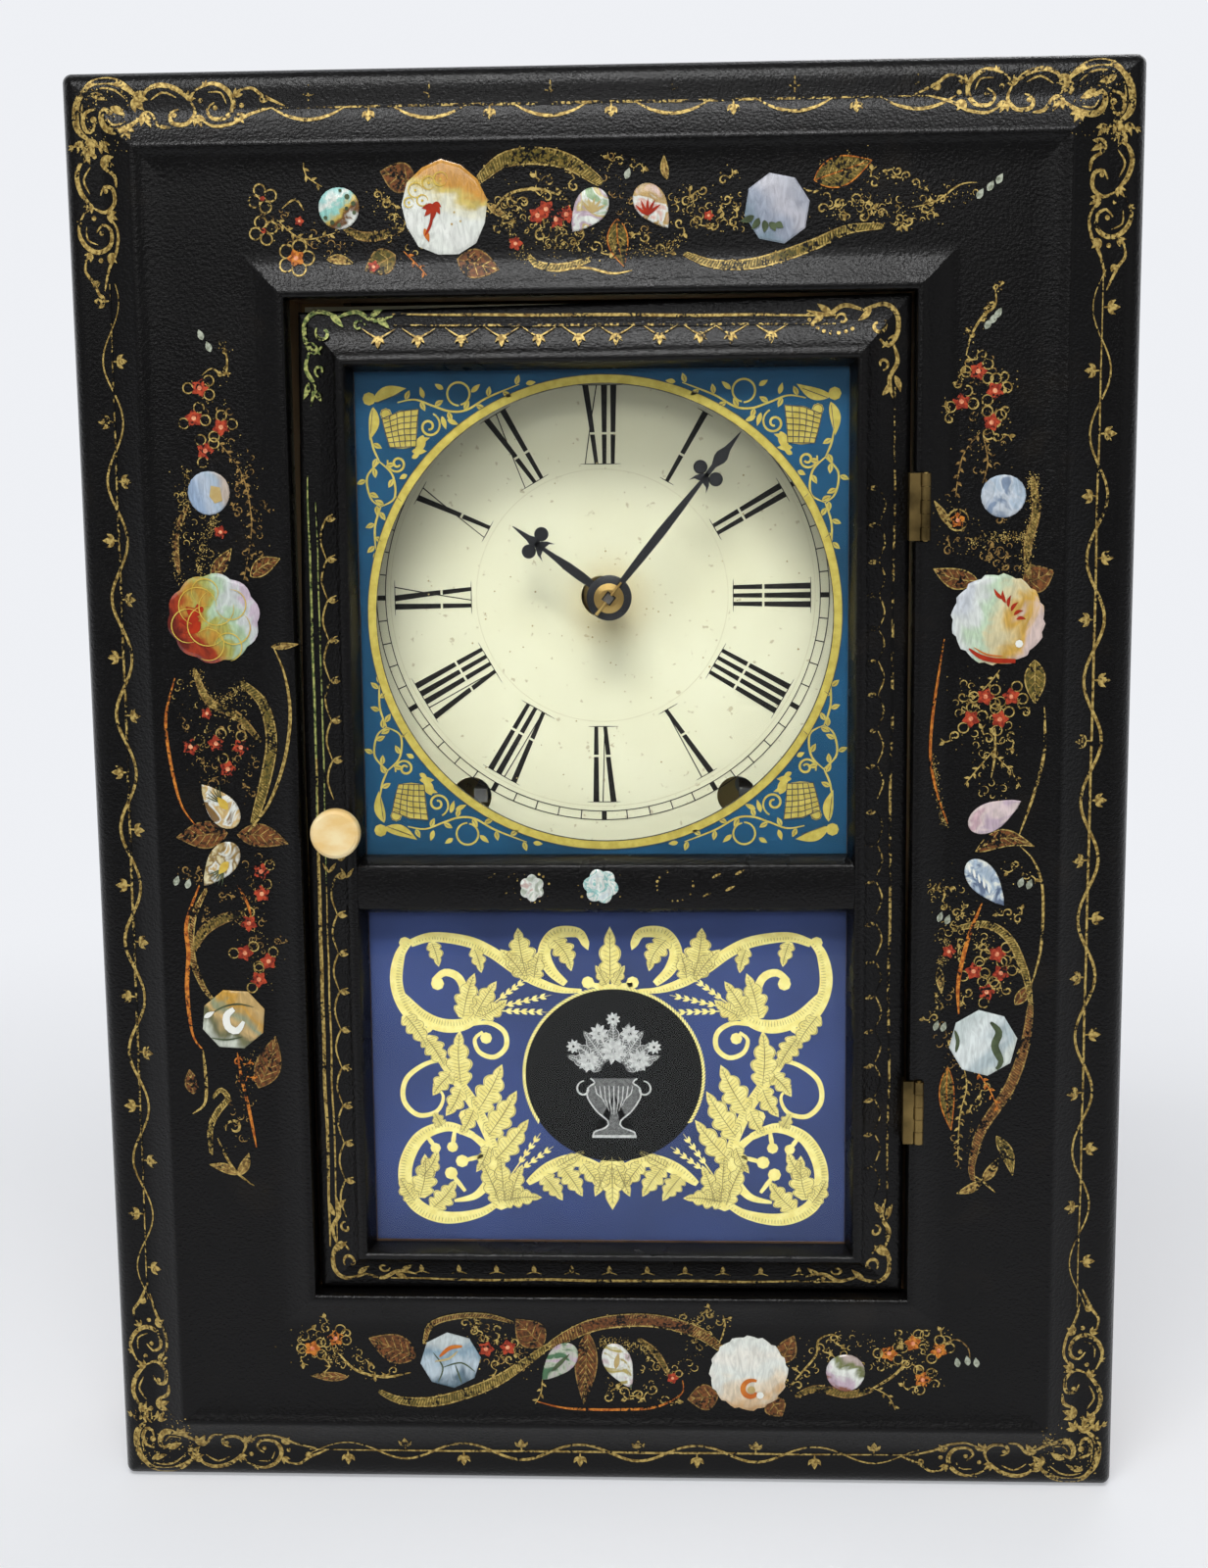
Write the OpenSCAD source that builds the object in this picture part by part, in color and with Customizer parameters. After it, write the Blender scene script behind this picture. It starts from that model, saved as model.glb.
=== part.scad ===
// Shelf clock in a moulded picture frame: japanned front, box case, glazed door, eight-day movement.
// Front view: X to the right, Z up from the base. Heights h are measured forward from the
// plane of the front's outer edge, so a larger h is nearer to the viewer (smaller Y).

/* [Front] */
// Width of the moulded front
front_w = 322; // [312:1:340]
// Height of the moulded front
front_h = 446; // [440:1:470]
// Width of the moulding from its outer edge to the door opening
rail_w = 67.3; // [66:0.1:69]
// Radius of the four outer corners
corner_r = 2.7; // [1:0.1:5]
// Height of the band that carries the painted border
band_rise = 5; // [4.4:0.1:5.6]
// Distance of the ridge from the outer edge
ridge_in = 22.6; // [21.5:0.1:24]
// Height of the ridge
ridge_rise = 11.3; // [10.6:0.1:12]
// Height of the flat panel
panel_rise = 9.4; // [9:0.1:9.8]
// Distance from the outer edge to the inner end of the flat panel
panel_in = 54.5; // [50:0.1:55]
// Height of the rim around the door
rim_rise = 13.9; // [13.5:0.1:14.6]
// Thickness of the moulded shell
shell_t = 4; // [3.4:0.1:4.4]
// Depth of the shell's outer lip behind the edge plane
lip_back = 4; // [3:0.1:6]
// Thickness of the pearl pieces
pearl_t = 0.3; // [0.2:0.05:0.6]

/* [Case] */
// Depth from the edge plane to the back of the clock
case_d = 95; // [94:1:110]
// Distance of the box's sides in from the edges of the front
case_side_in = 16; // [12:1:20]
// Distance of the box's top below the top of the front
case_top_in = 16; // [12:1:24]
// Thickness of the box boards
board_t = 9; // [7:0.5:11]
// Thickness of the back board
back_t = 6; // [4:0.5:8]
// Depth of the wooden ground's back face behind the edge plane
ground_back = 16; // [15:0.5:18]

/* [Door] */
// Running gap between door and opening
door_gap = 1.1; // [1:0.1:1.6]
// Drop of the door's top corner on the latch side
door_drop = 3.2; // [0:0.1:4]
// Lean of the door's top corner on the latch side
door_lean = 2.2; // [0:0.1:3]
// Height of the door's back face
door_back = 2; // [1.6:0.1:2.4]
// Height of the door's outer edge
door_edge = 9; // [8.6:0.1:9.4]
// Height of the door's ridge
door_rise = 15; // [14:0.1:16]
// Width of the door's stiles
stile_w = 18.1; // [17:0.1:19]
// Width of the door's bottom rail
bottom_rail_w = 15.1; // [14.8:0.1:17]
// Height of the lower opening
lower_h = 107.4; // [100:0.1:112]
// Width of the door's middle rail
mid_rail_w = 18; // [16:0.1:20]
// Width of the door's top rail
top_rail_w = 21; // [19:0.1:23]
// Thickness of the glass
glass_t = 2; // [1.6:0.1:2.4]
// Depth of the glass rebate in the door
rebate_w = 3.5; // [3:0.1:4]
// Gap around each pane and bead
pane_gap = 0.4; // [0.2:0.05:0.5]

/* [Hinges and latch] */
// Distance of the hinge pins outside the door opening
hinge_out = 3.1; // [2.9:0.1:3.3]
// Height of the hinge pins
hinge_rise = 14; // [13.8:0.1:14.2]
// Radius of the hinge barrels
barrel_r = 1.5; // [1.4:0.05:1.6]
// Radius of the hinge pins
hinge_pin_r = 0.7; // [0.6:0.05:0.8]
// Length of each hinge
hinge_l = 20; // [18:1:24]
// Distance of the upper hinge's centre below the top of the opening
hinge_top_in = 63.4; // [48:0.1:70]
// Distance of the lower hinge's centre above the bottom of the opening
hinge_low_in = 61.3; // [48:0.1:70]
// Thickness of the hinge leaves
leaf_t = 0.6; // [0.5:0.05:0.6]
// Distance of the knob's centre in from the side of the opening
knob_in = 12; // [11.7:0.1:12.5]
// Distance of the knob's centre above the middle rail's upper edge
knob_up = 9.3; // [5:0.1:19]
// Radius of the knob
knob_r = 7.6; // [6:0.1:9]
// Height of the knob's face
knob_face = 23.4; // [22:0.1:26]
// Radius of the latch spindle
spindle_r = 1.6; // [1.4:0.05:1.8]
// Length of the latch tongue from the knob's axis
tongue_l = 17; // [16:0.1:18]
// Width of the latch tongue
tongue_w = 5; // [4:0.1:6]
// Thickness of the latch tongue
tongue_t = 1.2; // [1:0.1:1.4]

/* [Dial and hands] */
// Offset of the dial's centre from the centre line
dial_x = -1.3; // [-2:0.1:-0.6]
// Distance of the dial's centre above the middle of the upper opening
dial_up = 4.4; // [3.6:0.1:5]
// Height of the dial's face behind the edge plane
dial_back = 15; // [14:0.5:15]
// Thickness of the dial plate
dial_t = 1; // [0.8:0.1:1]
// Distance that the dial plate reaches below the upper opening
dial_lap = 15; // [13:0.5:18]
// Radius of the winding holes
wind_hole_r = 6.2; // [6:0.1:6.6]
// Radius of the dial's centre hole
centre_hole_r = 6.5; // [6.4:0.1:6.8]
// Offset of the hand arbor from the centre line
arbor_x = 1.6; // [1:0.1:2]
// Distance of the hand arbor above the dial's centre
arbor_up = 0.5; // [0:0.1:1]
// Length of the minute hand
minute_l = 64.5; // [58:0.5:67]
// Length of the hour hand
hour_l = 37; // [34:0.5:42]
// Minutes past the hour that the minute hand shows
minute_now = 6.5; // [0:0.5:59.5]
// Angle of the hour hand, clockwise from twelve
hour_angle = 306.7; // [0:0.1:360]
// Thickness of the hands
hand_t = 0.9; // [0.7:0.1:1]

/* [Movement] */
// Sideways distance from the hand arbor to each winding arbor
wind_dx = 42.2; // [42:0.1:43]
// Drop from the hand arbor to the winding arbors
wind_drop = 63.5; // [62.5:0.1:64]
// Depth of the front plate's front face behind the edge plane
plate_at = 36; // [36:0.5:37]
// Thickness of the plates
plate_t = 2; // [1.8:0.1:2.2]
// Space between the plates
plate_gap = 32; // [32:0.5:34]
// Module of the great wheels
great_m = 1.15; // [1.14:0.01:1.16]
// Module of the second wheels
second_m = 1.05; // [1.04:0.01:1.06]
// Module of the centre wheel
centre_m = 0.75; // [0.74:0.01:0.76]
// Module of the third wheel, the pin wheel and their lantern pinions
third_m = 0.7; // [0.69:0.01:0.71]
// Module of the motion work
motion_m = 0.6; // [0.59:0.01:0.61]
// Thickness of the wheels
wheel_t = 1.6; // [1.4:0.1:1.8]
// Radius of the escape wheel
escape_r = 15; // [14:0.1:15.5]
// Teeth of the escape wheel
escape_n = 32; // [24:1:40]
// Radius of the train's pivots
pivot_r = 0.9; // [0.7:0.05:1.1]
// Radius of the winding arbors
wind_r = 3.2; // [3:0.1:3.4]
// Distance from the verge's pivot down to the escape wheel
verge_h = 22; // [22:0.1:23]
// Length from the suspension's bend to the bob's centre
pendulum_l = 218.4; // [205:0.1:225]
// Radius of the bob
bob_r = 18; // [15:0.5:20]
// Radius of the gong's outer turn
gong_r = 34; // [30:0.5:36]
// Thickness of the gong's wire
gong_wire = 2.4; // [2:0.1:2.8]

/* [Hidden] */
$fn = 48;

// Small clearance of pivots, pins and screws in their holes
fit = 0.05;
// Clearance that lets a piece start in its cut
ease = 0.4;
// Overlap that makes a cut or a joint of two solids clean
over = 0.02;

// Y of the plane of the front's outer edge
yf = -case_d / 2;
open_x = front_w / 2 - rail_w;
open_z0 = rail_w;
open_z1 = front_h - rail_w;
case_w = front_w - 2 * case_side_in;
case_h = front_h - case_top_in;

// Outline of the door at rest and the heights of its rails
door_x = open_x - door_gap;
door_z0 = open_z0 + door_gap + 0.1;
door_z1 = open_z1 - door_gap + 0.4;
lower_z0 = door_z0 + bottom_rail_w;
mid_z0 = lower_z0 + lower_h;
mid_z1 = mid_z0 + mid_rail_w;
upper_z1 = door_z1 - top_rail_w;

hinge_x = open_x + hinge_out;
hinge_z_low = open_z0 + hinge_low_in;
hinge_z_top = open_z1 - hinge_top_in;
knob_x = open_x - knob_in;
knob_z = mid_z1 + knob_up;
dial_z = (mid_z1 + upper_z1) / 2 + dial_up;
dial_z0 = mid_z1 - dial_lap;
arbor_z = dial_z + arbor_up;

// Lays a drawing of X and Z between two heights
module slab(h0, h1) {
    translate([0, yf - h0, 0]) rotate([90, 0, 0]) linear_extrude(h1 - h0) children();
}

// Block between given places
module block(x0, x1, h0, h1, z0, z1) {
    translate([x0, yf - h1, z0]) cube([x1 - x0, h1 - h0, z1 - z0]);
}

// Round rod along the depth at a place c of the front view
module rod(c, h0, h1, r) {
    translate([c[0], yf - h0, c[1]]) rotate([90, 0, 0]) cylinder(h = h1 - h0, r = r);
}

// Turned piece: points hold a radius and a height
module turned(c, points) {
    translate([c[0], yf, c[1]]) rotate([90, 0, 0]) rotate_extrude() polygon(points);
}

function corners(x0, x1, z0, z1) = [[x0, z0], [x1, z0], [x1, z1], [x0, z1]];

// Mitred frame: each profile point lies on the line from an outer to an inner corner
module mitred(profile, outer, inner, width) {
    n = len(profile);
    pts = [for (p = profile) for (i = [0:3])
        let (q = outer[i] + (inner[i] - outer[i]) * p[0] / width) [q[0], yf - p[1], q[1]]];
    quads = [for (j = [0:n - 1]) for (i = [0:3])
        [j * 4 + i, j * 4 + (i + 1) % 4, ((j + 1) % n) * 4 + (i + 1) % 4, ((j + 1) % n) * 4 + i]];
    tris = [for (q = quads) for (t = [[q[0], q[2], q[1]], [q[0], q[3], q[2]]]) t];
    polyhedron(points = pts, faces = tris, convexity = 6);
}

// Underside of the shell, from the door opening to the outer lip, which the ground shares
shell_under = [
    [rail_w, shell_t],
    [rail_w - shell_t, shell_t],
    [rail_w - shell_t, panel_rise - 1.2],
    [panel_in + 2, panel_rise - shell_t],
    [ridge_in + 2, panel_rise - shell_t],
    [ridge_in - 4, band_rise - 1.5],
    [ridge_in - 8, band_rise - shell_t],
    [5, band_rise - shell_t],
    [3.5, -1.5],
    [3.5, -lip_back]
];

// Face of the shell, from the outer lip to the rim around the door
shell_face = [
    [0, -lip_back], [0, 0], [1.2, 0.44 * band_rise], [3.2, 0.76 * band_rise], [6, 0.93 * band_rise],
    [9, 0.98 * band_rise], [ridge_in - 9.6, band_rise], [ridge_in - 7.1, band_rise + 0.6],
    [ridge_in - 4.6, band_rise + 2.2], [ridge_in - 2.6, ridge_rise - 2], [ridge_in - 1.4, ridge_rise - 0.7],
    [ridge_in, ridge_rise], [ridge_in + 1.4, ridge_rise - 0.3], [ridge_in + 2.4, panel_rise + 0.8],
    [ridge_in + 3.4, panel_rise], [panel_in, panel_rise], [panel_in + 3, panel_rise + 0.2],
    [panel_in + 6, panel_rise + 1.2], [panel_in + 9, panel_rise + 2.7], [rail_w - 1.9, rim_rise - 0.4],
    [rail_w - 0.9, rim_rise], [rail_w - 0.2, rim_rise - 0.3], [rail_w, rim_rise - 1]
];

// Wooden ground below the shell's underside
ground_shape = concat(
    [for (i = [len(shell_under) - 1:-1:0]) shell_under[i]],
    [[rail_w, -ground_back], [3.5, -ground_back]]
);

front_outer = corners(-front_w / 2, front_w / 2, 0, front_h);
front_inner = corners(-open_x, open_x, open_z0, open_z1);

// Height of the flat surface that the hinge barrels lie over
notch_floor = hinge_rise - barrel_r - 0.1;
hinge_zs = [hinge_z_low, hinge_z_top];
knuckle_l = hinge_l / 5;
knuckle_gap = 0.15;
leaf_foot = door_back + 1.4;
leaf_screw_h = leaf_foot + 2.6;
leaf_screw_r = 0.9;
leaf_head_r = 1.6;
leaf_screw_step = hinge_l * 0.32;

// Space that the hinges take in the front: barrel notch, leaf recess and screw holes
module hinge_cuts() {
    for (z = hinge_zs) {
        block(open_x - 1, hinge_x + barrel_r + ease, notch_floor, rim_rise + 2,
            z - hinge_l / 2 - ease, z + hinge_l / 2 + ease);
        block(open_x - 1, open_x + leaf_t, leaf_foot, notch_floor + over, z - hinge_l / 2, z + hinge_l / 2);
        for (s = [-1:1])
            translate([open_x, yf - leaf_screw_h, z + s * leaf_screw_step])
                rotate([0, 90, 0]) cylinder(h = 9, r = leaf_screw_r + fit);
    }
}

knob_c = [-knob_x, knob_z];
tongue_h1 = door_back - 2;
tongue_h0 = tongue_h1 - tongue_t;
slot_h0 = tongue_h0 - 0.6;
slot_h1 = tongue_h1 + 0.6;
keeper_t = 0.8;
keeper_h0 = slot_h0 - 3;
keeper_h1 = slot_h1 + 2.4;
// The tongue leaves the slot where its arc crosses the keeper
slot_z0 = knob_z - sqrt(tongue_l * tongue_l - pow(open_x - knob_x, 2)) - tongue_w / 2 - ease;
slot_z1 = knob_z + tongue_w / 2 + 0.8;

// Space that the latch takes in the ground: keeper recess and mortise
module latch_cuts() {
    block(-open_x - keeper_t, -open_x + 1, keeper_h0, keeper_h1, slot_z0 - 5, slot_z1 + 5);
    block(-knob_x - tongue_l - 1, -open_x + 1, slot_h0, slot_h1, slot_z0, slot_z1);
}

module front_shell() {
    color("#1b1917")
    difference() {
        intersection() {
            mitred(concat(shell_face, shell_under), front_outer, front_inner, rail_w);
            slab(-lip_back - 1, rim_rise + 1) {
                translate([-front_w / 2 + corner_r, 0]) square([front_w - 2 * corner_r, front_h]);
                translate([-front_w / 2, corner_r]) square([front_w, front_h - 2 * corner_r]);
                for (x = [-1, 1])
                    for (z = [corner_r, front_h - corner_r])
                        translate([x * (front_w / 2 - corner_r), z]) circle(corner_r);
            }
        }
        hinge_cuts();
    }
}

module front_ground() {
    color("#8a6a43")
    difference() {
        mitred(ground_shape, front_outer, front_inner, rail_w);
        hinge_cuts();
        latch_cuts();
    }
}

back_h = -case_d + back_t;
back_screw_r = 1.2;
back_head_r = 2.6;
back_head_t = 1.6;
back_screw_l = 16;
back_screw_xz = [
    for (x = [-1, 0, 1]) for (z = [board_t / 2, case_h - board_t / 2]) [x * (case_w / 2 - 3 * board_t), z],
    for (x = [-1, 1]) for (z = [0.28, 0.72]) [x * (case_w / 2 - board_t / 2), z * case_h]
];

module back_screw_holes() {
    for (c = back_screw_xz) {
        rod(c, back_h - over, back_h + back_screw_l + 1, back_screw_r + fit);
    }
}

module case_side() {
    block(case_w / 2 - board_t, case_w / 2, back_h, -ground_back, 0, case_h);
}

module case_left() {
    color("#7d5c38")
    difference() {
        mirror([1, 0, 0]) case_side();
        back_screw_holes();
    }
}

module case_right() {
    color("#7d5c38")
    difference() {
        case_side();
        back_screw_holes();
    }
}

module case_top() {
    color("#8a6a43")
    difference() {
        block(-case_w / 2 + board_t, case_w / 2 - board_t, back_h, -ground_back, case_h - board_t, case_h);
        back_screw_holes();
    }
}

module case_bottom() {
    color("#8a6a43")
    difference() {
        block(-case_w / 2 + board_t, case_w / 2 - board_t, back_h, -ground_back, 0, board_t);
        back_screw_holes();
    }
}

module back_board() {
    color("#a07c4f")
    difference() {
        block(-case_w / 2, case_w / 2, -case_d, back_h, 0, case_h);
        for (c = back_screw_xz) {
            rod(c, -case_d - 1, back_h + 1, back_screw_r + fit);
            rod(c, -case_d - 1, -case_d + back_head_t + 0.2, back_head_r + fit);
        }
        rod(gong_c, -case_d - 1, back_h + 1, gong_screw_r + fit);
        rod(gong_c, -case_d - 1, -case_d + back_head_t + 0.2, gong_head_r + fit);
    }
}

// Slotted screws that hold the back board, heads just below its surface
module back_screws() {
    color("#6b655c")
    for (c = back_screw_xz)
        difference() {
            union() {
                rod(c, -case_d + 0.2, -case_d + back_head_t + 0.2, back_head_r);
                rod(c, -case_d + 0.2, back_h + back_screw_l, back_screw_r);
            }
            block(c[0] - back_head_r, c[0] + back_head_r, -case_d, -case_d + 0.7, c[1] - 0.35, c[1] + 0.35);
        }
}

dial_z1 = open_z1 - door_gap;
dial_half = open_x - door_gap;
dial_h0 = -dial_back - dial_t;
block_in = 13;
block_out = 10;
block_h = 18;
block_d = 14;
dial_screw_r = 1.1;
dial_head_r = 2.6;
dial_screw_xz = [for (x = [-1, 1]) for (z = [dial_z0 + 7, dial_z1 - 7]) [x * (dial_half - 6), z]];

// Corner blocks glued behind the ground, on which the dial plate lies
module dial_blocks() {
    color("#9a7746")
    for (c = dial_screw_xz)
        difference() {
            block(c[0] < 0 ? -open_x - block_out : open_x - block_in,
                c[0] < 0 ? -open_x + block_in : open_x + block_out,
                dial_h0 - block_d, dial_h0, c[1] - block_h / 2, c[1] + block_h / 2);
            rod(c, dial_h0 - block_d + 2, dial_h0 + 1, dial_screw_r + fit);
        }
}

module dial_plate() {
    color("#e1deca")
    slab(dial_h0, -dial_back)
        difference() {
            translate([-dial_half, dial_z0]) square([2 * dial_half, dial_z1 - dial_z0]);
            translate([dial_x, dial_z]) circle(centre_hole_r);
            for (s = [-1, 1]) translate([dial_x + s * wind_dx, dial_z - wind_drop]) circle(wind_hole_r);
            for (c = dial_screw_xz) translate(c) circle(dial_screw_r + 0.2);
        }
}

module dial_screws() {
    color("#b89a4e")
    for (c = dial_screw_xz) {
        turned(c, [[0, -dial_back], [dial_head_r, -dial_back], [dial_head_r, -dial_back + 0.5],
            [dial_head_r * 0.6, -dial_back + 1.3], [0, -dial_back + 1.5]]);
        rod(c, dial_h0 - block_d + 2.5, -dial_back + over, dial_screw_r);
    }
}

// One knuckle of a hinge, counted from the bottom
module knuckle(z, i, grow) {
    gap = grow > 0 ? -over : knuckle_gap / 2;
    translate([hinge_x, yf - hinge_rise, z - hinge_l / 2 + i * knuckle_l + gap])
        cylinder(h = knuckle_l - 2 * gap, r = barrel_r + grow);
}

module hinge_bore(z, r) {
    translate([hinge_x, yf - hinge_rise, z - hinge_l]) cylinder(h = 2 * hinge_l, r = r);
}

module leaf_holes(x, z, h) {
    for (s = [-1:1])
        translate([x, yf - h, z + s * leaf_screw_step])
            rotate([0, 90, 0]) cylinder(h = 4, r = leaf_head_r + fit);
}

// Leaves let into the side of the opening, with knuckles 0, 2 and 4
module hinge_case_leaves() {
    color("#4a4034")
    for (z = hinge_zs)
        difference() {
            union() {
                block(open_x, open_x + leaf_t, leaf_foot, notch_floor, z - hinge_l / 2, z + hinge_l / 2);
                block(open_x, hinge_x, notch_floor, notch_floor + leaf_t, z - hinge_l / 2, z + hinge_l / 2);
                for (i = [0, 2, 4]) knuckle(z, i, 0);
            }
            for (i = [1, 3]) knuckle(z, i, 0.2);
            hinge_bore(z, hinge_pin_r + fit / 2);
            leaf_holes(open_x - 1, z, leaf_screw_h);
        }
}

module hinge_pins() {
    color("#8d7b4c")
    for (z = hinge_zs)
        translate([hinge_x, yf - hinge_rise, z - hinge_l / 2 - 0.2])
            cylinder(h = hinge_l + 0.4, r = hinge_pin_r);
}

module leaf_screw(l) {
    rotate([0, 90, 0]) cylinder(h = leaf_t, r = leaf_head_r);
    rotate([0, 90, 0]) cylinder(h = l, r = leaf_screw_r);
}

module hinge_case_screws() {
    color("#8d7b4c")
    for (z = hinge_zs)
        for (s = [-1:1]) translate([open_x, yf - leaf_screw_h, z + s * leaf_screw_step]) leaf_screw(8.5);
}

// Leaves let into the door's edge, with knuckles 1 and 3
module hinge_door_leaves() {
    color("#4a4034")
    for (z = hinge_zs)
        difference() {
            union() {
                block(door_x - leaf_t, door_x, leaf_foot, hinge_rise + leaf_t / 2,
                    z - hinge_l / 2, z + hinge_l / 2);
                block(door_x - leaf_t, hinge_x, hinge_rise - leaf_t / 2, hinge_rise + leaf_t / 2,
                    z - hinge_l / 2, z + hinge_l / 2);
                for (i = [1, 3]) knuckle(z, i, 0);
            }
            for (i = [0, 2, 4]) knuckle(z, i, 0.2);
            hinge_bore(z, hinge_pin_r + fit);
            leaf_holes(door_x - 2, z, leaf_screw_h);
        }
}

module hinge_door_screws() {
    color("#8d7b4c")
    for (z = hinge_zs)
        for (s = [-1:1])
            translate([door_x, yf - leaf_screw_h, z + s * leaf_screw_step]) mirror([1, 0, 0]) leaf_screw(6);
}

module latch_keeper() {
    color("#a58a45")
    difference() {
        block(-open_x - keeper_t, -open_x, keeper_h0, keeper_h1, slot_z0 - 5, slot_z1 + 5);
        block(-open_x - keeper_t - 1, -open_x + 1, slot_h0, slot_h1, slot_z0, slot_z1);
    }
}

// Flower outlines of the pearl pieces: place, radius, number of petals
function petals(r, n, depth) = [for (i = [0:2 * n - 1])
    let (q = i % 2 == 0 ? r : r * (1 - depth), a = i * 180 / n) [q * cos(a), q * sin(a)]];
// Pear shape pointing along the X axis
function pear(l, w) = [for (i = [0:15])
    let (t = i * 22.5) [l / 2 * cos(t), w / 2 * sin(t) * (1 - 0.55 * (1 + cos(t)) / 2 * (1 + cos(t)) / 2)]];

// Rows stand on the middle line of each side of the frame's flat panel
row_in = (ridge_in + 3.4 + panel_in) / 2 + 1.5;
row_top = front_h - row_in;
row_side = front_w / 2 - row_in;
pearl_big_r = 12.6;
pearl_round_r = 6;
pearl_oct_r = 11;
pear_l = 16;
pear_w = 12;

module pearl_row(big, round, pear_a, pear_b, oct, turn) {
    translate(big) polygon(petals(pearl_big_r, 12, 0.12));
    translate(round) circle(pearl_round_r, $fn = 12);
    translate(pear_a) rotate(135 + turn) polygon(pear(pear_l, pear_w));
    translate(pear_b) rotate(225 + turn) polygon(pear(pear_l, pear_w));
    translate(oct) rotate(22.5) circle(pearl_oct_r, $fn = 8);
}

// Pearl pieces on the four sides of the frame
module pearl_inlays() {
    color("#cfd8cc")
    slab(panel_rise, panel_rise + pearl_t) {
        translate([0, row_top])
            pearl_row([-45.5, 0], [-77, 0.5], [-2.4, -1], [15.5, 0], [52.7, -1.5], 90);
        translate([-row_side, front_h / 2])
            pearl_row([0, 60.3], [0, 98.4], [0.5, 1.8], [-1, -16.4], [1.5, -66.1], 0);
        translate([row_side, front_h / 2])
            pearl_row([0, 58.3], [1, 95.2], [-0.5, -1.3], [-2, -22.3], [-2.4, -73.2], 180);
        translate([0, row_in])
            pearl_row([44.1, -1], [75, -0.6], [-16.8, 3], [2.7, 2], [-51.5, 2.4], -90);
        for (c = [[112, 0], [115, 3.4], [117.4, 6.6]])
            translate([c[0], row_top + 1 + c[1]]) rotate(60) polygon(pear(4.4, 2.6));
    }
}

glass_x = door_x - stile_w;
glass_h0 = door_back + 4;
glass_h1 = glass_h0 + glass_t;
// Thickness of the lip in front of the glass
lip_t = 0.5;

// Half section of a stile from its outer edge to the glass
door_shape = [
    [0, door_back], [0, door_edge - 0.8], [0.8, door_edge], [3, door_edge + 0.4], [6, door_edge + 1],
    [9, door_edge + 2.2], [12, door_rise - 2], [14, door_rise - 0.4], [15.2, door_rise],
    [15.9, door_rise - 0.4],
    [stile_w, glass_h1 + lip_t], [stile_w, door_back]
];
mid_flat = 2.6;

// Middle rail between the two openings
module mid_rail() {
    translate([-glass_x - 3, yf, 0]) rotate([90, 0, 90]) linear_extrude(2 * glass_x + 6)
        polygon([
            [-door_back, mid_z0], [-glass_h1 - lip_t, mid_z0], [-door_rise + 1.2, mid_z0 + mid_flat],
            [-door_rise + 0.6, (mid_z0 + mid_z1) / 2], [-door_rise + 1.2, mid_z1 - mid_flat],
            [-glass_h1 - lip_t, mid_z1], [-door_back, mid_z1]
        ]);
}

bush_r = 3;
flange_r = 4.6;
flange_h = door_rise - 1.8;

module door_frame() {
    color("#201d1a")
    difference() {
        union() {
            mitred(door_shape, corners(-door_x, door_x, door_z0, door_z1),
                corners(-glass_x, glass_x, lower_z0, upper_z1), stile_w);
            mid_rail();
        }
        for (z = [[lower_z0, mid_z0], [mid_z1, upper_z1]])
            block(-glass_x - rebate_w, glass_x + rebate_w, door_back - 1, glass_h1,
                z[0] - rebate_w, z[1] + rebate_w);
        for (z = hinge_zs) {
            block(door_x - leaf_t, door_x + 1, leaf_foot, door_rise, z - hinge_l / 2, z + hinge_l / 2);
            for (s = [-1:1])
                translate([door_x - 6.5, yf - leaf_screw_h, z + s * leaf_screw_step])
                    rotate([0, 90, 0]) cylinder(h = 8, r = leaf_screw_r + fit);
        }
        rod(knob_c, door_back - 1, door_rise + 1, bush_r + fit);
        rod(knob_c, flange_h, door_rise + 1, flange_r + 0.1);
        // The latch side has shrunk, so the top edge falls and the side leans away from the opening
        slab(door_back - 1, door_rise + 1) {
            polygon([[-door_x - 1, door_z1 - door_drop], [door_x + 1, door_z1], [door_x + 1, door_z1 + 2],
                [-door_x - 1, door_z1 + 2]]);
            polygon([[-door_x - 1, door_z1 + 1], [-door_x + door_lean, door_z1 + 1],
                [-door_x - door_lean / 2, mid_z1], [-door_x - door_lean - 1, mid_z1]]);
        }
    }
}

module pane(z0, z1) {
    x = glass_x + rebate_w - pane_gap;
    block(-x, x, glass_h0, glass_h1, z0 - rebate_w + pane_gap, z1 + rebate_w - pane_gap);
}

module upper_glass() {
    color("#9db6bd", 0.5) pane(mid_z1, upper_z1);
}

module lower_glass() {
    color("#4a5a9a", 0.8) pane(lower_z0, mid_z0);
}

// Wooden strips that hold each pane from behind
module glass_beads() {
    x = glass_x + rebate_w - pane_gap / 4;
    color("#2a2420")
    for (z = [[lower_z0, mid_z0], [mid_z1, upper_z1]])
        difference() {
            block(-x, x, door_back, glass_h0,
                z[0] - rebate_w + pane_gap / 4, z[1] + rebate_w - pane_gap / 4);
            block(-glass_x, glass_x, door_back - 1, glass_h0 + 1, z[0], z[1]);
        }
}

// Small pearl flowers on the middle rail
module door_pearls() {
    mid_z = (mid_z0 + mid_z1) / 2;
    color("#d8dcd4")
    slab(door_rise - 0.6, door_rise - 0.6 + pearl_t) {
        translate([-22.4, mid_z]) polygon(petals(2.6, 5, 0.15));
        translate([-1.2, mid_z + 0.5]) polygon(petals(4.3, 6, 0.15));
    }
}

// Flanged brass bush that the latch spindle turns in
module knob_bush() {
    color("#b0914a")
    difference() {
        union() {
            rod(knob_c, door_back, flange_h + over, bush_r);
            rod(knob_c, flange_h, door_rise, flange_r);
        }
        rod(knob_c, door_back - 1, door_rise + 1, spindle_r + fit);
    }
}

knob_foot = door_rise + 1.6;

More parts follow.
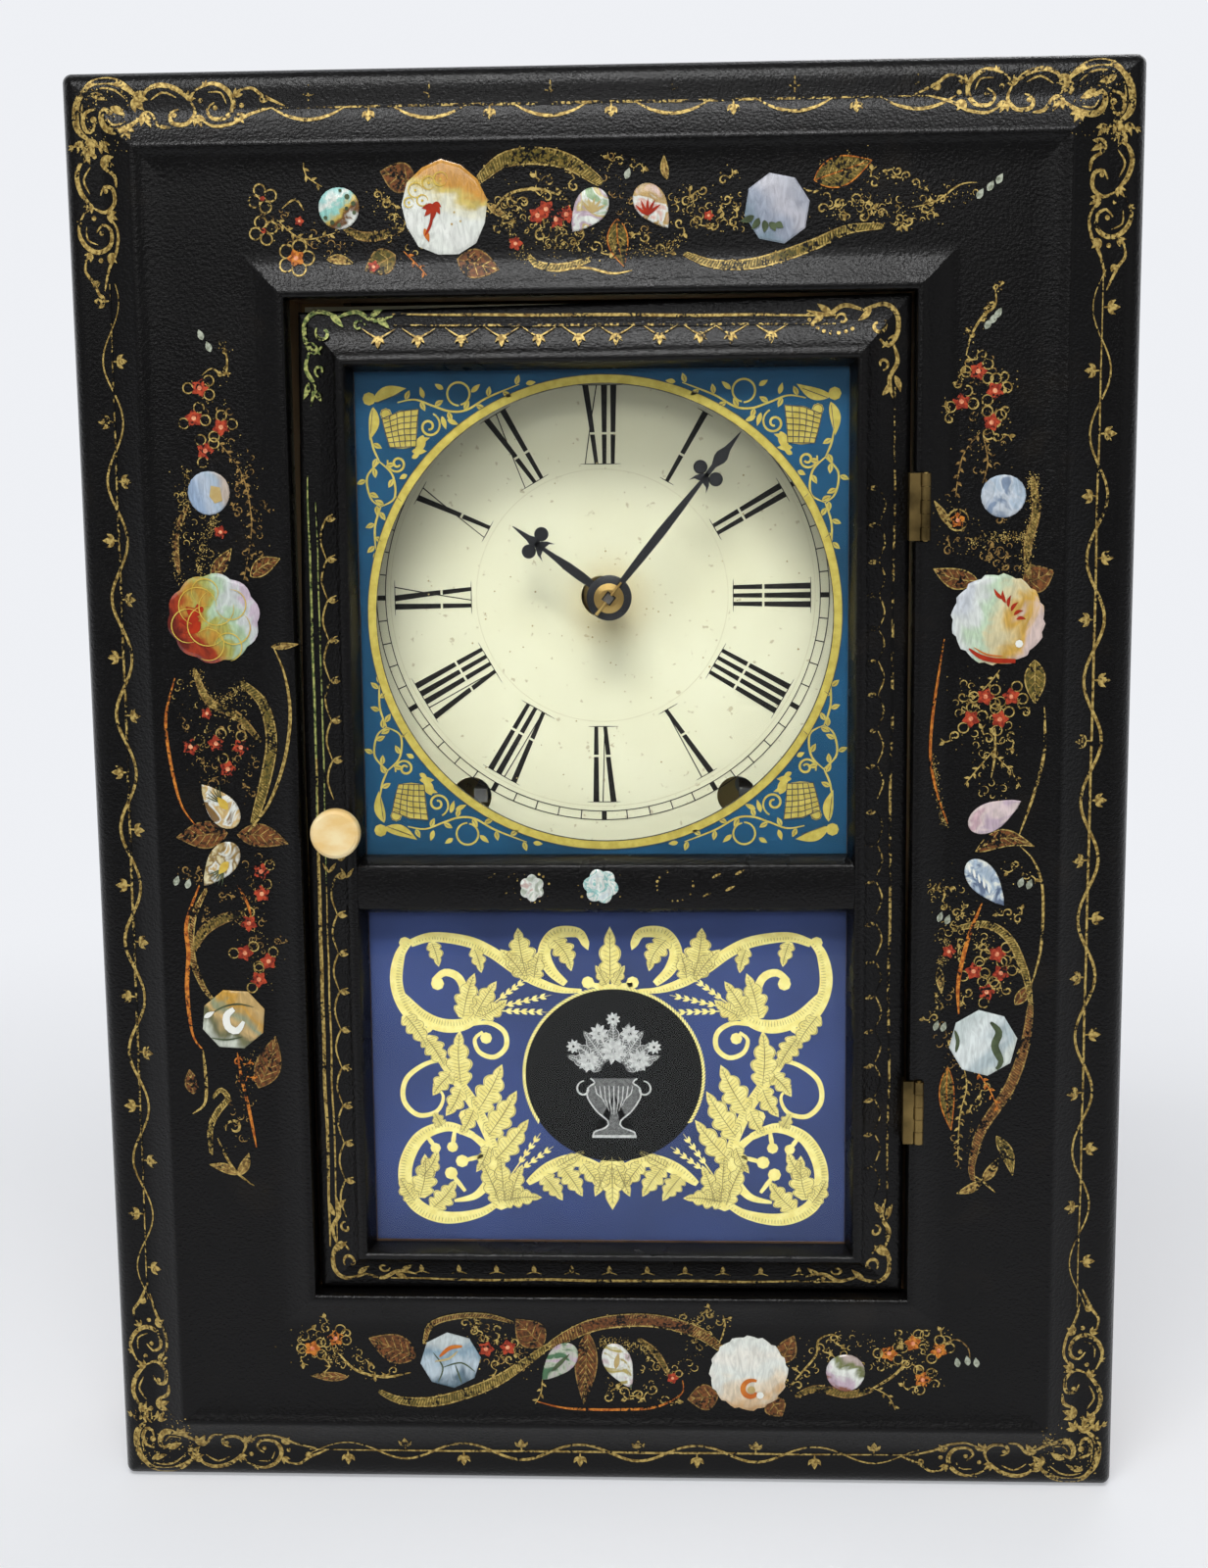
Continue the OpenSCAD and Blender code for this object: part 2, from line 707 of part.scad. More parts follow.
module door_knob() {
    color("#f0d9a8")
    difference() {
        turned(knob_c, [[0, knob_foot], [3.2, knob_foot], [4.2, knob_foot + 0.6],
            [knob_r - 0.7, knob_foot + 1.9], [knob_r, knob_foot + 3], [knob_r, knob_face - 1.2],
            [knob_r - 0.4, knob_face - 0.4], [knob_r - 1.2, knob_face], [0, knob_face]]);
        rod(knob_c, knob_foot - 1, knob_foot + 3.6, spindle_r + fit);
    }
}

// Spindle with its tongue, which hangs down when the door is free
module latch_tongue() {
    color("#b0914a") {
        rod(knob_c, tongue_h0, knob_foot + 3.4, spindle_r);
        rod(knob_c, tongue_h1 - over, door_back - 0.15, tongue_w / 2 + 0.4);
        slab(tongue_h0, tongue_h1) {
            translate([knob_c[0] - tongue_w / 2, knob_z - tongue_l + tongue_w / 2])
                square([tongue_w, tongue_l - tongue_w / 2]);
            translate([knob_c[0], knob_z - tongue_l + tongue_w / 2]) circle(tongue_w / 2);
            translate(knob_c) circle(tongue_w / 2 + 0.4);
        }
    }
}

// Points and angles of the movement in the front view
function at(c, r, a) = [c[0] + r * cos(a), c[1] + r * sin(a)];
function dir(a, b) = atan2(b[1] - a[1], b[0] - a[0]);
function gap_of(a, b) = norm(b - a);
// Point at given distances from two others, to the right of the way from a to b
function meet(a, b, ra, rb) =
    let (d = gap_of(a, b), w = (b - a) / d)
    let (u = (ra * ra - rb * rb + d * d) / (2 * d), v = sqrt(ra * ra - u * u))
    a + u * w + v * [w[1], -w[0]];
// Turn of a driven gear at which its teeth stand in the gaps of its driver
function in_mesh(phi, na, nb) = phi + 180 - 360 * (0.5 - na * phi / 360) / nb;

great_n = 64;
drum_n = 16;
second_n = 48;
strike_n = 12;
centre_n = 72;
third_n = 60;
leaves_n = 6;
cannon_n = 15;
minute_n = 45;
motion_n = 12;
hour_n = 48;

great_mesh = great_m * (great_n + drum_n) / 2;
second_mesh = second_m * (second_n + drum_n) / 2;
strike_mesh = second_m * (second_n + strike_n) / 2;
centre_mesh = centre_m * (centre_n + leaves_n) / 2;
third_mesh = third_m * (third_n + leaves_n) / 2;
motion_mesh = motion_m * (cannon_n + minute_n) / 2;

centre_c = [arbor_x, arbor_z];
great_c = centre_c + [wind_dx, -wind_drop];
second_c = meet(great_c, centre_c, great_mesh, second_mesh);
third_c = at(centre_c, centre_mesh, 60);
escape_c = at(third_c, third_mesh, 140);
verge_c = [arbor_x, escape_c[1] + verge_h];
motion_c = centre_c - [0, motion_mesh];
strike_c = centre_c - [wind_dx, wind_drop];
strike_second_c = at(strike_c, great_mesh, 85);
pin_c = at(strike_second_c, strike_mesh, 85);
fly_c = at(pin_c, third_mesh, 75);
hammer_c = centre_c + [-12, -35];

plate_h = -plate_at - plate_t;
back_plate_h = plate_h - plate_gap;

// Places a drawing between two depths behind the front plate
module inside(d0, d1) {
    slab(plate_h - d1, plate_h - d0) children();
}

module post(c, d0, d1, r) {
    rod(c, plate_h - d1, plate_h - d0, r);
}

// Trapezoid teeth on a wheel of module m
function teeth(n, m, turn, tip = 0.2, foot = 0.56, add = 0.9, ded = 1.25) = [
    for (i = [0:n - 1])
    for (s = [[-foot, -ded], [-0.42, 0], [-tip, add], [tip, add], [0.42, 0], [foot, -ded]])
        let (a = turn + (i + s[0] / 2) * 360 / n, r = m * (n / 2 + s[1])) [r * cos(a), r * sin(a)]];

// Wheel with a hub and crossings
module wheel(c, n, m, turn, hub, spokes) {
    inner = m * (n / 2 - 1.25) - 2.2;
    translate(c)
        difference() {
            polygon(teeth(n, m, turn));
            difference() {
                circle(inner);
                circle(hub);
                for (i = [0:spokes - 1])
                    rotate(turn + i * 360 / spokes) translate([0, -1.1]) square([inner + 1, 2.2]);
            }
        }
}

module pinion(c, n, m, turn) {
    translate(c) polygon(teeth(n, m, turn));
}

trundle_r = 0.45;
// Distance of a lantern pinion's ends beside the wheel that drives it
lantern_side = 1.6;

// Lantern pinion: two brass ends with steel trundles
module lantern(c, m, turn, d0, d1) {
    r = leaves_n * m / 2;
    for (d = [d0, d1 - 0.8]) inside(d, d + 0.8) translate(c) circle(r + 1);
    for (i = [0:leaves_n - 1]) post(at(c, r, turn + i * 60), d0 + 0.4, d1 - 0.4, trundle_r, $fn = 8);
}

shake = 0.3;

// Arbor between the plates with a pivot in each
module arbor(c, r) {
    post(c, shake, plate_gap - shake, r);
    post(c, -plate_t, plate_gap + plate_t, pivot_r);
}

plate_half = 86;
plate_top_half = 68;
plate_low = 98;
plate_waist = 40;
plate_high = 50;
stage_half = 12;
stage_high = gap_of(centre_c, verge_c) + 17;
pillar_r = 3.5;
stud_r = 1.8;
pillar_in = 8;
pillar_xz = [
    for (s = [-1, 1])
    for (p = [[plate_half - 6, pillar_in - plate_low],
        [plate_top_half - pillar_in, plate_high - pillar_in]])
        centre_c + [s * p[0], p[1]]
];
train_holes = [second_c, third_c, escape_c, strike_second_c, pin_c, fly_c, hammer_c];
rear_wind_r = 2;
screw_xz = [
    for (s = [-1, 1])
    for (p = [[plate_half - 20, 9 - plate_low], [plate_top_half - 20, plate_high - 7]])
        centre_c + [s * p[0], p[1]]
];

module plate_outline() {
    translate(centre_c)
        polygon([[-plate_half, -plate_low], [plate_half, -plate_low], [plate_half, -plate_waist],
            [plate_top_half, plate_high], [-plate_top_half, plate_high], [-plate_half, -plate_waist]]);
}

// Front plate with the riveted stud of the motion wheel
module plate_front() {
    color("#b8984c") rod(motion_c, -plate_at - over, hour_wheel_h + wheel_t + 1, motion_stud_r);
    color("#b8984c")
    slab(plate_h, -plate_at)
        difference() {
            union() {
                plate_outline();
                translate(centre_c + [-stage_half, plate_high - 1])
                    square([2 * stage_half, stage_high - plate_high + 1]);
            }
            for (c = train_holes) translate(c) circle(pivot_r + fit);
            for (c = [great_c, strike_c]) translate(c) circle(wind_r + fit);
            translate(centre_c) circle(centre_arbor_r + fit);
            for (c = pillar_xz) translate(c) circle(stud_r + fit);
        }
}

module plate_back() {
    color("#b8984c")
    slab(back_plate_h - plate_t, back_plate_h)
        difference() {
            plate_outline();
            for (c = train_holes) translate(c) circle(pivot_r + fit);
            for (c = [great_c, strike_c]) translate(c) circle(rear_wind_r + fit);
            translate(centre_c) circle(pivot_r + fit);
            for (c = pillar_xz) translate(c) circle(stud_r + fit);
            for (c = screw_xz) translate(c) circle(movement_screw_r + fit);
        }
}

module pillars() {
    color("#a88a45")
    for (c = pillar_xz) {
        post(c, 0, plate_gap, pillar_r);
        post(c, -plate_t - nut_t - 0.6, plate_gap + plate_t, stud_r);
    }
}

nut_t = 3;
nut_r = 5;

module plate_nuts() {
    color("#c4a65a")
    for (c = pillar_xz)
        slab(-plate_at, -plate_at + nut_t) translate(c)
            difference() {
                circle(nut_r, $fn = 6);
                circle(stud_r + fit);
            }
}

movement_screw_r = 1.3;
movement_head_r = 2.8;
movement_head_t = 1.5;
rail_z_w = 14;
rail_hs = [[2 - plate_low, 2 - plate_low + rail_z_w], [plate_high - rail_z_w, plate_high]];
rail_half = [plate_half - 2, plate_top_half - 2];

// Pine rails on the back board that the movement is screwed to
module movement_rails() {
    color("#a07c4f")
    for (i = [0, 1])
        difference() {
            block(arbor_x - rail_half[i], arbor_x + rail_half[i], back_h, back_plate_h - plate_t,
                arbor_z + rail_hs[i][0], arbor_z + rail_hs[i][1]);
            for (c = screw_xz) rod(c, back_h + 3, back_plate_h + 1, movement_screw_r + fit);
            for (c = pillar_xz) rod(c, back_plate_h - plate_t - 1, back_plate_h, stud_r + fit);
        }
}

module movement_screws() {
    color("#7c7870")
    for (c = screw_xz) {
        rod(c, back_plate_h, back_plate_h + movement_head_t, movement_head_r);
        rod(c, back_h + 3.5, back_plate_h + over, movement_screw_r);
    }
}

spring_in = wind_r + 0.7;
spring_out = 18.5;
spring_turns = 6;
spring_d = 6;
spring_w = 16;
spring_steel = 0.5;

function spiral(r0, r1, turns, steps, side) = [for (i = [0:turns * steps])
    let (a = i * 360 / steps, r = r0 + (r1 - r0) * i / (turns * steps) + side) [r * cos(a), r * sin(a)]];

module coil(c, r0, r1, turns, steps, t) {
    out = spiral(r0, r1, turns, steps, t / 2);
    back = spiral(r0, r1, turns, steps, -t / 2);
    n = len(back);
    translate(c) polygon(concat(out, [for (i = [0:n - 1]) back[n - 1 - i]]));
}

module mainsprings() {
    color("#5f6670")
    for (c = [great_c, strike_c])
        inside(spring_d, spring_d + spring_w)
            coil(c, spring_in, spring_out, spring_turns, 20, spring_steel);
}

rod_h = -24;
rod_r = 0.8;
slot_w = 0.8;
ribbon_t = 0.2;

// Post on the front plate with the slit that grips the suspension ribbon
module suspension_post() {
    color("#b0914a") {
        rod(verge_c + [0, 9], -plate_at, rod_h - 2, 2.2);
        difference() {
            block(verge_c[0] - 3, verge_c[0] + 3, rod_h - 2.5, rod_h + 2.5, verge_c[1], verge_c[1] + 12);
            block(verge_c[0] - slot_w / 2, verge_c[0] + slot_w / 2, rod_h - 3, rod_h + 3,
                verge_c[1] - 1, verge_c[1] + 5);
        }
        rod(verge_c, -plate_at, verge_h1 + 0.6, verge_pin_r);
    }
}

gong_screw_r = 1.6;
gong_head_r = 3.4;
gong_base_r = 8;
// Height of the middle of the gong's wire, clear of the back board
gong_h = back_h + 11;
head_drop = 138;
head_r = 4.5;
head_l = 9;
head_gap = 0.9;
head_x = hammer_c[0] + 8;
gong_c = [head_x - head_l / 2 - head_gap - gong_r - gong_wire / 2, arbor_z - head_drop];

module gong_coil() {
    color("#5c5e62")
    slab(gong_h - gong_wire / 2, gong_h + gong_wire / 2)
        coil(gong_c, gong_base_r + gong_wire / 2 + 0.2, gong_r, 4, 28, gong_wire);
}

// Iron block on the back board with the screw that holds it
module gong_base() {
    color("#3a3836") {
        turned(gong_c, [[0, back_h], [gong_base_r + 1.5, back_h], [gong_base_r + 1.5, back_h + 3],
            [gong_base_r, back_h + 4.5], [gong_base_r, gong_h + 3], [gong_base_r - 1.5, gong_h + 5],
            [0, gong_h + 5]]);
        rod(gong_c, -case_d + 0.2, back_h + over, gong_screw_r);
        rod(gong_c, -case_d + 0.2, -case_d + back_head_t, gong_head_r);
    }
}

function hand_turn(a) = 90 - a;
minute_h0 = 0;
hour_h0 = -3.6;
centre_arbor_r = 1.8;
square_w = 2.5;

// Slender blade with two round lobes and a pointed tip, drawn along the X axis
module hand_outline(l, collar, blade, lobe) {
    circle(collar);
    polygon([[0, -blade], [l - 5.4 * lobe, -blade * 0.55], [l - 5.4 * lobe, blade * 0.55], [0, blade]]);
    translate([l - 4.6 * lobe, 0]) square([1.6 * lobe, 1.8 * blade], center = true);
    polygon([[l - 5.6 * lobe, 0], [l - 5.2 * lobe, -1.3 * lobe], [l - 4.8 * lobe, 0],
        [l - 5.2 * lobe, 1.3 * lobe]]);
    for (s = [-1, 1]) translate([l - 3.3 * lobe, s * 1.1 * lobe]) circle(1.05 * lobe);
    polygon([[l - 4 * lobe, -blade * 0.7], [l - 1.6 * lobe, -0.8 * lobe], [l, 0],
        [l - 1.6 * lobe, 0.8 * lobe], [l - 4 * lobe, blade * 0.7]]);
}

module minute_hand() {
    color("#141414")
    slab(minute_h0, minute_h0 + hand_t) translate(centre_c) rotate(hand_turn(minute_now * 6))
        difference() {
            hand_outline(minute_l, 5.2, 1.35, 2.6);
            square(square_w + 2 * fit, center = true);
        }
}

module hour_hand() {
    color("#141414")
    slab(hour_h0, hour_h0 + hand_t) translate(centre_c) rotate(hand_turn(hour_angle))
        difference() {
            hand_outline(hour_l, 7, 1.5, 2.7);
            circle(hour_pipe_r + fit / 2);
        }
}

washer_r = 4.6;
washer_t = 0.8;
washer_h0 = minute_h0 + hand_t;

module hand_washer() {
    color("#d8c05e")
    difference() {
        turned(centre_c, [[0, washer_h0], [washer_r, washer_h0], [washer_r, washer_h0 + 0.3],
            [washer_r * 0.6, washer_h0 + washer_t], [0, washer_h0 + washer_t]]);
        slab(washer_h0 - 1, washer_h0 + 2) translate(centre_c) rotate(hand_turn(minute_now * 6))
            square(square_w + 0.8, center = true);
    }
}

pin_h = washer_h0 + washer_t + 0.65;
pin_turn = 52;
pin_len = 12.6;
pin_r = 0.6;

// Tapered brass pin through the arbor's end
module taper_pin() {
    color("#c09a50")
    translate([arbor_x, yf - pin_h, arbor_z]) rotate([0, 90 - pin_turn, 0])
        cylinder(h = pin_len, r1 = pin_r, r2 = 0.6 * pin_r, center = true);
}

// Arbor that carries the minute hand, with its cannon pinion
module centre_arbor() {
    color("#8f9196")
    difference() {
        union() {
            post(centre_c, shake, plate_gap - shake, centre_arbor_r);
            post(centre_c, plate_gap - 1, plate_gap + plate_t, pivot_r);
            rod(centre_c, plate_h - shake - 1, minute_h0 - 0.3, centre_arbor_r);
            slab(minute_h0 - 0.3 - over, pin_h + 1.2) translate(centre_c) rotate(hand_turn(minute_now * 6))
                square(square_w, center = true);
            slab(-plate_at + 2.8, -plate_at + 5.2) pinion(centre_c, cannon_n, motion_m, 0);
        }
        translate([arbor_x, yf - pin_h, arbor_z]) rotate([0, 90 - pin_turn, 0])
            cylinder(h = pin_len + 1.4, r = pin_r + fit, center = true);
    }
}

hour_pipe_r = 3.3;
motion_h = -plate_at + 3.2;
hour_wheel_h = -plate_at + 6.2;

module hour_wheel() {
    color("#c4a65a")
    difference() {
        union() {
            slab(hour_wheel_h, hour_wheel_h + wheel_t)
                wheel(centre_c, hour_n, motion_m, in_mesh(dir(motion_c, centre_c), motion_n, hour_n), 5, 4);
            rod(centre_c, hour_wheel_h - 0.6, hour_h0 + hand_t, hour_pipe_r);
        }
        rod(centre_c, hour_wheel_h - 1, hour_h0 + 2, centre_arbor_r + fit);
    }
}

motion_stud_r = 1;

module motion_wheel() {
    color("#c4a65a")
    difference() {
        union() {
            slab(motion_h, motion_h + wheel_t)
                wheel(motion_c, minute_n, motion_m, in_mesh(dir(centre_c, motion_c), cannon_n, minute_n),
                    4.4, 4);
            slab(motion_h, hour_wheel_h + wheel_t + 0.4) pinion(motion_c, motion_n, motion_m, 0);
        }
        rod(motion_c, motion_h - 1, motion_h + 9, motion_stud_r + fit);
    }
}

great_d = 24;
great_t = 2.4;
ratchet_n = 16;
ratchet_r = 8;

function saw(n, r, depth) = [for (i = [0:n - 1]) for (s = [[0, 0], [0.12, depth]])
    let (a = (i + s[0]) * 360 / n) [(r - s[1]) * cos(a), (r - s[1]) * sin(a)]];

// Great wheel, loose on its winding arbor, with the click riveted on
module great_wheel(c) {
    color("#c4a65a")
    difference() {
        union() {
            inside(great_d, great_d + great_t) wheel(c, great_n, great_m, 0, 14, 5);
            inside(great_d + great_t - over, great_d + great_t + 1.4)
                translate(c) rotate(30) translate([ratchet_r + 0.4, -1.2]) square([4.4, 2.4]);
        }
        post(c, great_d - 1, great_d + 6, wind_r + fit);
    }
}

module time_great_wheel() {
    great_wheel(great_c);
}

module strike_great_wheel() {
    great_wheel(strike_c);
}

winding_square = 4.2;

// Winding arbor with its ratchet and the square for the key
module winding_arbor(c) {
    color("#8f9196") {
        post(c, -plate_t - 1, plate_gap - shake, wind_r);
        post(c, plate_gap - 1, plate_gap + plate_t, rear_wind_r);
        slab(-plate_at + 1 - over, -dial_back + 2) translate(c) square(winding_square, center = true);
        inside(great_d + great_t + 0.1, great_d + great_t + 1.4)
            translate(c) polygon(saw(ratchet_n, ratchet_r, 1.4));
    }
}

module time_winding_arbor() {
    winding_arbor(great_c);
}

module strike_winding_arbor() {
    winding_arbor(strike_c);
}

second_d = 2.5;

// Second wheels run close behind the front plate, their pinions in the great wheels
module second_wheel(c, from) {
    color("#c4a65a") {
        arbor(c, 2);
        inside(second_d, second_d + wheel_t) wheel(c, second_n, second_m, 0, 5, 5);
        inside(great_d - 0.6, great_d + great_t + 0.8)
            pinion(c, drum_n, great_m, in_mesh(dir(from, c), great_n, drum_n));
    }
}

module time_second_wheel() {
    second_wheel(second_c, great_c);
}

module strike_second_wheel() {
    second_wheel(strike_second_c, strike_c);
}

centre_d = 8;
third_d = 16;
pipe_r = 3.4;

// Centre wheel and its pinion on a pipe that slips on the centre arbor
module centre_wheel() {
    color("#c4a65a")
    difference() {
        union() {
            post(centre_c, 1.4, centre_d + wheel_t + 1.6, pipe_r);
            inside(centre_d, centre_d + wheel_t) wheel(centre_c, centre_n, centre_m, 0, 5.4, 5);
            inside(second_d - 0.7, second_d + wheel_t + 0.9)
                pinion(centre_c, drum_n, second_m, in_mesh(dir(second_c, centre_c), second_n, drum_n));
        }
        post(centre_c, 0, plate_gap, centre_arbor_r + fit);
    }
}

module third_wheel() {
    color("#c4a65a") {
        arbor(third_c, 1.2);
        lantern(third_c, centre_m, in_mesh(dir(centre_c, third_c), centre_n, leaves_n),
            centre_d - lantern_side, centre_d + wheel_t + lantern_side);
        inside(third_d, third_d + wheel_t) wheel(third_c, third_n, third_m, 0, 4, 5);
    }
}

escape_h = -33;
escape_t = 1;

// Escape wheel, overhung in front of the plate
module escape_wheel() {
    color("#c4a65a") {
        post(escape_c, shake, plate_gap - shake, 1.2);
        post(escape_c, plate_gap - 1, plate_gap + plate_t, pivot_r);
        rod(escape_c, plate_h - 1, escape_h + escape_t + 0.5, pivot_r);
        rod(escape_c, -plate_at + shake, escape_h + escape_t + 0.3, 2.2);
        lantern(escape_c, third_m, in_mesh(dir(third_c, escape_c), third_n, leaves_n),
            third_d - lantern_side, third_d + wheel_t + lantern_side);
        slab(escape_h, escape_h + escape_t) translate(escape_c)
            difference() {
                polygon(saw(escape_n, escape_r, 2));
                difference() {
                    circle(escape_r - 4);
                    circle(3.4);
                    for (i = [0:2]) rotate(i * 60) square([2 * escape_r, 1.6], center = true);
                }
            }
    }
}

verge_pin_r = 0.8;
verge_h0 = escape_h - 0.8;
verge_h1 = -plate_at + 7.4;
nib_r = escape_r + 2;
nib_turn = 42;
crutch_drop = 18;
nibs = [for (s = [1, -1]) at(escape_c, nib_r, 90 + s * nib_turn)];

// Bent strip with a nib each side of the escape wheel, and the crutch down to the rod
module verge() {
    color("#8f9196")
    difference() {
        union() {
            rod(verge_c, verge_h0, verge_h1, 2.2);
            slab(verge_h0, escape_h + escape_t + 0.6)
                for (s = [0, 1]) {
                    tip = nibs[s];
                    knee = tip + [s == 0 ? -2.4 : 2.4, 4.4];
                    polygon([verge_c + [s == 0 ? -1.6 : 1.6, -1.4], verge_c + [0, 1.6], knee, tip]);
                }
            block(verge_c[0] - 0.8, verge_c[0] + 0.8, verge_h1 - 1.2, verge_h1,
                verge_c[1] - crutch_drop, verge_c[1]);
            block(verge_c[0] - 2.4, verge_c[0] + 2.4, verge_h1 - 1.2, rod_h + 3,
                verge_c[1] - crutch_drop - 1.4,
                verge_c[1] - crutch_drop);
        }
        rod(verge_c, verge_h0 - 1, verge_h1 + 1, verge_pin_r + fit);
        block(verge_c[0] - rod_r - 0.25, verge_c[0] + rod_r + 0.25, rod_h - 1.6, rod_h + 1.6,
            verge_c[1] - crutch_drop - 3, verge_c[1] - crutch_drop + 1);
    }
}

ribbon_l = 14;
loop_r = 7.6;
// Length of the rod below the bob
rod_tail = 9;
loop_w = 1.4;
bob_z = verge_c[1] - pendulum_l;

// Rod with its ribbon, and the loop that lets it swing round the hand arbor
module pendulum_rod() {
    color("#9c8a5c") {
        block(verge_c[0] - ribbon_t / 2, verge_c[0] + ribbon_t / 2, rod_h - 1.5, rod_h + 1.5,
            verge_c[1] - ribbon_l, verge_c[1] + 4);
        translate([verge_c[0], yf - rod_h, arbor_z + loop_r])
            cylinder(h = verge_c[1] - ribbon_l + 0.5 - arbor_z - loop_r, r = rod_r);
        translate([verge_c[0], yf - rod_h, bob_z - bob_r - rod_tail])
            cylinder(h = arbor_z - loop_r - bob_z + bob_r + rod_tail, r = rod_r);
        slab(rod_h - rod_r, rod_h + rod_r) translate(centre_c)
            difference() {
                circle(loop_r + loop_w);
                circle(loop_r);
            }
    }
}

bob_t = 8;

module pendulum_bob() {
    color("#c9a64e")
    difference() {
        turned([arbor_x, bob_z], [[0, rod_h - bob_t / 2], [bob_r * 0.5, rod_h - bob_t * 0.45],
            [bob_r * 0.85, rod_h - bob_t * 0.3],
            [bob_r, rod_h - 0.6], [bob_r, rod_h + 0.6], [bob_r * 0.85, rod_h + bob_t * 0.3],
            [bob_r * 0.5, rod_h + bob_t * 0.45], [0, rod_h + bob_t / 2]]);
        translate([arbor_x, yf - rod_h, bob_z - bob_r - 1]) cylinder(h = 2 * bob_r + 2, r = rod_r + fit);
    }
}

module rating_nut() {
    color("#b0914a")
    translate([arbor_x, yf - rod_h, bob_z - bob_r - 4.2])
        difference() {
            cylinder(h = 4, r = 3.4, $fn = 12);
            translate([0, 0, -1]) cylinder(h = 6, r = rod_r + fit);
        }
}

pin_d = 12;
pin_ring = 19;
pins_n = 10;
pin_l = 3.4;

// Wheel whose pins lift the hammer
module pin_wheel() {
    color("#c4a65a") {
        arbor(pin_c, 1.4);
        inside(second_d - 0.7, second_d + wheel_t + 0.9)
            pinion(pin_c, strike_n, second_m, in_mesh(dir(strike_second_c, pin_c), second_n, strike_n));
        inside(pin_d, pin_d + wheel_t) wheel(pin_c, third_n, third_m, 0, 4, 5);
        for (i = [0:pins_n - 1])
            post(at(pin_c, pin_ring, i * 360 / pins_n), pin_d + 0.4, pin_d + wheel_t + pin_l, 0.7);
    }
}

fly_r = 12;

module strike_fly() {
    color("#b0914a") {
        arbor(fly_c, 1);
        lantern(fly_c, third_m, in_mesh(dir(pin_c, fly_c), third_n, leaves_n),
            pin_d - lantern_side, pin_d + wheel_t + lantern_side);
        inside(20, 30) translate(fly_c) rotate(20) square([2 * fly_r, 1.6], center = true);
    }
}

hammer_d = 15.2;
elbow = [head_x, arbor_z - plate_low - 6];

// Wire between two places at one depth
module wire(a, b, h, r) {
    translate([a[0], yf - h, a[1]]) rotate([0, 90 - dir(a, b), 0]) cylinder(h = gap_of(a, b), r = r);
}

module hammer() {
    tail = pin_c + (pin_ring + 2.6) * (hammer_c - pin_c) / gap_of(pin_c, hammer_c);
    h = plate_h - hammer_d;
    color("#5a5148") {
        arbor(hammer_c, 1.4);
        post(hammer_c, hammer_d - 2.4, hammer_d + 2.4, 2.6);
        wire(hammer_c, tail, h, 0.8);
        wire(hammer_c, elbow, h, 1);
        rod(elbow, gong_h, h, 1.1);
        wire(elbow, [head_x, arbor_z - head_drop], gong_h, 1);
        for (bend = [h, gong_h]) translate([elbow[0], yf - bend, elbow[1]]) sphere(1.6);
        translate([head_x - head_l / 2, yf - gong_h, arbor_z - head_drop])
            rotate([0, 90, 0]) cylinder(h = head_l, r = head_r);
    }
}

front_shell();
front_ground();
case_left();
case_right();
case_top();
case_bottom();
back_board();
back_screws();
dial_blocks();
dial_plate();
dial_screws();
hinge_case_leaves();
hinge_pins();
hinge_case_screws();
latch_keeper();
pearl_inlays();
plate_front();
plate_back();
pillars();
plate_nuts();
movement_rails();
movement_screws();
mainsprings();
suspension_post();
gong_coil();
gong_base();
door_frame();
hinge_door_leaves();
hinge_door_screws();
upper_glass();
lower_glass();
glass_beads();
door_pearls();
knob_bush();
door_knob();
latch_tongue();
minute_hand();
hand_washer();
taper_pin();
centre_arbor();
hour_hand();
hour_wheel();
motion_wheel();
time_great_wheel();
time_winding_arbor();
time_second_wheel();
centre_wheel();
third_wheel();
escape_wheel();
verge();
pendulum_rod();
pendulum_bob();
rating_nut();
strike_great_wheel();
strike_winding_arbor();
strike_second_wheel();
pin_wheel();
strike_fly();
hammer();
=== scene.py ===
import math
import random
from bisect import bisect_right

import bpy
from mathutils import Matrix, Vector, noise


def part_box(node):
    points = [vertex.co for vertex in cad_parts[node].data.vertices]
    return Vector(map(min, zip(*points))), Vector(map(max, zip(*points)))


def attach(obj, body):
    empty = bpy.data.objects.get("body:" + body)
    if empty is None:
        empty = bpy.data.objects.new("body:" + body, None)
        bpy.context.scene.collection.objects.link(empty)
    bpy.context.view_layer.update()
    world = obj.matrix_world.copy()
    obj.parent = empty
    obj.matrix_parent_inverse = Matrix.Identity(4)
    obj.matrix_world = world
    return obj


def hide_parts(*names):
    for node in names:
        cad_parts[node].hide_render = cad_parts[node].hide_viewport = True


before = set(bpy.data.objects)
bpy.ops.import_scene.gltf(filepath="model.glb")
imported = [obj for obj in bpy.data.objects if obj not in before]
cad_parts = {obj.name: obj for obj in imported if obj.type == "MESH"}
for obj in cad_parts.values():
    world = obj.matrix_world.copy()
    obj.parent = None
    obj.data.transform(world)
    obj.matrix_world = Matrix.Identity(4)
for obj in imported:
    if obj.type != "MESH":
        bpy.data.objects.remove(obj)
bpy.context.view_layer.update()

random.seed(7)

# Sizes in millimetres, in the front view: x to the right, z up, h forward from the front's edge plane
MM = 0.001
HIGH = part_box("front_shell")[1] / MM
FRONT_X = HIGH.x
FRONT_Z = HIGH.z
LIP = 4
EDGE_Y = HIGH.y - LIP
RAIL = 67.3
OPEN_X = FRONT_X - RAIL
OPEN_Z0 = RAIL
OPEN_Z1 = FRONT_Z - RAIL
CORNER_R = 2.7
PANEL = 9.4
NOTCH_FLOOR = 12.4
HINGES = [128.6, 315.3]
HINGE_HALF = 10.4

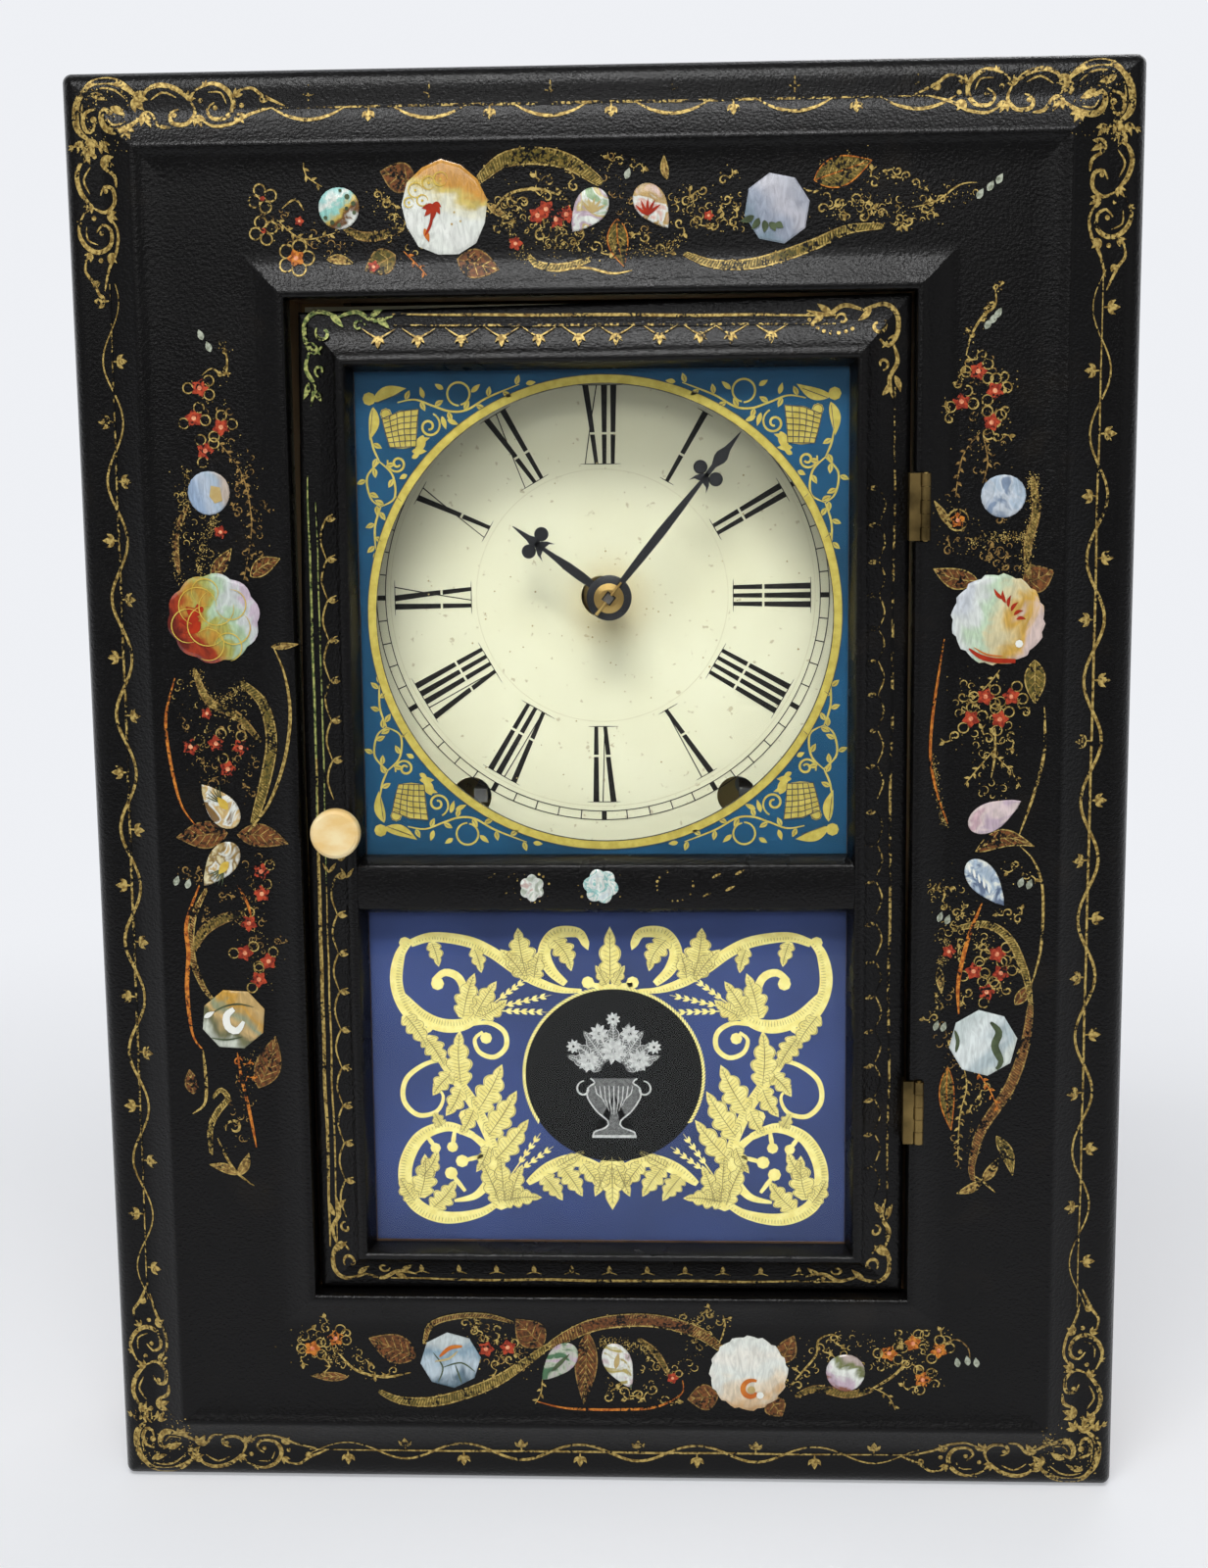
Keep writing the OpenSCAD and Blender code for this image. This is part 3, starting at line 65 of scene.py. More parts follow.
DOOR_LOW, DOOR_HIGH = (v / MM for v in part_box("door_frame"))
DOOR_X = DOOR_HIGH.x
DOOR_Z0 = DOOR_LOW.z
DOOR_Z1 = DOOR_HIGH.z
STILE = 18.1
GLASS_X = DOOR_X - STILE
LOWER_Z0 = 83.6
MID_Z0 = 191
MID_Z1 = 209
UPPER_Z1 = 357
GLASS_BACK = 6
GLASS_FACE = 8
DIAL_FACE = -15
DIAL = (-1.3, 287.4)
RING = (0.3, 283.0)
RING_R = 72.5
RING_WIDTH = 2.7


def place(x, z, h):
    return Vector((x * MM, (EDGE_Y - h) * MM, z * MM))


def smooth_profile(points):
    """Height that runs smoothly through the points and never past them"""
    xs = [p[0] for p in points]
    ys = [p[1] for p in points]
    slopes = [(b[1] - a[1]) / (b[0] - a[0]) for a, b in zip(points, points[1:])]
    inner = [0 if a * b <= 0 else 2 * a * b / (a + b) for a, b in zip(slopes, slopes[1:])]
    tangents = [slopes[0]] + inner + [slopes[-1]]

    def height(x):
        i = min(max(bisect_right(xs, x) - 1, 0), len(xs) - 2)
        w = xs[i + 1] - xs[i]
        t = min(max((x - xs[i]) / w, 0), 1)
        s = t * t * (3 - 2 * t)
        pull = tangents[i] * (t - 2 * t * t + t ** 3) + tangents[i + 1] * (t ** 3 - t * t)
        return ys[i] + (ys[i + 1] - ys[i]) * s + pull * w

    return height


FRONT_FACE = [
    (0, 0), (1.2, 2.2), (3.2, 3.8), (6, 4.6), (9, 4.8), (11.5, 5.1), (14, 6), (17, 7.7), (20, 9.6),
    (21.6, 10.7), (22.5, 11.1), (23.4, 10.9), (25.5, 10.1), (28.5, 9.6), (31, PANEL),
    (54, PANEL), (56.5, 9.7), (59, 10.6), (62, 12), (64.6, 13.4), (65.8, 13.8), (66.8, 13.6), (RAIL, 12.9),
]
DOOR_FACE = [
    (0, 8.2), (0.8, 9), (3, 9.4), (6, 10), (9, 11.2), (12, 13), (14, 14.6), (15.2, 15),
    (15.9, 14.6), (STILE, 8.5),
]
MID_FACE = [(0, 8.5), (1.2, 11.9), (2.6, 13.8), (9, 14.4), (15.4, 13.8), (16.8, 11.9), (18, 8.5)]
front_rise = smooth_profile(FRONT_FACE)
door_rise = smooth_profile(DOOR_FACE)
mid_rise = smooth_profile(MID_FACE)


def unevenness(x, z, size, seed):
    """Slow waves of a hand-made surface"""
    return noise.noise(Vector((x / size, z / size, seed)))


def front_wave(x, z, d):
    """Unevenness of the front, which fades out toward its outer edge"""
    return 0.12 * min(1, max(0, d) / 4) * unevenness(x, z, 26, 3)


def door_wave(x, z):
    return 0.1 * unevenness(x, z, 24, 9)


def front_at(x, z):
    d = min(FRONT_X - abs(x), z, FRONT_Z - z)
    return front_rise(d) + front_wave(x, z, d)


def door_inset(x, z):
    """Distance from the door's outer edge, on the scale of the stiles"""
    top = (DOOR_Z1 - z) * STILE / (DOOR_Z1 - UPPER_Z1)
    bottom = (z - DOOR_Z0) * STILE / (LOWER_Z0 - DOOR_Z0)
    return min(DOOR_X - abs(x), top, bottom)


def door_at(x, z):
    if abs(x) < GLASS_X and MID_Z0 < z < MID_Z1:
        return mid_rise(z - MID_Z0)
    return door_rise(min(door_inset(x, z), STILE)) + door_wave(x, z)


# Meshes

def new_piece(name, verts, faces, material):
    mesh = bpy.data.meshes.new(name)
    mesh.from_pydata(verts, [], faces)
    mesh.update()
    mesh.polygons.foreach_set("use_smooth", [True] * len(faces))
    piece = bpy.data.objects.new(name, mesh)
    bpy.context.scene.collection.objects.link(piece)
    mesh.materials.append(material)
    return piece


def finish_mesh(name, verts, faces, material, body, slot, angle=35):
    """Piece of the clock, smooth but for edges sharper than the angle"""
    piece = new_piece(name, verts, faces, material)
    piece.data.set_sharp_from_angle(angle=math.radians(angle))
    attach(piece, body)
    return piece


def tube(first, n, rows, closed=False):
    """Faces between rings of n points, of which the first ring starts at vertex first"""
    faces = []
    for j in range(rows if closed else rows - 1):
        a = first + j * n
        b = first + (j + 1) % rows * n
        faces += [(a + i, a + (i + 1) % n, b + (i + 1) % n, b + i) for i in range(n)]
    return faces


SIDE_STEP = 6


def spread(a, b, stops):
    """Places along one side, closer at the corners and at the stops"""
    anchors = [a, a + 3.2] + stops + [b - 3.2, b]
    inner = zip(anchors[1:-1], anchors[2:-1])
    counts = [4] + [max(1, round(abs(q - p) / SIDE_STEP)) for p, q in inner] + [4]
    places = []
    for p, q, n in zip(anchors, anchors[1:], counts):
        places += [p + (q - p) * i / n for i in range(n)]
    return places


def moulding(profile, outer, inner, width, stops, shape):
    """Verts and faces of a closed frame swept along four mitred sides.
    profile holds distances and heights; shape moves each point where the piece departs from the sweep"""
    rings = []
    for d, h in profile:
        x0, x1, z0, z1 = [a + (b - a) * d / width for a, b in zip(outer, inner)]
        across = spread(outer[0], outer[1], [])
        upright = spread(outer[2], outer[3], stops)
        across = [fit_side(x, outer[0], outer[1], x0, x1, []) for x in across]
        upright = [fit_side(z, outer[2], outer[3], z0, z1, stops) for z in upright]
        ring = [(x, z0) for x in across] + [(x1, z) for z in upright]
        ring += [(x0 + x1 - x, z1) for x in across] + [(x0, z) for z in fit_back(upright, z1)]
        rings.append([place(*shape(x, z, h, d)) for x, z in ring])
    verts = [v for ring in rings for v in ring]
    return verts, tube(0, len(rings[0]), len(rings), True)


def fit_side(p, a, b, a1, b1, stops):
    """Moves a place from the outer side to a shorter inner one and leaves the stops where they are"""
    first = min(stops) if stops else (a + b) / 2
    last = max(stops) if stops else (a + b) / 2
    if p < first:
        return a1 + (p - a) * (first - a1) / (first - a)
    if p > last:
        return b1 - (b - p) * (b1 - last) / (b - last)
    return p


def fit_back(upright, z1):
    """The same places from the top down"""
    return [z1] + list(reversed(upright[1:]))


# Materials

def new_material(name, colour, rough, metallic=0.0):
    material = bpy.data.materials.new(name)
    material.use_nodes = True
    shader = material.node_tree.nodes["Principled BSDF"]
    shader.inputs["Base Color"].default_value = (*colour, 1)
    shader.inputs["Roughness"].default_value = rough
    shader.inputs["Metallic"].default_value = metallic
    return material, material.node_tree, shader


def plug(tree, value, socket):
    """Links an output to a socket, or sets the socket to a number or a colour"""
    if isinstance(value, bpy.types.NodeSocket):
        tree.links.new(value, socket)
    else:
        socket.default_value = (*value, 1) if socket.type == "RGBA" else value


def add_math(tree, kind, operation, *values):
    node = tree.nodes.new("ShaderNode" + kind)
    node.operation = operation
    for socket, value in zip(node.inputs, values):
        plug(tree, value, socket)
    return node.outputs["Value"]


def mix_shaders(tree, share, first, second):
    """Sends the first shader, and a share of the second in its place, to the surface"""
    mix = tree.nodes.new("ShaderNodeMixShader")
    for socket, value in zip(mix.inputs, (share, first.outputs[0], second.outputs[0])):
        plug(tree, value, socket)
    tree.links.new(mix.outputs[0], tree.nodes["Material Output"].inputs["Surface"])


def object_coordinates(tree, stretch=(1, 1, 1)):
    source = tree.nodes.new("ShaderNodeTexCoord")
    mapping = tree.nodes.new("ShaderNodeMapping")
    mapping.inputs["Scale"].default_value = stretch
    tree.links.new(source.outputs["Object"], mapping.inputs["Vector"])
    return mapping.outputs["Vector"]


def add_noise(tree, scale, detail, stretch=(1, 1, 1), distortion=0.0):
    node = tree.nodes.new("ShaderNodeTexNoise")
    node.inputs["Scale"].default_value = scale
    node.inputs["Detail"].default_value = detail
    node.inputs["Distortion"].default_value = distortion
    tree.links.new(object_coordinates(tree, stretch), node.inputs["Vector"])
    return node.outputs["Fac"]


def add_ramp(tree, value, stops, smooth=False):
    node = tree.nodes.new("ShaderNodeValToRGB")
    ramp = node.color_ramp
    ramp.interpolation = "EASE" if smooth else "LINEAR"
    while len(ramp.elements) < len(stops):
        ramp.elements.new(0.5)
    for element, (at, colour) in zip(ramp.elements, stops):
        element.position = at
        element.color = (*colour, 1)
    tree.links.new(value, node.inputs["Fac"])
    return node.outputs["Color"]


def add_mix(tree, amount, a, b, kind="MIX"):
    node = tree.nodes.new("ShaderNodeMix")
    node.data_type = "RGBA"
    node.blend_type = kind
    for socket, value in ((node.inputs[0], amount), (node.inputs[6], a), (node.inputs[7], b)):
        plug(tree, value, socket)
    return node.outputs[2]


def add_bump(tree, shader, height, distance, strength):
    node = tree.nodes.new("ShaderNodeBump")
    node.inputs["Distance"].default_value = distance
    node.inputs["Strength"].default_value = strength
    tree.links.new(height, node.inputs["Height"])
    tree.links.new(node.outputs["Normal"], shader.inputs["Normal"])


def grey(level):
    return (level, level, level)


BLACK = (0.0024, 0.0021, 0.0021)


def japanned(name, fibres):
    """Black japanned surface with a fine leathery stipple"""
    material, tree, shader = new_material(name, BLACK, 0.28)
    shader.inputs["Specular IOR Level"].default_value = 0.2
    specks = add_noise(tree, 1000, 2)
    creases = add_noise(tree, 420, 3, fibres)
    both = add_mix(tree, 0.25, specks, creases)
    add_bump(tree, shader, both, 0.00035, 0.8)
    wear = add_noise(tree, 45, 6)
    tone = add_ramp(tree, wear, [(0.3, (0.002, 0.0018, 0.0018)), (0.62, BLACK), (0.8, (0.008, 0.006, 0.004))])
    tree.links.new(tone, shader.inputs["Base Color"])
    gloss = add_ramp(tree, add_noise(tree, 60, 4), [(0.3, grey(0.2)), (0.7, grey(0.3))])
    tree.links.new(gloss, shader.inputs["Roughness"])
    return material


def paint_material(name, colour, dark, wear, metallic=0.0):
    """Paint rubbed through to the ground in specks: more of it has gone the higher wear is"""
    material, tree, shader = new_material(name, colour, 0.45, metallic)
    shader.inputs["Specular IOR Level"].default_value = 0.2
    cloud = add_ramp(tree, add_noise(tree, 900, 2), [(0.38, grey(0)), (0.6, grey(1))])
    tone = add_mix(tree, cloud, dark, colour)
    rubbed = add_mix(tree, 0.5, add_noise(tree, 1100, 2), add_noise(tree, 170, 3))
    worn = add_ramp(tree, rubbed, [(wear + 0.01, grey(1)), (wear + 0.06, grey(0))])
    tree.links.new(add_mix(tree, worn, tone, BLACK), shader.inputs["Base Color"])
    return material


def flat_paint(name, colour, dark, rough, scale=500):
    """Matt paint in clouds of two tones"""
    material, tree, shader = new_material(name, colour, rough)
    shader.inputs["Specular IOR Level"].default_value = 0.15
    cloud = add_ramp(tree, add_noise(tree, scale, 4), [(0.35, grey(0)), (0.65, grey(1))])
    tree.links.new(add_mix(tree, cloud, dark, colour), shader.inputs["Base Color"])
    return material


def wood(name, light, dark, grain=2):
    """Wood whose grain runs along the x (0), y (1) or z (2) axis"""
    material, tree, shader = new_material(name, light, 0.62)
    rings = add_noise(tree, 9, 6, [0.35 if axis == grain else 7 for axis in range(3)], 0.6)
    fine = add_noise(tree, 180, 4, [0.06 if axis == grain else 1 for axis in range(3)])
    tone = add_ramp(tree, rings, [(0.34, dark), (0.52, light), (0.66, dark)], True)
    tone = add_mix(tree, 0.35, tone, add_ramp(tree, fine, [(0.3, dark), (0.7, light)]))
    tree.links.new(tone, shader.inputs["Base Color"])
    add_bump(tree, shader, fine, 0.0003, 0.6)
    return material


def metal(name, colour, tarnish, rough):
    material, tree, shader = new_material(name, colour, rough, 1.0)
    tone = add_ramp(tree, add_noise(tree, 70, 6), [(0.35, tarnish), (0.6, colour)])
    tree.links.new(tone, shader.inputs["Base Color"])
    gloss = add_ramp(tree, add_noise(tree, 160, 4), [(0.3, grey(rough - 0.08)), (0.7, grey(rough + 0.12))])
    tree.links.new(gloss, shader.inputs["Roughness"])
    add_bump(tree, shader, add_noise(tree, 1400, 2), 0.00004, 0.5)
    return material


STIR = 0.8


def sweep_across(tree, noise_value, middle, radius, angle):
    """Runs from 0 to 1 across a round piece, stirred by the noise"""
    a = math.radians(angle)
    reach = 2 * radius * MM
    along = (math.cos(a) / reach, 0, math.sin(a) / reach)
    across = add_math(tree, "VectorMath", "DOT_PRODUCT", object_coordinates(tree), along)
    start = (middle[0] * math.cos(a) + middle[1] * math.sin(a)) * MM / reach
    centred = add_math(tree, "Math", "ADD", across, 0.5 - start - STIR / 2)
    return add_math(tree, "Math", "MULTIPLY_ADD", noise_value, STIR, centred)


def pearl(name, colours, scale, sweep=None):
    """Mother of pearl: soft bands of colour with a clear gloss.
    sweep holds a middle, a radius and an angle along which the colours follow each other"""
    material, tree, shader = new_material(name, colours[0], 0.16)
    shader.inputs["Coat Weight"].default_value = 0.25
    bands = add_noise(tree, scale, 3, (1, 1, 1), 1.2)
    n = len(colours)
    stops = [(0.38 + 0.25 * i / (n - 1), c) for i, c in enumerate(colours)]
    if sweep:
        stops = [(0.08 + 0.84 * i / (n - 1), c) for i, c in enumerate(colours)]
        bands = sweep_across(tree, bands, *sweep)
    tone = add_ramp(tree, bands, stops, True)
    silk = add_noise(tree, 420, 3, (1, 1, 0.3), 2.0)
    light = add_ramp(tree, silk, [(0.35, grey(0.72)), (0.65, grey(1.0))])
    tree.links.new(add_mix(tree, 1.0, tone, light, "MULTIPLY"), shader.inputs["Base Color"])
    add_bump(tree, shader, silk, 0.0002, 0.4)
    return material


japan = japanned("japanned_front", (1, 1, 9))
japan_door = japanned("japanned_door", (1, 1, 9))
GOLD = (0.55, 0.4, 0.125)
GOLD_DARK = (0.2, 0.125, 0.03)
gold = paint_material("gold_paint", GOLD, GOLD_DARK, 0.4, 0.25)
gold_worn = paint_material("gold_worn", GOLD, GOLD_DARK, 0.49, 0.25)
gold_green = paint_material("gold_green", (0.42, 0.44, 0.14), (0.1, 0.14, 0.04), 0.42, 0.2)
gold_dim = paint_material("gold_dim", (0.36, 0.22, 0.065), (0.14, 0.08, 0.025), 0.42, 0.2)
red = paint_material("red_paint", (0.46, 0.06, 0.022), (0.2, 0.02, 0.01), 0.4)
pink = paint_material("flower_eyes", (0.8, 0.38, 0.2), (0.6, 0.16, 0.08), 0.3)
rust = paint_material("leaf_rust", (0.2, 0.07, 0.02), (0.07, 0.03, 0.01), 0.4)
olive = paint_material("leaf_olive", (0.19, 0.13, 0.025), (0.06, 0.055, 0.012), 0.41)
amber = paint_material("flower_amber", (0.62, 0.22, 0.03), (0.3, 0.07, 0.01), 0.4)
pearl_drop = paint_material("pearl_drops", (0.42, 0.45, 0.36), (0.2, 0.22, 0.16), 0.3)


# The moulded front

def steps(*spans):
    """Distances from spans of start, end and step"""
    out = []
    for a, b, s in spans:
        n = max(1, round((b - a) / s))
        out += [a + (b - a) * i / n for i in range(n)]
    return out + [spans[-1][1]]


FRONT_UNDER = [
    (RAIL, 4), (63.3, 4), (63.3, 8.2), (56.5, 5.4), (24.6, 5.4), (18.6, 3.5), (14.6, 1), (5, 1),
    (3.5, -1.5), (3.5, -LIP), (0, -LIP),
]
NOTCH_IN = FRONT_X - 98.7


def front_shape(x, z, h, d):
    on_face = h > 0 and h >= front_rise(d) - 0.01
    if on_face:
        h += front_wave(x, z, d)
    cx = FRONT_X - CORNER_R
    near = Vector((max(0, abs(x) - cx), max(0, CORNER_R - z, z - FRONT_Z + CORNER_R)))
    if near.x > 0 and near.y > 0:
        fair = near * (max(near.x, near.y) / near.length)
        x = math.copysign(cx + fair.x, x)
        z = CORNER_R - fair.y if z < CORNER_R else FRONT_Z - CORNER_R + fair.y
    hinge = any(abs(z - c) < HINGE_HALF for c in HINGES)
    if x > 0 and hinge and d >= NOTCH_IN - 0.001 and h > NOTCH_FLOOR:
        h = NOTCH_FLOOR
    return x, z, h


def make_front():
    samples = steps((0, 1.2, 0.3), (1.2, 28, 0.6), (28, 53, 3.2), (53, NOTCH_IN - 0.02, 0.6),
        (NOTCH_IN, RAIL, 0.4))
    stops = sorted(c + s * (HINGE_HALF + o) for c in HINGES for s in (-1, 1) for o in (-0.01, 0.01))
    verts, faces = moulding(
        [(d, front_rise(d)) for d in samples] + FRONT_UNDER,
        (-FRONT_X, FRONT_X, 0, FRONT_Z), (-OPEN_X, OPEN_X, OPEN_Z0, OPEN_Z1), RAIL, stops, front_shape)
    front = finish_mesh("front_moulding", verts, faces, japan, "case", "japanned_paper")
    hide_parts("front_shell")


# The door

DOOR_UNDER = [(STILE, GLASS_FACE), (14.6, GLASS_FACE), (14.6, 2), (0.05, 2)]
DROP = 3.2
LEAN = 2.2
LEAN_FROM = 265.7
MID_END = 77.5
MID_STEPS = 24


def door_shape(x, z, h, d):
    if h > GLASS_FACE + 0.4:
        h += door_wave(x, z)
    upper = min(1, max(0, (z - UPPER_Z1) / (DOOR_Z1 - UPPER_Z1)))
    side = min(1, max(0, (-x - GLASS_X) / STILE))
    z -= DROP * upper * (DOOR_X - x) / (2 * DOOR_X)
    x += LEAN * side * max(0, (z - LEAN_FROM) / (DOOR_Z1 - LEAN_FROM))
    return x, z, h


def make_door():
    samples = steps((0.05, 0.8, 0.25), (0.8, 12, 0.8), (12, STILE, 0.4))
    verts, faces = moulding(
        [(d, door_rise(d)) for d in samples] + DOOR_UNDER,
        (-DOOR_X, DOOR_X, DOOR_Z0, DOOR_Z1), (-GLASS_X, GLASS_X, LOWER_Z0, UPPER_Z1), STILE, [], door_shape)
    # The middle rail
    section = [(MID_Z0 + t, mid_rise(t)) for t in steps((0, 4, 0.4), (4, 14, 1), (14, 18, 0.4))]
    section += [(MID_Z1, 2), (MID_Z0, 2)]
    first = len(verts)
    count = len(section)
    places = [-MID_END + 2 * MID_END * i / MID_STEPS for i in range(MID_STEPS + 1)]
    for x in places:
        verts += [place(x, z, h + (0.15 * unevenness(x, z, 20, 5) if h > 9 else 0)) for z, h in section]
    faces += tube(first, count, len(places))
    faces.append(tuple(first + j for j in reversed(range(count))))
    last = first + MID_STEPS * count
    faces.append(tuple(last + j for j in range(count)))
    door = finish_mesh("door_moulding", verts, faces, japan_door, "door", "door_lacquer")
    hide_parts("door_frame")


make_front()
make_door()


# Painted shapes

def curve(points, step=1.0):
    """Smooth line through the points, in short steps"""
    ends = [points[0]] + list(points) + [points[-1]]
    out = []
    for a, b, c, d in zip(ends, ends[1:], ends[2:], ends[3:]):
        n = max(2, int(math.dist(b, c) / step))
        for i in range(n):
            t = i / n
            weights = (-t + 2 * t * t - t ** 3, 2 - 5 * t * t + 3 * t ** 3,
                t + 4 * t * t - 3 * t ** 3, t ** 3 - t * t)
            out.append(tuple(sum(w * p[k] for w, p in zip(weights, (a, b, c, d))) / 2 for k in (0, 1)))
    return out + [tuple(points[-1])]


def midpoint(a, b):
    return ((a[0] + b[0]) / 2, (a[1] + b[1]) / 2)


def toward(a, b, share):
    """Place at a share of the way from a to b, or past b"""
    return (a[0] + (b[0] - a[0]) * share, a[1] + (b[1] - a[1]) * share)


def angle_of(a, b):
    """Degrees of the way from a to b"""
    return math.degrees(math.atan2(b[1] - a[1], b[0] - a[0]))


def heading(line, i):
    """Unit direction of a line at its point i"""
    return Vector((line[i + 1][0] - line[i - 1][0], line[i + 1][1] - line[i - 1][1])).normalized()


def circle(c, r, n, closed=False):
    """Points round a circle in n steps; a closed one comes back to its first point"""
    angles = [2 * math.pi * i / n for i in range(n + 1 if closed else n)]
    return [(c[0] + r * math.cos(a), c[1] + r * math.sin(a)) for a in angles]


WHORL_STEP = 14


def whorl(c, r0, r1, a0, a1):
    """Spiral line from radius r0 at angle a0 to r1 at a1, in degrees"""
    n = max(3, int(abs(a1 - a0) / WHORL_STEP))
    out = []
    for i in range(n + 1):
        t = i / n
        a = math.radians(a0 + (a1 - a0) * t)
        r = r0 * (r1 / r0) ** t
        out.append((c[0] + r * math.cos(a), c[1] + r * math.sin(a)))
    return out


def frame_at(origin, turn, flip=1, size=1):
    """Turns a point of a drawing into a point of the front view"""
    c = math.cos(math.radians(turn))
    s = math.sin(math.radians(turn))

    def move(p):
        u = p[0] * size
        v = p[1] * size * flip
        return (origin[0] + u * c - v * s, origin[1] + u * s + v * c)

    return move


def mirrored(origin, su, sv):
    """Like frame_at, for a drawing measured from a corner along x and z, in the directions su and sv"""
    return lambda p: (origin[0] + su * p[0], origin[1] + sv * p[1])


def blade(base, tip):
    """Gives the place at a share of the way from base to tip and a distance to the side"""
    d = Vector((tip[0] - base[0], tip[1] - base[1]))
    side = Vector((-d.y, d.x)).normalized()
    return lambda t, off: (base[0] + d.x * t + side.x * off, base[1] + d.y * t + side.y * off)


def taper(share, t):
    """Width near an end of a ribbon, at t of its length: from a share to the whole"""
    return share + (1 - share) * math.sin(min(1, t / 0.4) * math.pi / 2)


LAYER = 0.0016
LAYERS = 16
LEAF_STEPS = 12


class Paint:
    """Thin shapes of one colour that lie on a surface"""

    def __init__(self, name, material, body, slot, surface, lift):
        self.name = name
        self.material = material
        self.body = body
        self.slot = slot
        self.surface = surface
        self.lift = lift
        self.verts = []
        self.faces = []
        self.shapes = 0

    def next_shape(self):
        """Puts each shape a hair above the last, so that no two share a plane"""
        self.shapes += 1

    def point(self, p):
        up = LAYER * (self.shapes % LAYERS)
        self.verts.append(place(p[0], p[1], self.surface(*p) + self.lift + up))
        return len(self.verts) - 1

    def stroke(self, points, width, start=0.25, end=0.25, move=None):
        """Ribbon along a line, narrowed to a share of its width at either end"""
        if move:
            points = [move(p) for p in points]
        self.next_shape()
        n = len(points) - 1
        before = None
        for i, p in enumerate(points):
            q = points[min(i + 1, n)]
            o = points[max(i - 1, 0)]
            along = Vector((q[0] - o[0], q[1] - o[1]))
            if along.length < 1e-6:
                continue
            along.normalize()
            t = i / n
            swell = min(1, taper(start, t), taper(end, 1 - t))
            half = width * swell / 2
            a = self.point((p[0] + along.y * half, p[1] - along.x * half))
            b = self.point((p[0] - along.y * half, p[1] + along.x * half))
            if before:
                self.faces.append((before[0], a, b, before[1]))
            before = (a, b)

    def flow(self, points, *rest):
        """Ribbon along a smooth line through the points"""
        self.stroke(curve(points), *rest)

    def straight(self, a, b, *rest):
        """Ribbon from a to b"""
        self.stroke([a, midpoint(a, b), b], *rest)

    def patch(self, outline, centre=None, move=None):
        """Filled shape whose whole edge its centre sees"""
        if move:
            outline = [move(p) for p in outline]
            centre = move(centre) if centre else None
        n = len(outline)
        if centre is None:
            centre = (sum(p[0] for p in outline) / n, sum(p[1] for p in outline) / n)
        self.next_shape()
        c = self.point(centre)
        mid = [self.point(midpoint(p, centre)) for p in outline]
        rim = [self.point(p) for p in outline]
        turn = sum((outline[i][0] - centre[0]) * (outline[(i + 1) % n][1] - centre[1])
            - (outline[i][1] - centre[1]) * (outline[(i + 1) % n][0] - centre[0]) for i in range(n))
        for i in range(n):
            k = (i + 1) % n
            inner = (c, mid[i], mid[k])
            outer = (mid[i], rim[i], rim[k], mid[k])
            self.faces += [inner, outer] if turn > 0 else [inner[::-1], outer[::-1]]

    def dot(self, p, r, move=None):
        self.patch(circle(p, r, 8), p, move)

    def leaf(self, base, tip, width, bend=0.0, move=None):
        """Pointed leaf"""
        if move:
            base = move(base)
            tip = move(tip)
        at = blade(base, tip)
        ends = []
        for s in (1, -1):
            for i in range(LEAF_STEPS + 1):
                t = i / LEAF_STEPS
                if s < 0:
                    t = 1 - t
                half = math.sin(math.pi * t ** 0.8) * width / 2
                ends.append(at(t, s * half + bend * math.sin(math.pi * t)))
        self.patch(ends, at(0.45, bend))

    def build(self):
        finish_mesh(self.name, self.verts, self.faces, self.material, self.body, self.slot)


def front_paint(name, material, lift=0.1):
    return Paint(name, material, "case", "japanned_paper", front_at, lift)


def door_paint(name, material):
    return Paint(name, material, "door", "door_lacquer", door_at, 0.1)


# Gilt border of the outer band

def tuft(paint, p, angle, size, move):
    """Fan of three leaves"""
    for turn, reach in ((-34, 0.8), (0, 1.0), (34, 0.8)):
        tip = frame_at(p, angle + turn)((size * reach, 0))
        paint.leaf(p, tip, size * 0.34, 0, move)


def scroll_run(paint, move):
    """Open scrolls with leaf tufts, drawn along one arm of the corner"""
    for points, width in (
            ([(25.4, 8.4), (26.4, 5.8), (30.4, 4.2), (35.6, 5.6), (39.6, 9)], 1.5),
            ([(39.6, 9), (41, 12.6), (38.6, 16), (34.4, 15.6), (33.6, 12.6), (36, 11.4)], 1.3),
            ([(27.6, 8.6), (31.4, 6.4), (35.4, 8)], 0.6),
            ([(28.4, 13.4), (30.6, 16.4), (34, 17)], 1.1),
            ([(41, 6), (46, 4), (50.6, 6), (52.6, 10), (50.6, 14), (46.4, 14.4), (44.6, 11.6),
            (46.8, 9.6)], 1.4),
            ([(45, 6.6), (48.8, 6.8), (50.4, 10)], 0.5),
            ([(42.6, 14.4), (47, 16.8), (52.6, 16), (57.6, 13.2), (64, 11.4)], 1.0),
            ([(54, 6.4), (58, 5.6), (61.6, 8), (68, 11)], 0.9)):
        paint.flow(points, width, 0.3, 0.3, move)
    for p, angle, size in (((22.6, 7), 20, 4.6), ((25.4, 12), 60, 5.6), ((38.4, 8.6), -40, 3.6),
            ((41.4, 13.4), 60, 4.2), ((53.4, 13), 50, 4.0), ((53, 8), -50, 3.2), ((60.6, 9.6), -40, 2.8),
            ((44, 5), -80, 2.2)):
        tuft(paint, p, angle, size, move)
    for p in ((24.6, 10), (34.8, 13.2), (47, 11.2), (42.6, 9), (55, 10.6)):
        paint.dot(p, 0.75, move)


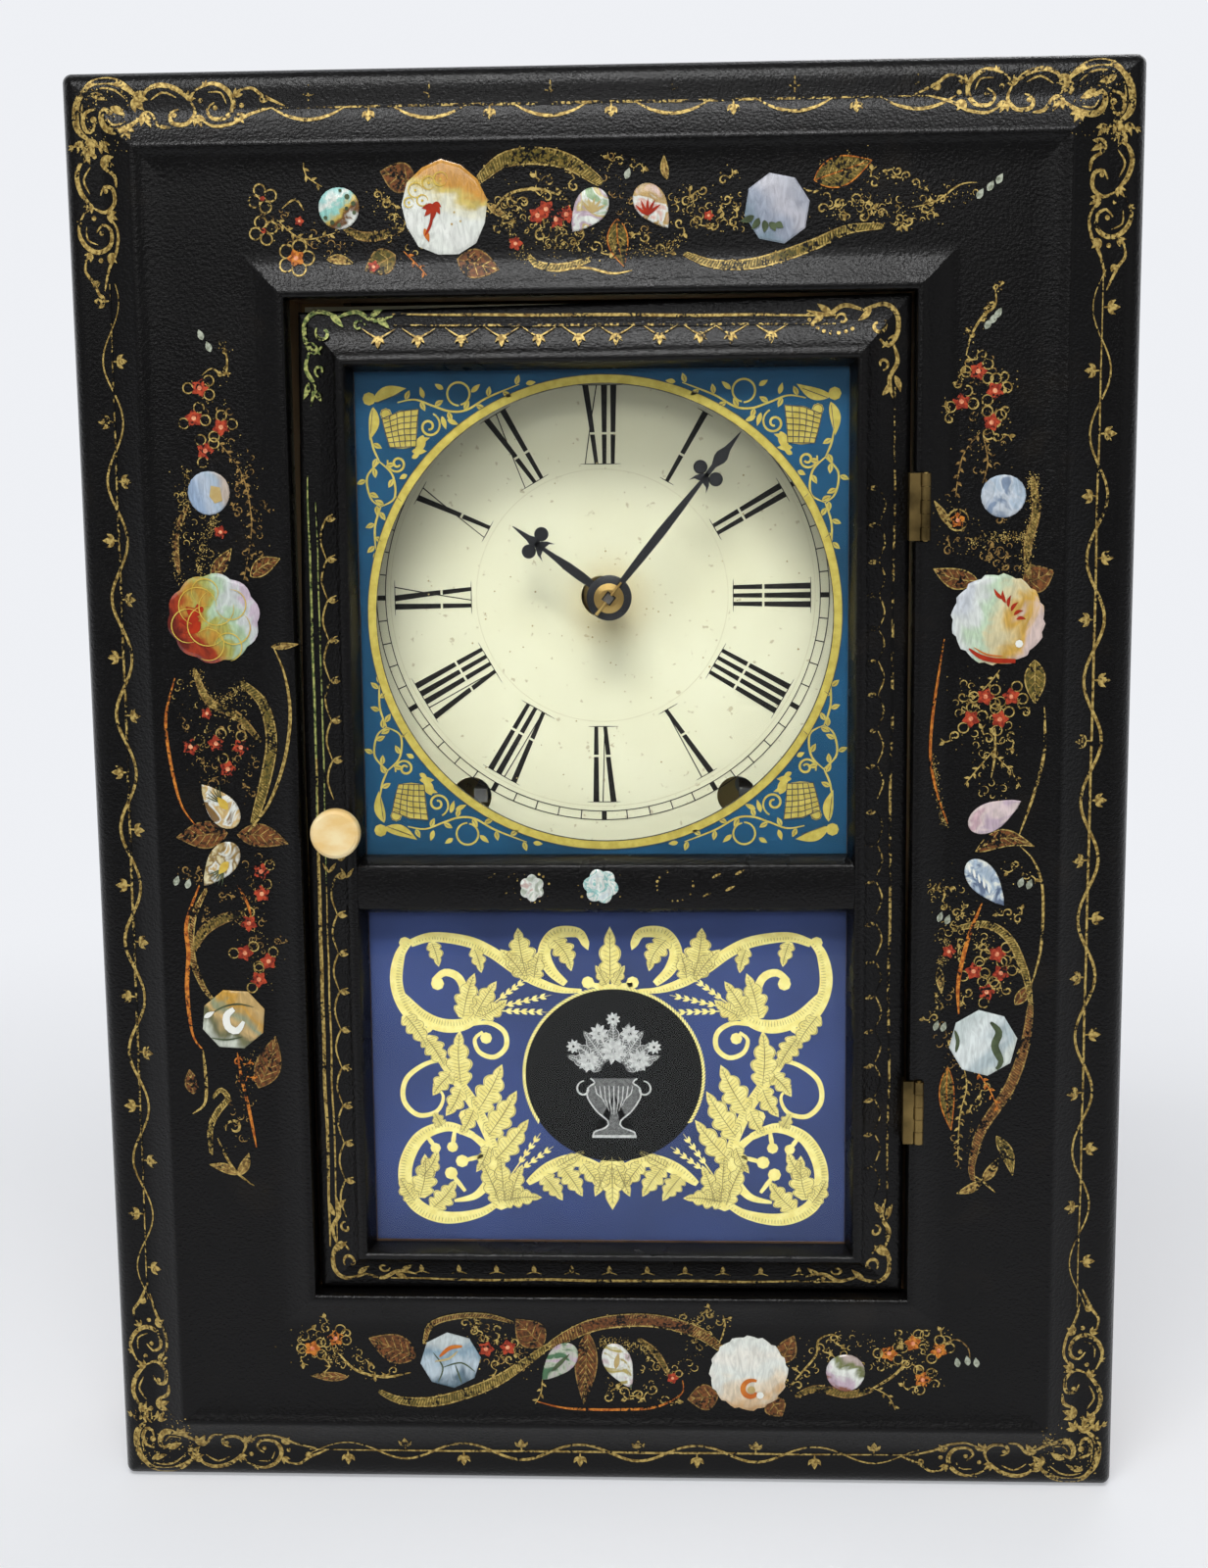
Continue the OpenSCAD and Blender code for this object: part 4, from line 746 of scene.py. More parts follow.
def corner_ornament(paint, origin, su, sv):
    """Rocaille that hugs a corner, with scrolls along both sides"""
    move = mirrored(origin, su, sv)

    def swapped(p):
        return move((p[1], p[0]))

    for points, width, start in (
            ([(7.2, 6.2), (9.4, 3.6), (12.6, 2.6), (16.6, 2.9), (20.6, 5), (23.6, 7.6)], 2.3, 0.5),
            ([(8.4, 4.8), (5.6, 8.4), (4.6, 13), (5.4, 17), (8.6, 20)], 2.2, 0.5),
            ([(16, 12.4), (13.6, 11), (12.6, 13.4), (14, 16.6), (17.4, 17.8), (21.4, 16.4),
            (25, 13.6)], 1.9, 0.5),
            ([(10.6, 11), (8, 11.8), (6.9, 14.6), (8, 17.4), (10, 17), (10.6, 14.6)], 1.2, 0.5),
            ([(10, 5.6), (13.4, 4.8), (17, 5.6), (20, 8)], 0.6, 0.3),
            ([(7, 9.4), (6.6, 12.6), (7.2, 15)], 0.5, 0.3),
            ([(14.6, 13.6), (16.4, 15.8), (19.6, 15.4)], 0.6, 0.3)):
        paint.flow(points, width, start, 0.3, move)
    paint.leaf((9.4, 6.6), (14.6, 8.4), 2.2, 0.3, move)
    paint.leaf((15.4, 10.4), (20, 13), 2.3, 0.3, move)
    paint.dot((10.2, 14), 1.0, move)
    for p, angle, size in (((22, 8.4), 40, 5.0), ((8.6, 19.4), 75, 5.4), ((6, 20), 110, 4.0),
            ((12, 20.6), 50, 4.4), ((20, 16.4), 60, 4.6), ((3.4, 21.4), 150, 2.2)):
        tuft(paint, p, angle, size, move)
    for _ in range(110):
        paint.dot((random.uniform(5, 24), random.uniform(5, 24)), random.uniform(0.12, 0.26), move)
    scroll_run(paint, move)
    scroll_run(paint, swapped)


def bud(paint, p, angle, size=1.0):
    move = frame_at(p, angle, 1, size)
    paint.stroke([(0, 0), (0.9, 0), (1.8, 0)], 0.6, 0.6, 0.8, move)
    paint.leaf((1.3, 0), (5.0, 0), 1.9, 0, move)
    paint.leaf((1.2, 0.3), (3.6, 2.1), 1.3, 0.2, move)
    paint.leaf((1.2, -0.3), (3.6, -2.1), 1.3, -0.2, move)


VINE_REACH = 3.0


def vine(line, wave, a, b, period, phase):
    """Straight line crossed by a waving strand with buds on both sides, from a to b"""
    span = math.dist(a, b)
    along = ((b[0] - a[0]) / span, (b[1] - a[1]) / span)
    side = (-along[1], along[0])
    angle = angle_of((0, 0), side)

    def on(t, off):
        return (a[0] + along[0] * t + side[0] * off, a[1] + along[1] * t + side[1] * off)

    n = int(span / 2)
    drift = [0.35 * unevenness(*on(span * i / n, 0), 30, 12) for i in range(n + 1)]
    line.stroke([on(span * i / n, drift[i]) for i in range(n + 1)], 0.75, 0.4, 0.4)
    n = int(span)
    points = []
    for i in range(n + 1):
        t = span * i / n
        points.append(on(t, VINE_REACH * math.sin(2 * math.pi * (t - phase) / period)))
    wave.stroke(points, 0.95, 0.3, 0.3)
    k = 0
    while True:
        t = phase + period * (0.25 + 0.5 * k)
        if t > span - 4:
            break
        if t > 4:
            bud(wave, on(t, 0.4 if k % 2 else -0.4), angle if k % 2 else angle + 180)
        k += 1


def garland(line, wave, a, b, period, phase):
    """Straight line with swags below it, a small cross over each and a bud between them"""
    n = int((b[0] - a[0]) / 2)
    points = []
    for i in range(n + 1):
        x = a[0] + (b[0] - a[0]) * i / n
        points.append((x, a[1] + 0.3 * unevenness(x, a[1], 30, 12)))
    line.stroke(points, 0.8, 0.4, 0.4)
    z = a[1]
    x = a[0] + phase
    while x < b[0] - 6:
        swag = [(x - 11, z), (x - 6, z - 2.6), (x, z - 3.8), (x + 6, z - 2.6), (x + 11, z)]
        wave.flow(swag, 1.0, 0.3, 0.3)
        line.stroke([(x, z + 1.8), (x, z + 4.2), (x, z + 6.6)], 0.6, 0.6, 0.5)
        line.stroke([(x - 1.6, z + 3.8), (x, z + 3.4), (x + 1.6, z + 3.8)], 0.5, 0.6, 0.6)
        if x + period / 2 < b[0] - 4:
            bud(wave, (x + period / 2, z - 0.4), 270, 0.85)
        x += period


def make_border():
    strong = front_paint("border_gold", gold)
    faint = front_paint("border_gold_worn", gold_worn)
    w = FRONT_X
    for sx, sz in ((-1, 0), (1, 0), (1, 1), (-1, 1)):
        corner_ornament(strong, (sx * w, sz * FRONT_Z), -sx, 1 - 2 * sz)
    vine(strong, strong, (-w + 62, 11), (w - 62, 11.2), 38, 3)
    garland(faint, strong, (-w + 60, FRONT_Z - 11.5), (w - 60, FRONT_Z - 11.5), 36, 15)
    vine(faint, strong, (-w + 10.5, 62), (-w + 13, FRONT_Z - 62), 36, 2)
    vine(strong, strong, (w - 12.6, 62), (w - 12, FRONT_Z - 62), 37, 6)
    strong.build()
    faint.build()


make_border()


# Flower sprays of the four panels

SPRAY = {
    "rust": front_paint("spray_rust", rust, 0.05),
    "olive": front_paint("spray_olive", olive, 0.08),
    "dim": front_paint("spray_dim_gold", gold_dim, 0.11),
    "gold": front_paint("spray_gold", gold, 0.14),
    "amber": front_paint("spray_amber", amber, 0.17),
    "red": front_paint("spray_red", red, 0.2),
    "pink": front_paint("spray_eyes", pink, 0.23),
    "drop": front_paint("spray_drops", pearl_drop, 0.2),
}


def flower(p, turn, loops, petals, r=2.8):
    """Five short petals round a pale eye, with gold loops beyond"""
    for k in range(5):
        move = frame_at(p, turn + 72 * k)
        SPRAY[petals].leaf((0.2, 0), (r, 0), r * 0.75, 0, move)
        SPRAY["gold"].stroke([(0.9, 0), (r * 0.6, 0.1), (r, 0)], 0.22, 0.5, 0.3, move)
    SPRAY["pink"].dot(p, r * 0.26)
    for k in range(loops):
        move = frame_at(p, turn + 36 + 144 * k)
        SPRAY["gold"].stroke(whorl((r * 1.25, 0), r * 0.52, r * 0.58, 180, 520), 0.45, 0.6, 0.6, move)


def veined_leaf(base, tip, width, colour, bend=0.0, edge="gold"):
    """Leaf with a painted rim, a midrib and side veins"""
    SPRAY[colour].leaf(base, tip, width, bend)
    length = math.dist(base, tip)
    move = frame_at(base, angle_of(base, tip))

    def rim(t, s):
        return (length * t, s * math.sin(math.pi * t ** 0.8) * width / 2 + bend * math.sin(math.pi * t))

    for s in (1, -1):
        SPRAY[edge].stroke([rim(i / LEAF_STEPS, s) for i in range(LEAF_STEPS + 1)], 0.4, 0.5, 0.6, move)
    SPRAY[edge].stroke([rim(i / LEAF_STEPS, 0) for i in range(LEAF_STEPS)], 0.35, 0.8, 0.3, move)
    veins = max(3, int(length / 2.2))
    for i in range(1, veins):
        t = i / veins
        for s in (-0.8, 0.8):
            SPRAY["gold"].straight(rim(t, 0), rim(min(1, t + 0.16), s), 0.24, 0.8, 0.4, move)


def brown_leaf(base, tip, width):
    veined_leaf(base, tip, width, "rust", 0, "dim")


TILT = 0.5


def hatched_band(points, width, colour, edge="gold"):
    """Broad scroll with gold edges and short strokes across"""
    line = curve(points, 0.8)
    SPRAY[colour].stroke(line, width, 0.25, 0.25)
    sides = ([], [])
    n = len(line) - 1
    for i in range(1, n):
        along = heading(line, i)
        t = i / n
        half = width / 2 * (0.25 + 0.75 * math.sin(math.pi * t) ** 0.5)
        ends = []
        for side, s in zip(sides, (1, -1)):
            end = (line[i][0] - along.y * half * s, line[i][1] + along.x * half * s)
            side.append(end)
            ends.append((end[0] + along.x * TILT * s, end[1] + along.y * TILT * s))
        reach = random.uniform(0.5, 1)
        middle = midpoint(*ends)
        ends = [toward(middle, end, reach) for end in ends]
        SPRAY[edge].stroke([ends[0], middle, ends[1]], 0.3, 0.5, 0.5)
        for end in ends:
            if random.random() < 0.6:
                q = toward(middle, end, random.uniform(1.0, 1.35))
                SPRAY["gold"].dot(q, random.uniform(0.14, 0.28))
    for side in sides:
        SPRAY[edge].stroke(side, 0.45, 0.4, 0.4)


def stem(points, width, colour="gold"):
    SPRAY[colour].flow(points, width, 0.3, 0.3)


def curls(places, r, colour="gold"):
    """Small C-shaped flourishes"""
    for p in places:
        a = random.uniform(0, 360)
        turn = random.choice((-1, 1))
        move = frame_at(p, a, turn)
        SPRAY[colour].stroke(whorl((0, 0), r * 1.15, r * 0.3, -60, 300), 0.5, 0.2, 0.8, move)
        SPRAY[colour].flow([(0.6 * r, -r), (1.5 * r, -1.5 * r), (2.5 * r, -1.1 * r)], 0.45, 0.8, 0.2, move)
        SPRAY[colour].leaf((1.6 * r, -1.5 * r), (2.4 * r, -2.3 * r), 0.7 * r, 0, move)
        for _ in range(7):
            q = (random.gauss(r * 0.8, r), random.gauss(-r * 0.5, r))
            SPRAY[colour].dot(q, random.uniform(0.14, 0.26), move)


def sprig(points, colour="gold"):
    """Fine stalk with pairs of tiny leaves"""
    line = curve(points, 1.6)
    SPRAY[colour].stroke(line, 0.4, 0.6, 0.4)
    for i in range(1, len(line) - 1):
        move = frame_at(line[i], angle_of(line[i], line[i + 1]) + (50 if i % 2 else -50))
        SPRAY[colour].leaf((0, 0), (1.9, 0), 0.8, 0, move)


def stipple(points, width, count):
    """Cloud of gold specks along a line"""
    line = curve(points, 0.7)
    for _ in range(count):
        p = random.choice(line)
        q = (p[0] + random.gauss(0, width / 3), p[1] + random.gauss(0, width / 3))
        r = random.uniform(0.12, 0.24)
        SPRAY["gold"].patch([(q[0] + r, q[1]), (q[0], q[1] + r), (q[0] - r, q[1]), (q[0], q[1] - r)])


def filigree(points, count, width, colour="gold"):
    """Fine broken scrollwork scattered along a line"""
    line = curve(points, 0.7)
    for _ in range(count):
        p = random.choice(line)
        q = (p[0] + random.uniform(-width, width) / 2, p[1] + random.uniform(-width, width) / 2)
        r = random.uniform(0.7, 1.5)
        turned = frame_at(q, random.uniform(0, 360), random.choice((-1, 1)))
        SPRAY[colour].stroke(whorl((0, 0), r, r * 0.5, 0, random.uniform(150, 330)), 0.3, 0.3, 0.8, turned)
    stipple(points, width, count * 3)


def drops(places, turn=70):
    for p in places:
        SPRAY["drop"].leaf((-1.7, 0), (1.7, 0), 1.9, 0, frame_at(p, turn))


def flowers(places, petals="red", loops=3):
    for k, p in enumerate(places):
        flower(p, 25 * k, loops, petals)


def left_spray():
    drops([(-120, 368.5), (-117.7, 365)], 110)
    stem([(-113.5, 366), (-112.2, 361), (-113.2, 356.5), (-117, 358.5), (-120, 356.5)], 0.6)
    curls([(-113, 363.5), (-114.5, 357)], 1.0)
    flowers([(-120.9, 352.8), (-123, 343.8), (-114.8, 341), (-119.9, 334)])
    sprig([(-116, 337), (-109, 327), (-106.5, 312), (-109.5, 295)], "dim")
    curls([(-108, 326), (-103, 318), (-111, 315), (-104, 303)], 1.2, "dim")
    stipple([(-126, 328), (-126, 318), (-129.5, 309), (-130.5, 299), (-127, 293)], 2.4, 260)
    stipple([(-117, 314), (-121.5, 306), (-123, 297)], 3.0, 220)
    hatched_band([(-126, 318), (-130, 308), (-129.5, 297)], 1.6, "rust", "dim")
    flower((-116.2, 309.5), 0, 0, "red", 2.2)
    veined_leaf((-119.5, 295.5), (-113, 304.5), 4.2, "rust")
    veined_leaf((-107.5, 296), (-97.5, 301.5), 5.0, "rust", 0.8)
    veined_leaf((-101.5, 274.5), (-92.8, 275.5), 1.8, "dim")
    stem([(-101, 275), (-97.2, 266), (-95.8, 254), (-98.2, 240), (-104, 226), (-111, 217)], 1.1)
    stem([(-132, 265), (-135.2, 253), (-134.5, 240), (-131.8, 226), (-127.5, 219)], 0.9, "amber")
    stipple([(-125, 266), (-123, 260), (-118, 258), (-112, 262)], 2.6, 260)
    hatched_band([(-112, 264), (-105, 257), (-102.5, 246), (-105, 233), (-109.5, 219)], 3.4, "olive")
    hatched_band([(-126, 268), (-122, 258), (-113, 253), (-106, 245)], 2.2, "olive", "dim")
    flower((-122.5, 254), 0, 1, "red", 2.0)
    curls([(-129, 250), (-112, 250), (-118, 249), (-124, 231), (-109, 229)], 1.4, "dim")
    flowers([(-128, 243.6), (-120, 244.6), (-112.3, 243.4), (-116.6, 236.6)], "red", 1)
    brown_leaf((-117.5, 216.5), (-133.5, 215.2), 8.4)
    veined_leaf((-114.5, 216), (-98, 213.6), 7.0, "rust", 0.8, "dim")
    flowers([(-107.4, 204.3), (-107.4, 197.2), (-111.8, 187.8)], "red", 1)
    flowers([(-113.4, 178.3), (-106, 175.6), (-109.3, 169.8)], "red", 2)
    curls([(-131, 205), (-128, 202), (-125, 192), (-120, 197), (-117, 190), (-103, 182)], 1.3, "dim")
    drops([(-134, 201.5), (-130.5, 200.5)])
    stem([(-127, 200), (-131.5, 188), (-131.3, 178), (-132.2, 166), (-131, 152), (-128, 147)], 1.3, "amber")
    hatched_band([(-124.7, 199), (-129.5, 189), (-130.3, 178), (-127.4, 168), (-124, 163)], 1.8, "rust")
    hatched_band([(-130, 179), (-126, 185.5), (-120, 189.2), (-113, 191)], 3.0, "olive", "dim")
    stem([(-115, 200), (-112, 194), (-111, 189)], 0.8, "amber")
    veined_leaf((-110.7, 134.5), (-104.6, 151.5), 8.0, "rust", -0.8, "dim")
    brown_leaf((-131.5, 132.5), (-132.5, 140.5), 4.0)
    stem([(-128, 147), (-127.4, 138), (-128, 129.5), (-132, 126)], 1.0)
    stem([(-117, 146), (-116, 138), (-114, 128), (-112, 115)], 1.0, "amber")
    curls([(-117, 143), (-116, 137.5)], 1.6, "amber")
    hatched_band([(-125.5, 131), (-122.8, 133.8), (-120.6, 131), (-124, 126.6), (-126.6, 121),
        (-126.6, 112.5)], 1.6, "olive")
    stem(whorl((-118.8, 121.5), 3.0, 1.0, 200, -160), 0.9)
    stem([(-124.4, 118), (-121.7, 111.5), (-118.2, 106.2), (-113.2, 102.2)], 0.8)
    veined_leaf((-118.2, 106), (-127.3, 109.2), 2.8, "dim", -0.6)
    veined_leaf((-118.2, 105.6), (-114.5, 113), 2.8, "dim", -0.5)
    filigree([(-118, 352), (-114, 340), (-108, 326), (-106, 306)], 26, 9, "dim")
    filigree([(-126, 326), (-124, 310), (-120, 300)], 16, 8)
    filigree([(-130, 262), (-124, 254), (-116, 250), (-110, 262)], 18, 8)
    filigree([(-128, 243), (-120, 236), (-112, 240)], 24, 9, "dim")
    filigree([(-108, 206), (-111, 190), (-108, 172)], 24, 8, "dim")
    filigree([(-112, 150), (-115, 134), (-118, 116)], 16, 7, "dim")


def right_spray():
    stem([(116.8, 379), (116.9, 374), (113, 370.5), (109.9, 365), (108.6, 359.5)], 0.7)
    curls([(117, 379), (116, 374.5), (113.4, 370), (110.4, 365.5)], 0.9)
    drops([(114.9, 368.6), (116.5, 370.2), (117.9, 371.8)], 60)
    flowers([(112.2, 354.9), (107.4, 346.1), (117.3, 349.2), (116.4, 339.9)])
    curls([(113.5, 359.6), (106, 351.3), (119.8, 353.6), (104, 341), (120.6, 343.4), (118, 335.8)], 1.7)
    sprig([(113, 337), (108, 330), (106, 318)], "dim")
    sprig([(114, 336), (115.5, 328), (114, 322)], "dim")
    stipple([(128.7, 324), (129.5, 313), (127.8, 305), (127.4, 295)], 3.2, 420)
    stipple([(127, 306), (119, 306), (111, 305)], 2.4, 260)
    hatched_band([(128.7, 324), (130, 313), (127.8, 304), (128, 294)], 2.2, "olive", "dim")
    flower((106.8, 311.1), 20, 0, "amber", 2.4)
    stem(whorl((106.8, 311.1), 3.2, 3.0, 0, 340), 0.6)
    veined_leaf((105, 309), (99.5, 317), 2.0, "dim")
    veined_leaf((113, 293), (99.5, 296.8), 6.0, "rust", 1.2)
    brown_leaf((126.5, 291.5), (135.6, 295.8), 8.0)
    curls([(116, 300), (121, 297), (119, 311), (104, 302)], 1.4, "dim")
    stem([(103.2, 275.6), (101.4, 264), (99.8, 252), (99.3, 240), (101.4, 229), (105, 219)], 0.9, "amber")
    veined_leaf((130.5, 269), (130.8, 255.5), 6.0, "olive", 0)
    sprig([(120, 266), (117, 262), (112, 257)])
    flowers([(115.9, 257.9), (123.6, 257.9), (111.6, 251.2), (120.3, 251)])
    curls([(109, 258), (128, 253), (107, 246), (117, 245), (124, 246)], 1.7)
    stem([(119, 248), (119, 240), (118, 233)], 0.7)
    sprig([(119, 242), (114, 236), (110, 231)])
    sprig([(119, 240), (124, 235), (127, 230)])
    stipple([(100, 240), (101.5, 230), (104, 219)], 1.8, 200)
    stem([(133.6, 255), (133.8, 241), (131, 228), (126.7, 215)], 0.9)
    veined_leaf((113.6, 210.2), (131.4, 211.8), 5.4, "rust", 3.4)
    stem([(127, 212), (131.5, 207), (134.2, 198), (134, 180), (131, 167)], 0.8)
    curls([(126, 206), (129, 203), (124, 191), (127, 189)], 1.5)
    drops([(127.6, 200.6), (130.2, 200)])
    curls([(103, 199), (108, 191), (104, 193)], 1.4)
    drops([(103, 190), (105.4, 189)])
    hatched_band([(106.6, 185.6), (116.6, 187.4), (124.2, 183), (129.4, 172), (131.4, 161.8)], 2.2, "olive")
    hatched_band([(131.4, 163), (129.8, 149.4), (125.3, 135.6), (116.9, 121.7), (114, 110.5), (114.6, 105)],
        3.0, "rust", "dim")
    stem([(115.8, 194), (111.8, 183), (109, 169.5), (109.2, 159)], 1.3, "amber")
    stipple([(103, 184), (106, 180), (103, 175)], 2.2, 140)
    flower((105.9, 178.9), 0, 0, "red", 2.3)
    veined_leaf((102.8, 174), (103.8, 165.6), 2.2, "dim")
    flowers([(120.7, 178), (113.6, 172.6), (122, 172), (117.7, 166)])
    curls([(109.6, 176.4), (125.6, 176), (124, 166.5), (112, 166), (116, 180)], 1.6)
    veined_leaf((126.5, 162), (131.5, 168.6), 3.4, "rust")
    curls([(103, 161.4), (101.6, 158)], 1.5)
    drops([(102.2, 155.6), (104.6, 155)])
    veined_leaf((106, 142), (107.4, 121.6), 4.6, "olive", -0.8, "amber")
    sprig([(110, 146), (112, 136), (110, 126), (109.6, 112)])
    sprig([(114, 142), (119, 135), (122, 128)], "amber")
    curls([(118, 136), (115.4, 131), (107, 150)], 1.6)
    veined_leaf((121.5, 119.8), (126.7, 107), 3.8, "olive", 1.0)
    stem([(114.4, 107), (117.4, 105), (121.4, 101.4)], 0.6)
    veined_leaf((117.4, 105), (109.4, 101), 2.6, "dim", 0.5)
    veined_leaf((117.4, 105), (122.2, 112.5), 3.0, "dim", -0.4)
    filigree([(112, 356), (112, 342), (116, 330)], 26, 12, "dim")
    filigree([(104, 314), (112, 304), (122, 298)], 26, 10, "dim")
    filigree([(110, 260), (118, 252), (118, 240), (120, 230)], 34, 12)
    filigree([(104, 202), (108, 190), (118, 178), (118, 168)], 34, 11)
    filigree([(104, 166), (106, 150), (112, 132), (112, 114)], 24, 8, "dim")


def top_spray():
    for p in ((-99.8, 407.9), (-99.8, 398.6)):
        for a in (20, 110, 200, 290):
            SPRAY["gold"].stroke(whorl((2.6, 0), 1.8, 1.6, 180, 520), 0.5, 0.6, 0.6, frame_at(p, a))
        SPRAY["red"].dot(p, 0.8)
    flower((-89, 401.2), 0, 0, "red", 1.5)
    for a in range(0, 360, 72):
        move = frame_at((-90.3, 390.5), a)
        SPRAY["gold"].stroke(whorl((3.4, 0), 2.1, 2.0, 180, 520), 0.5, 0.6, 0.6, move)
    flower((-90.3, 390.5), 36, 0, "amber", 2.8)
    sprig([(-87.2, 418), (-86.6, 414.3), (-81.8, 411)])
    sprig([(-96, 402), (-88, 396), (-77, 398)])
    stem([(-94, 405), (-90, 407.5), (-87.4, 404)], 0.6)
    veined_leaf((-81, 390), (-73, 388.6), 2.6, "dim", 0.6)
    hatched_band([(-76, 399.4), (-71, 396.7), (-65, 396.7), (-57.5, 399)], 2.4, "olive", "dim")
    brown_leaf((-54, 411.8), (-64.4, 415.2), 8.6)
    curls([(-65.5, 408.4), (-63, 406)], 1.4)
    veined_leaf((-60.5, 391), (-69.5, 386.5), 7.5, "olive", 0, "dim")
    flower((-67, 387.6), 0, 0, "red", 2.0)
    sprig([(-58, 392), (-53.5, 387.5), (-51, 384.8)], "amber")
    brown_leaf((-42, 389.5), (-29.5, 386.2), 8.4)
    hatched_band([(-35.5, 412), (-28, 417.6), (-18, 418.8), (-8.3, 416.8), (1.2, 410.6)], 4.6, "olive")
    stem([(-32, 402.5), (-26.5, 408), (-18, 409.4), (-10, 407)], 0.8)
    veined_leaf((-33, 405.5), (-26.5, 400.8), 2.2, "dim")
    curls([(-22, 405.5), (-15, 407), (-9.6, 404.5), (-14.6, 411.5), (-7, 410), (-30, 398.5)], 1.8)
    curls([(-11, 394), (-6, 396.5), (-1, 392.4), (-17, 396)], 2.1)
    flowers([(-18, 401.8), (-12.5, 400.6), (-15.4, 403.6), (-9.4, 402)], "red", 0)
    stipple([(-28, 404), (-26, 396), (-22, 390)], 3.2, 160)
    flower((-24.6, 393.8), 0, 0, "red", 2.3)
    hatched_band([(-21, 390.5), (-18, 387.6), (-11, 386.6), (-2, 389)], 2.0, "olive")
    stem([(-12, 385.6), (-4, 386.4), (4, 384.6), (10, 385.4)], 0.7)
    veined_leaf((5.6, 400.5), (7.6, 386.5), 6.0, "olive", -0.8, "amber")
    curls([(6.5, 416.8), (10.4, 416.6), (14, 395), (18, 391.6)], 1.6)
    drops([(8.8, 413.4)])
    veined_leaf((20.4, 411.6), (19.6, 418.4), 2.0, "dim", 0.4)
    stipple([(1, 396), (8, 391), (18, 392), (24, 394)], 2.4, 200)
    curls([(26, 405), (31, 408.4), (37, 411), (29, 399.6), (34, 398), (24, 399), (40, 398.8),
        (38, 405.6)], 1.5)
    flower((32.6, 401), 0, 0, "red", 1.6)
    hatched_band([(25.3, 390.2), (34, 387), (44.7, 386.8), (54, 389), (64, 392.4), (73.6, 396.4),
        (84, 397.2)], 3.0, "olive")
    veined_leaf((63.5, 410.6), (80.4, 416), 8.6, "olive", 0, "amber")
    stipple([(66, 411.6), (78, 415.4)], 5.0, 120)
    stem([(60.5, 408.4), (63.5, 407.2), (66, 408.6)], 0.7)
    curls([(66, 402.4), (70.6, 404), (75.6, 405.2), (81, 409.6), (78, 400)], 1.7)
    curls([(88, 413), (90.6, 411.4), (93, 409.4), (88.4, 399.4), (91.4, 398.6), (96, 402), (101, 404.6)], 1.4)
    stem([(92, 402.4), (99, 404), (106, 408.6), (111, 409.2)], 0.5)
    drops([(112, 406), (115, 408.2), (117.6, 410.2)], 60)
    filigree([(-98, 404), (-88, 396), (-76, 392)], 20, 8, "dim")
    filigree([(-66, 408), (-60, 400), (-54, 392)], 12, 7)
    filigree([(-30, 406), (-20, 400), (-10, 394), (-4, 392)], 40, 11)
    filigree([(24, 404), (34, 400), (42, 404)], 24, 9)
    filigree([(66, 404), (80, 402), (94, 402), (108, 407)], 34, 7)
    filigree([(4, 416), (12, 396), (20, 394)], 14, 7, "dim")


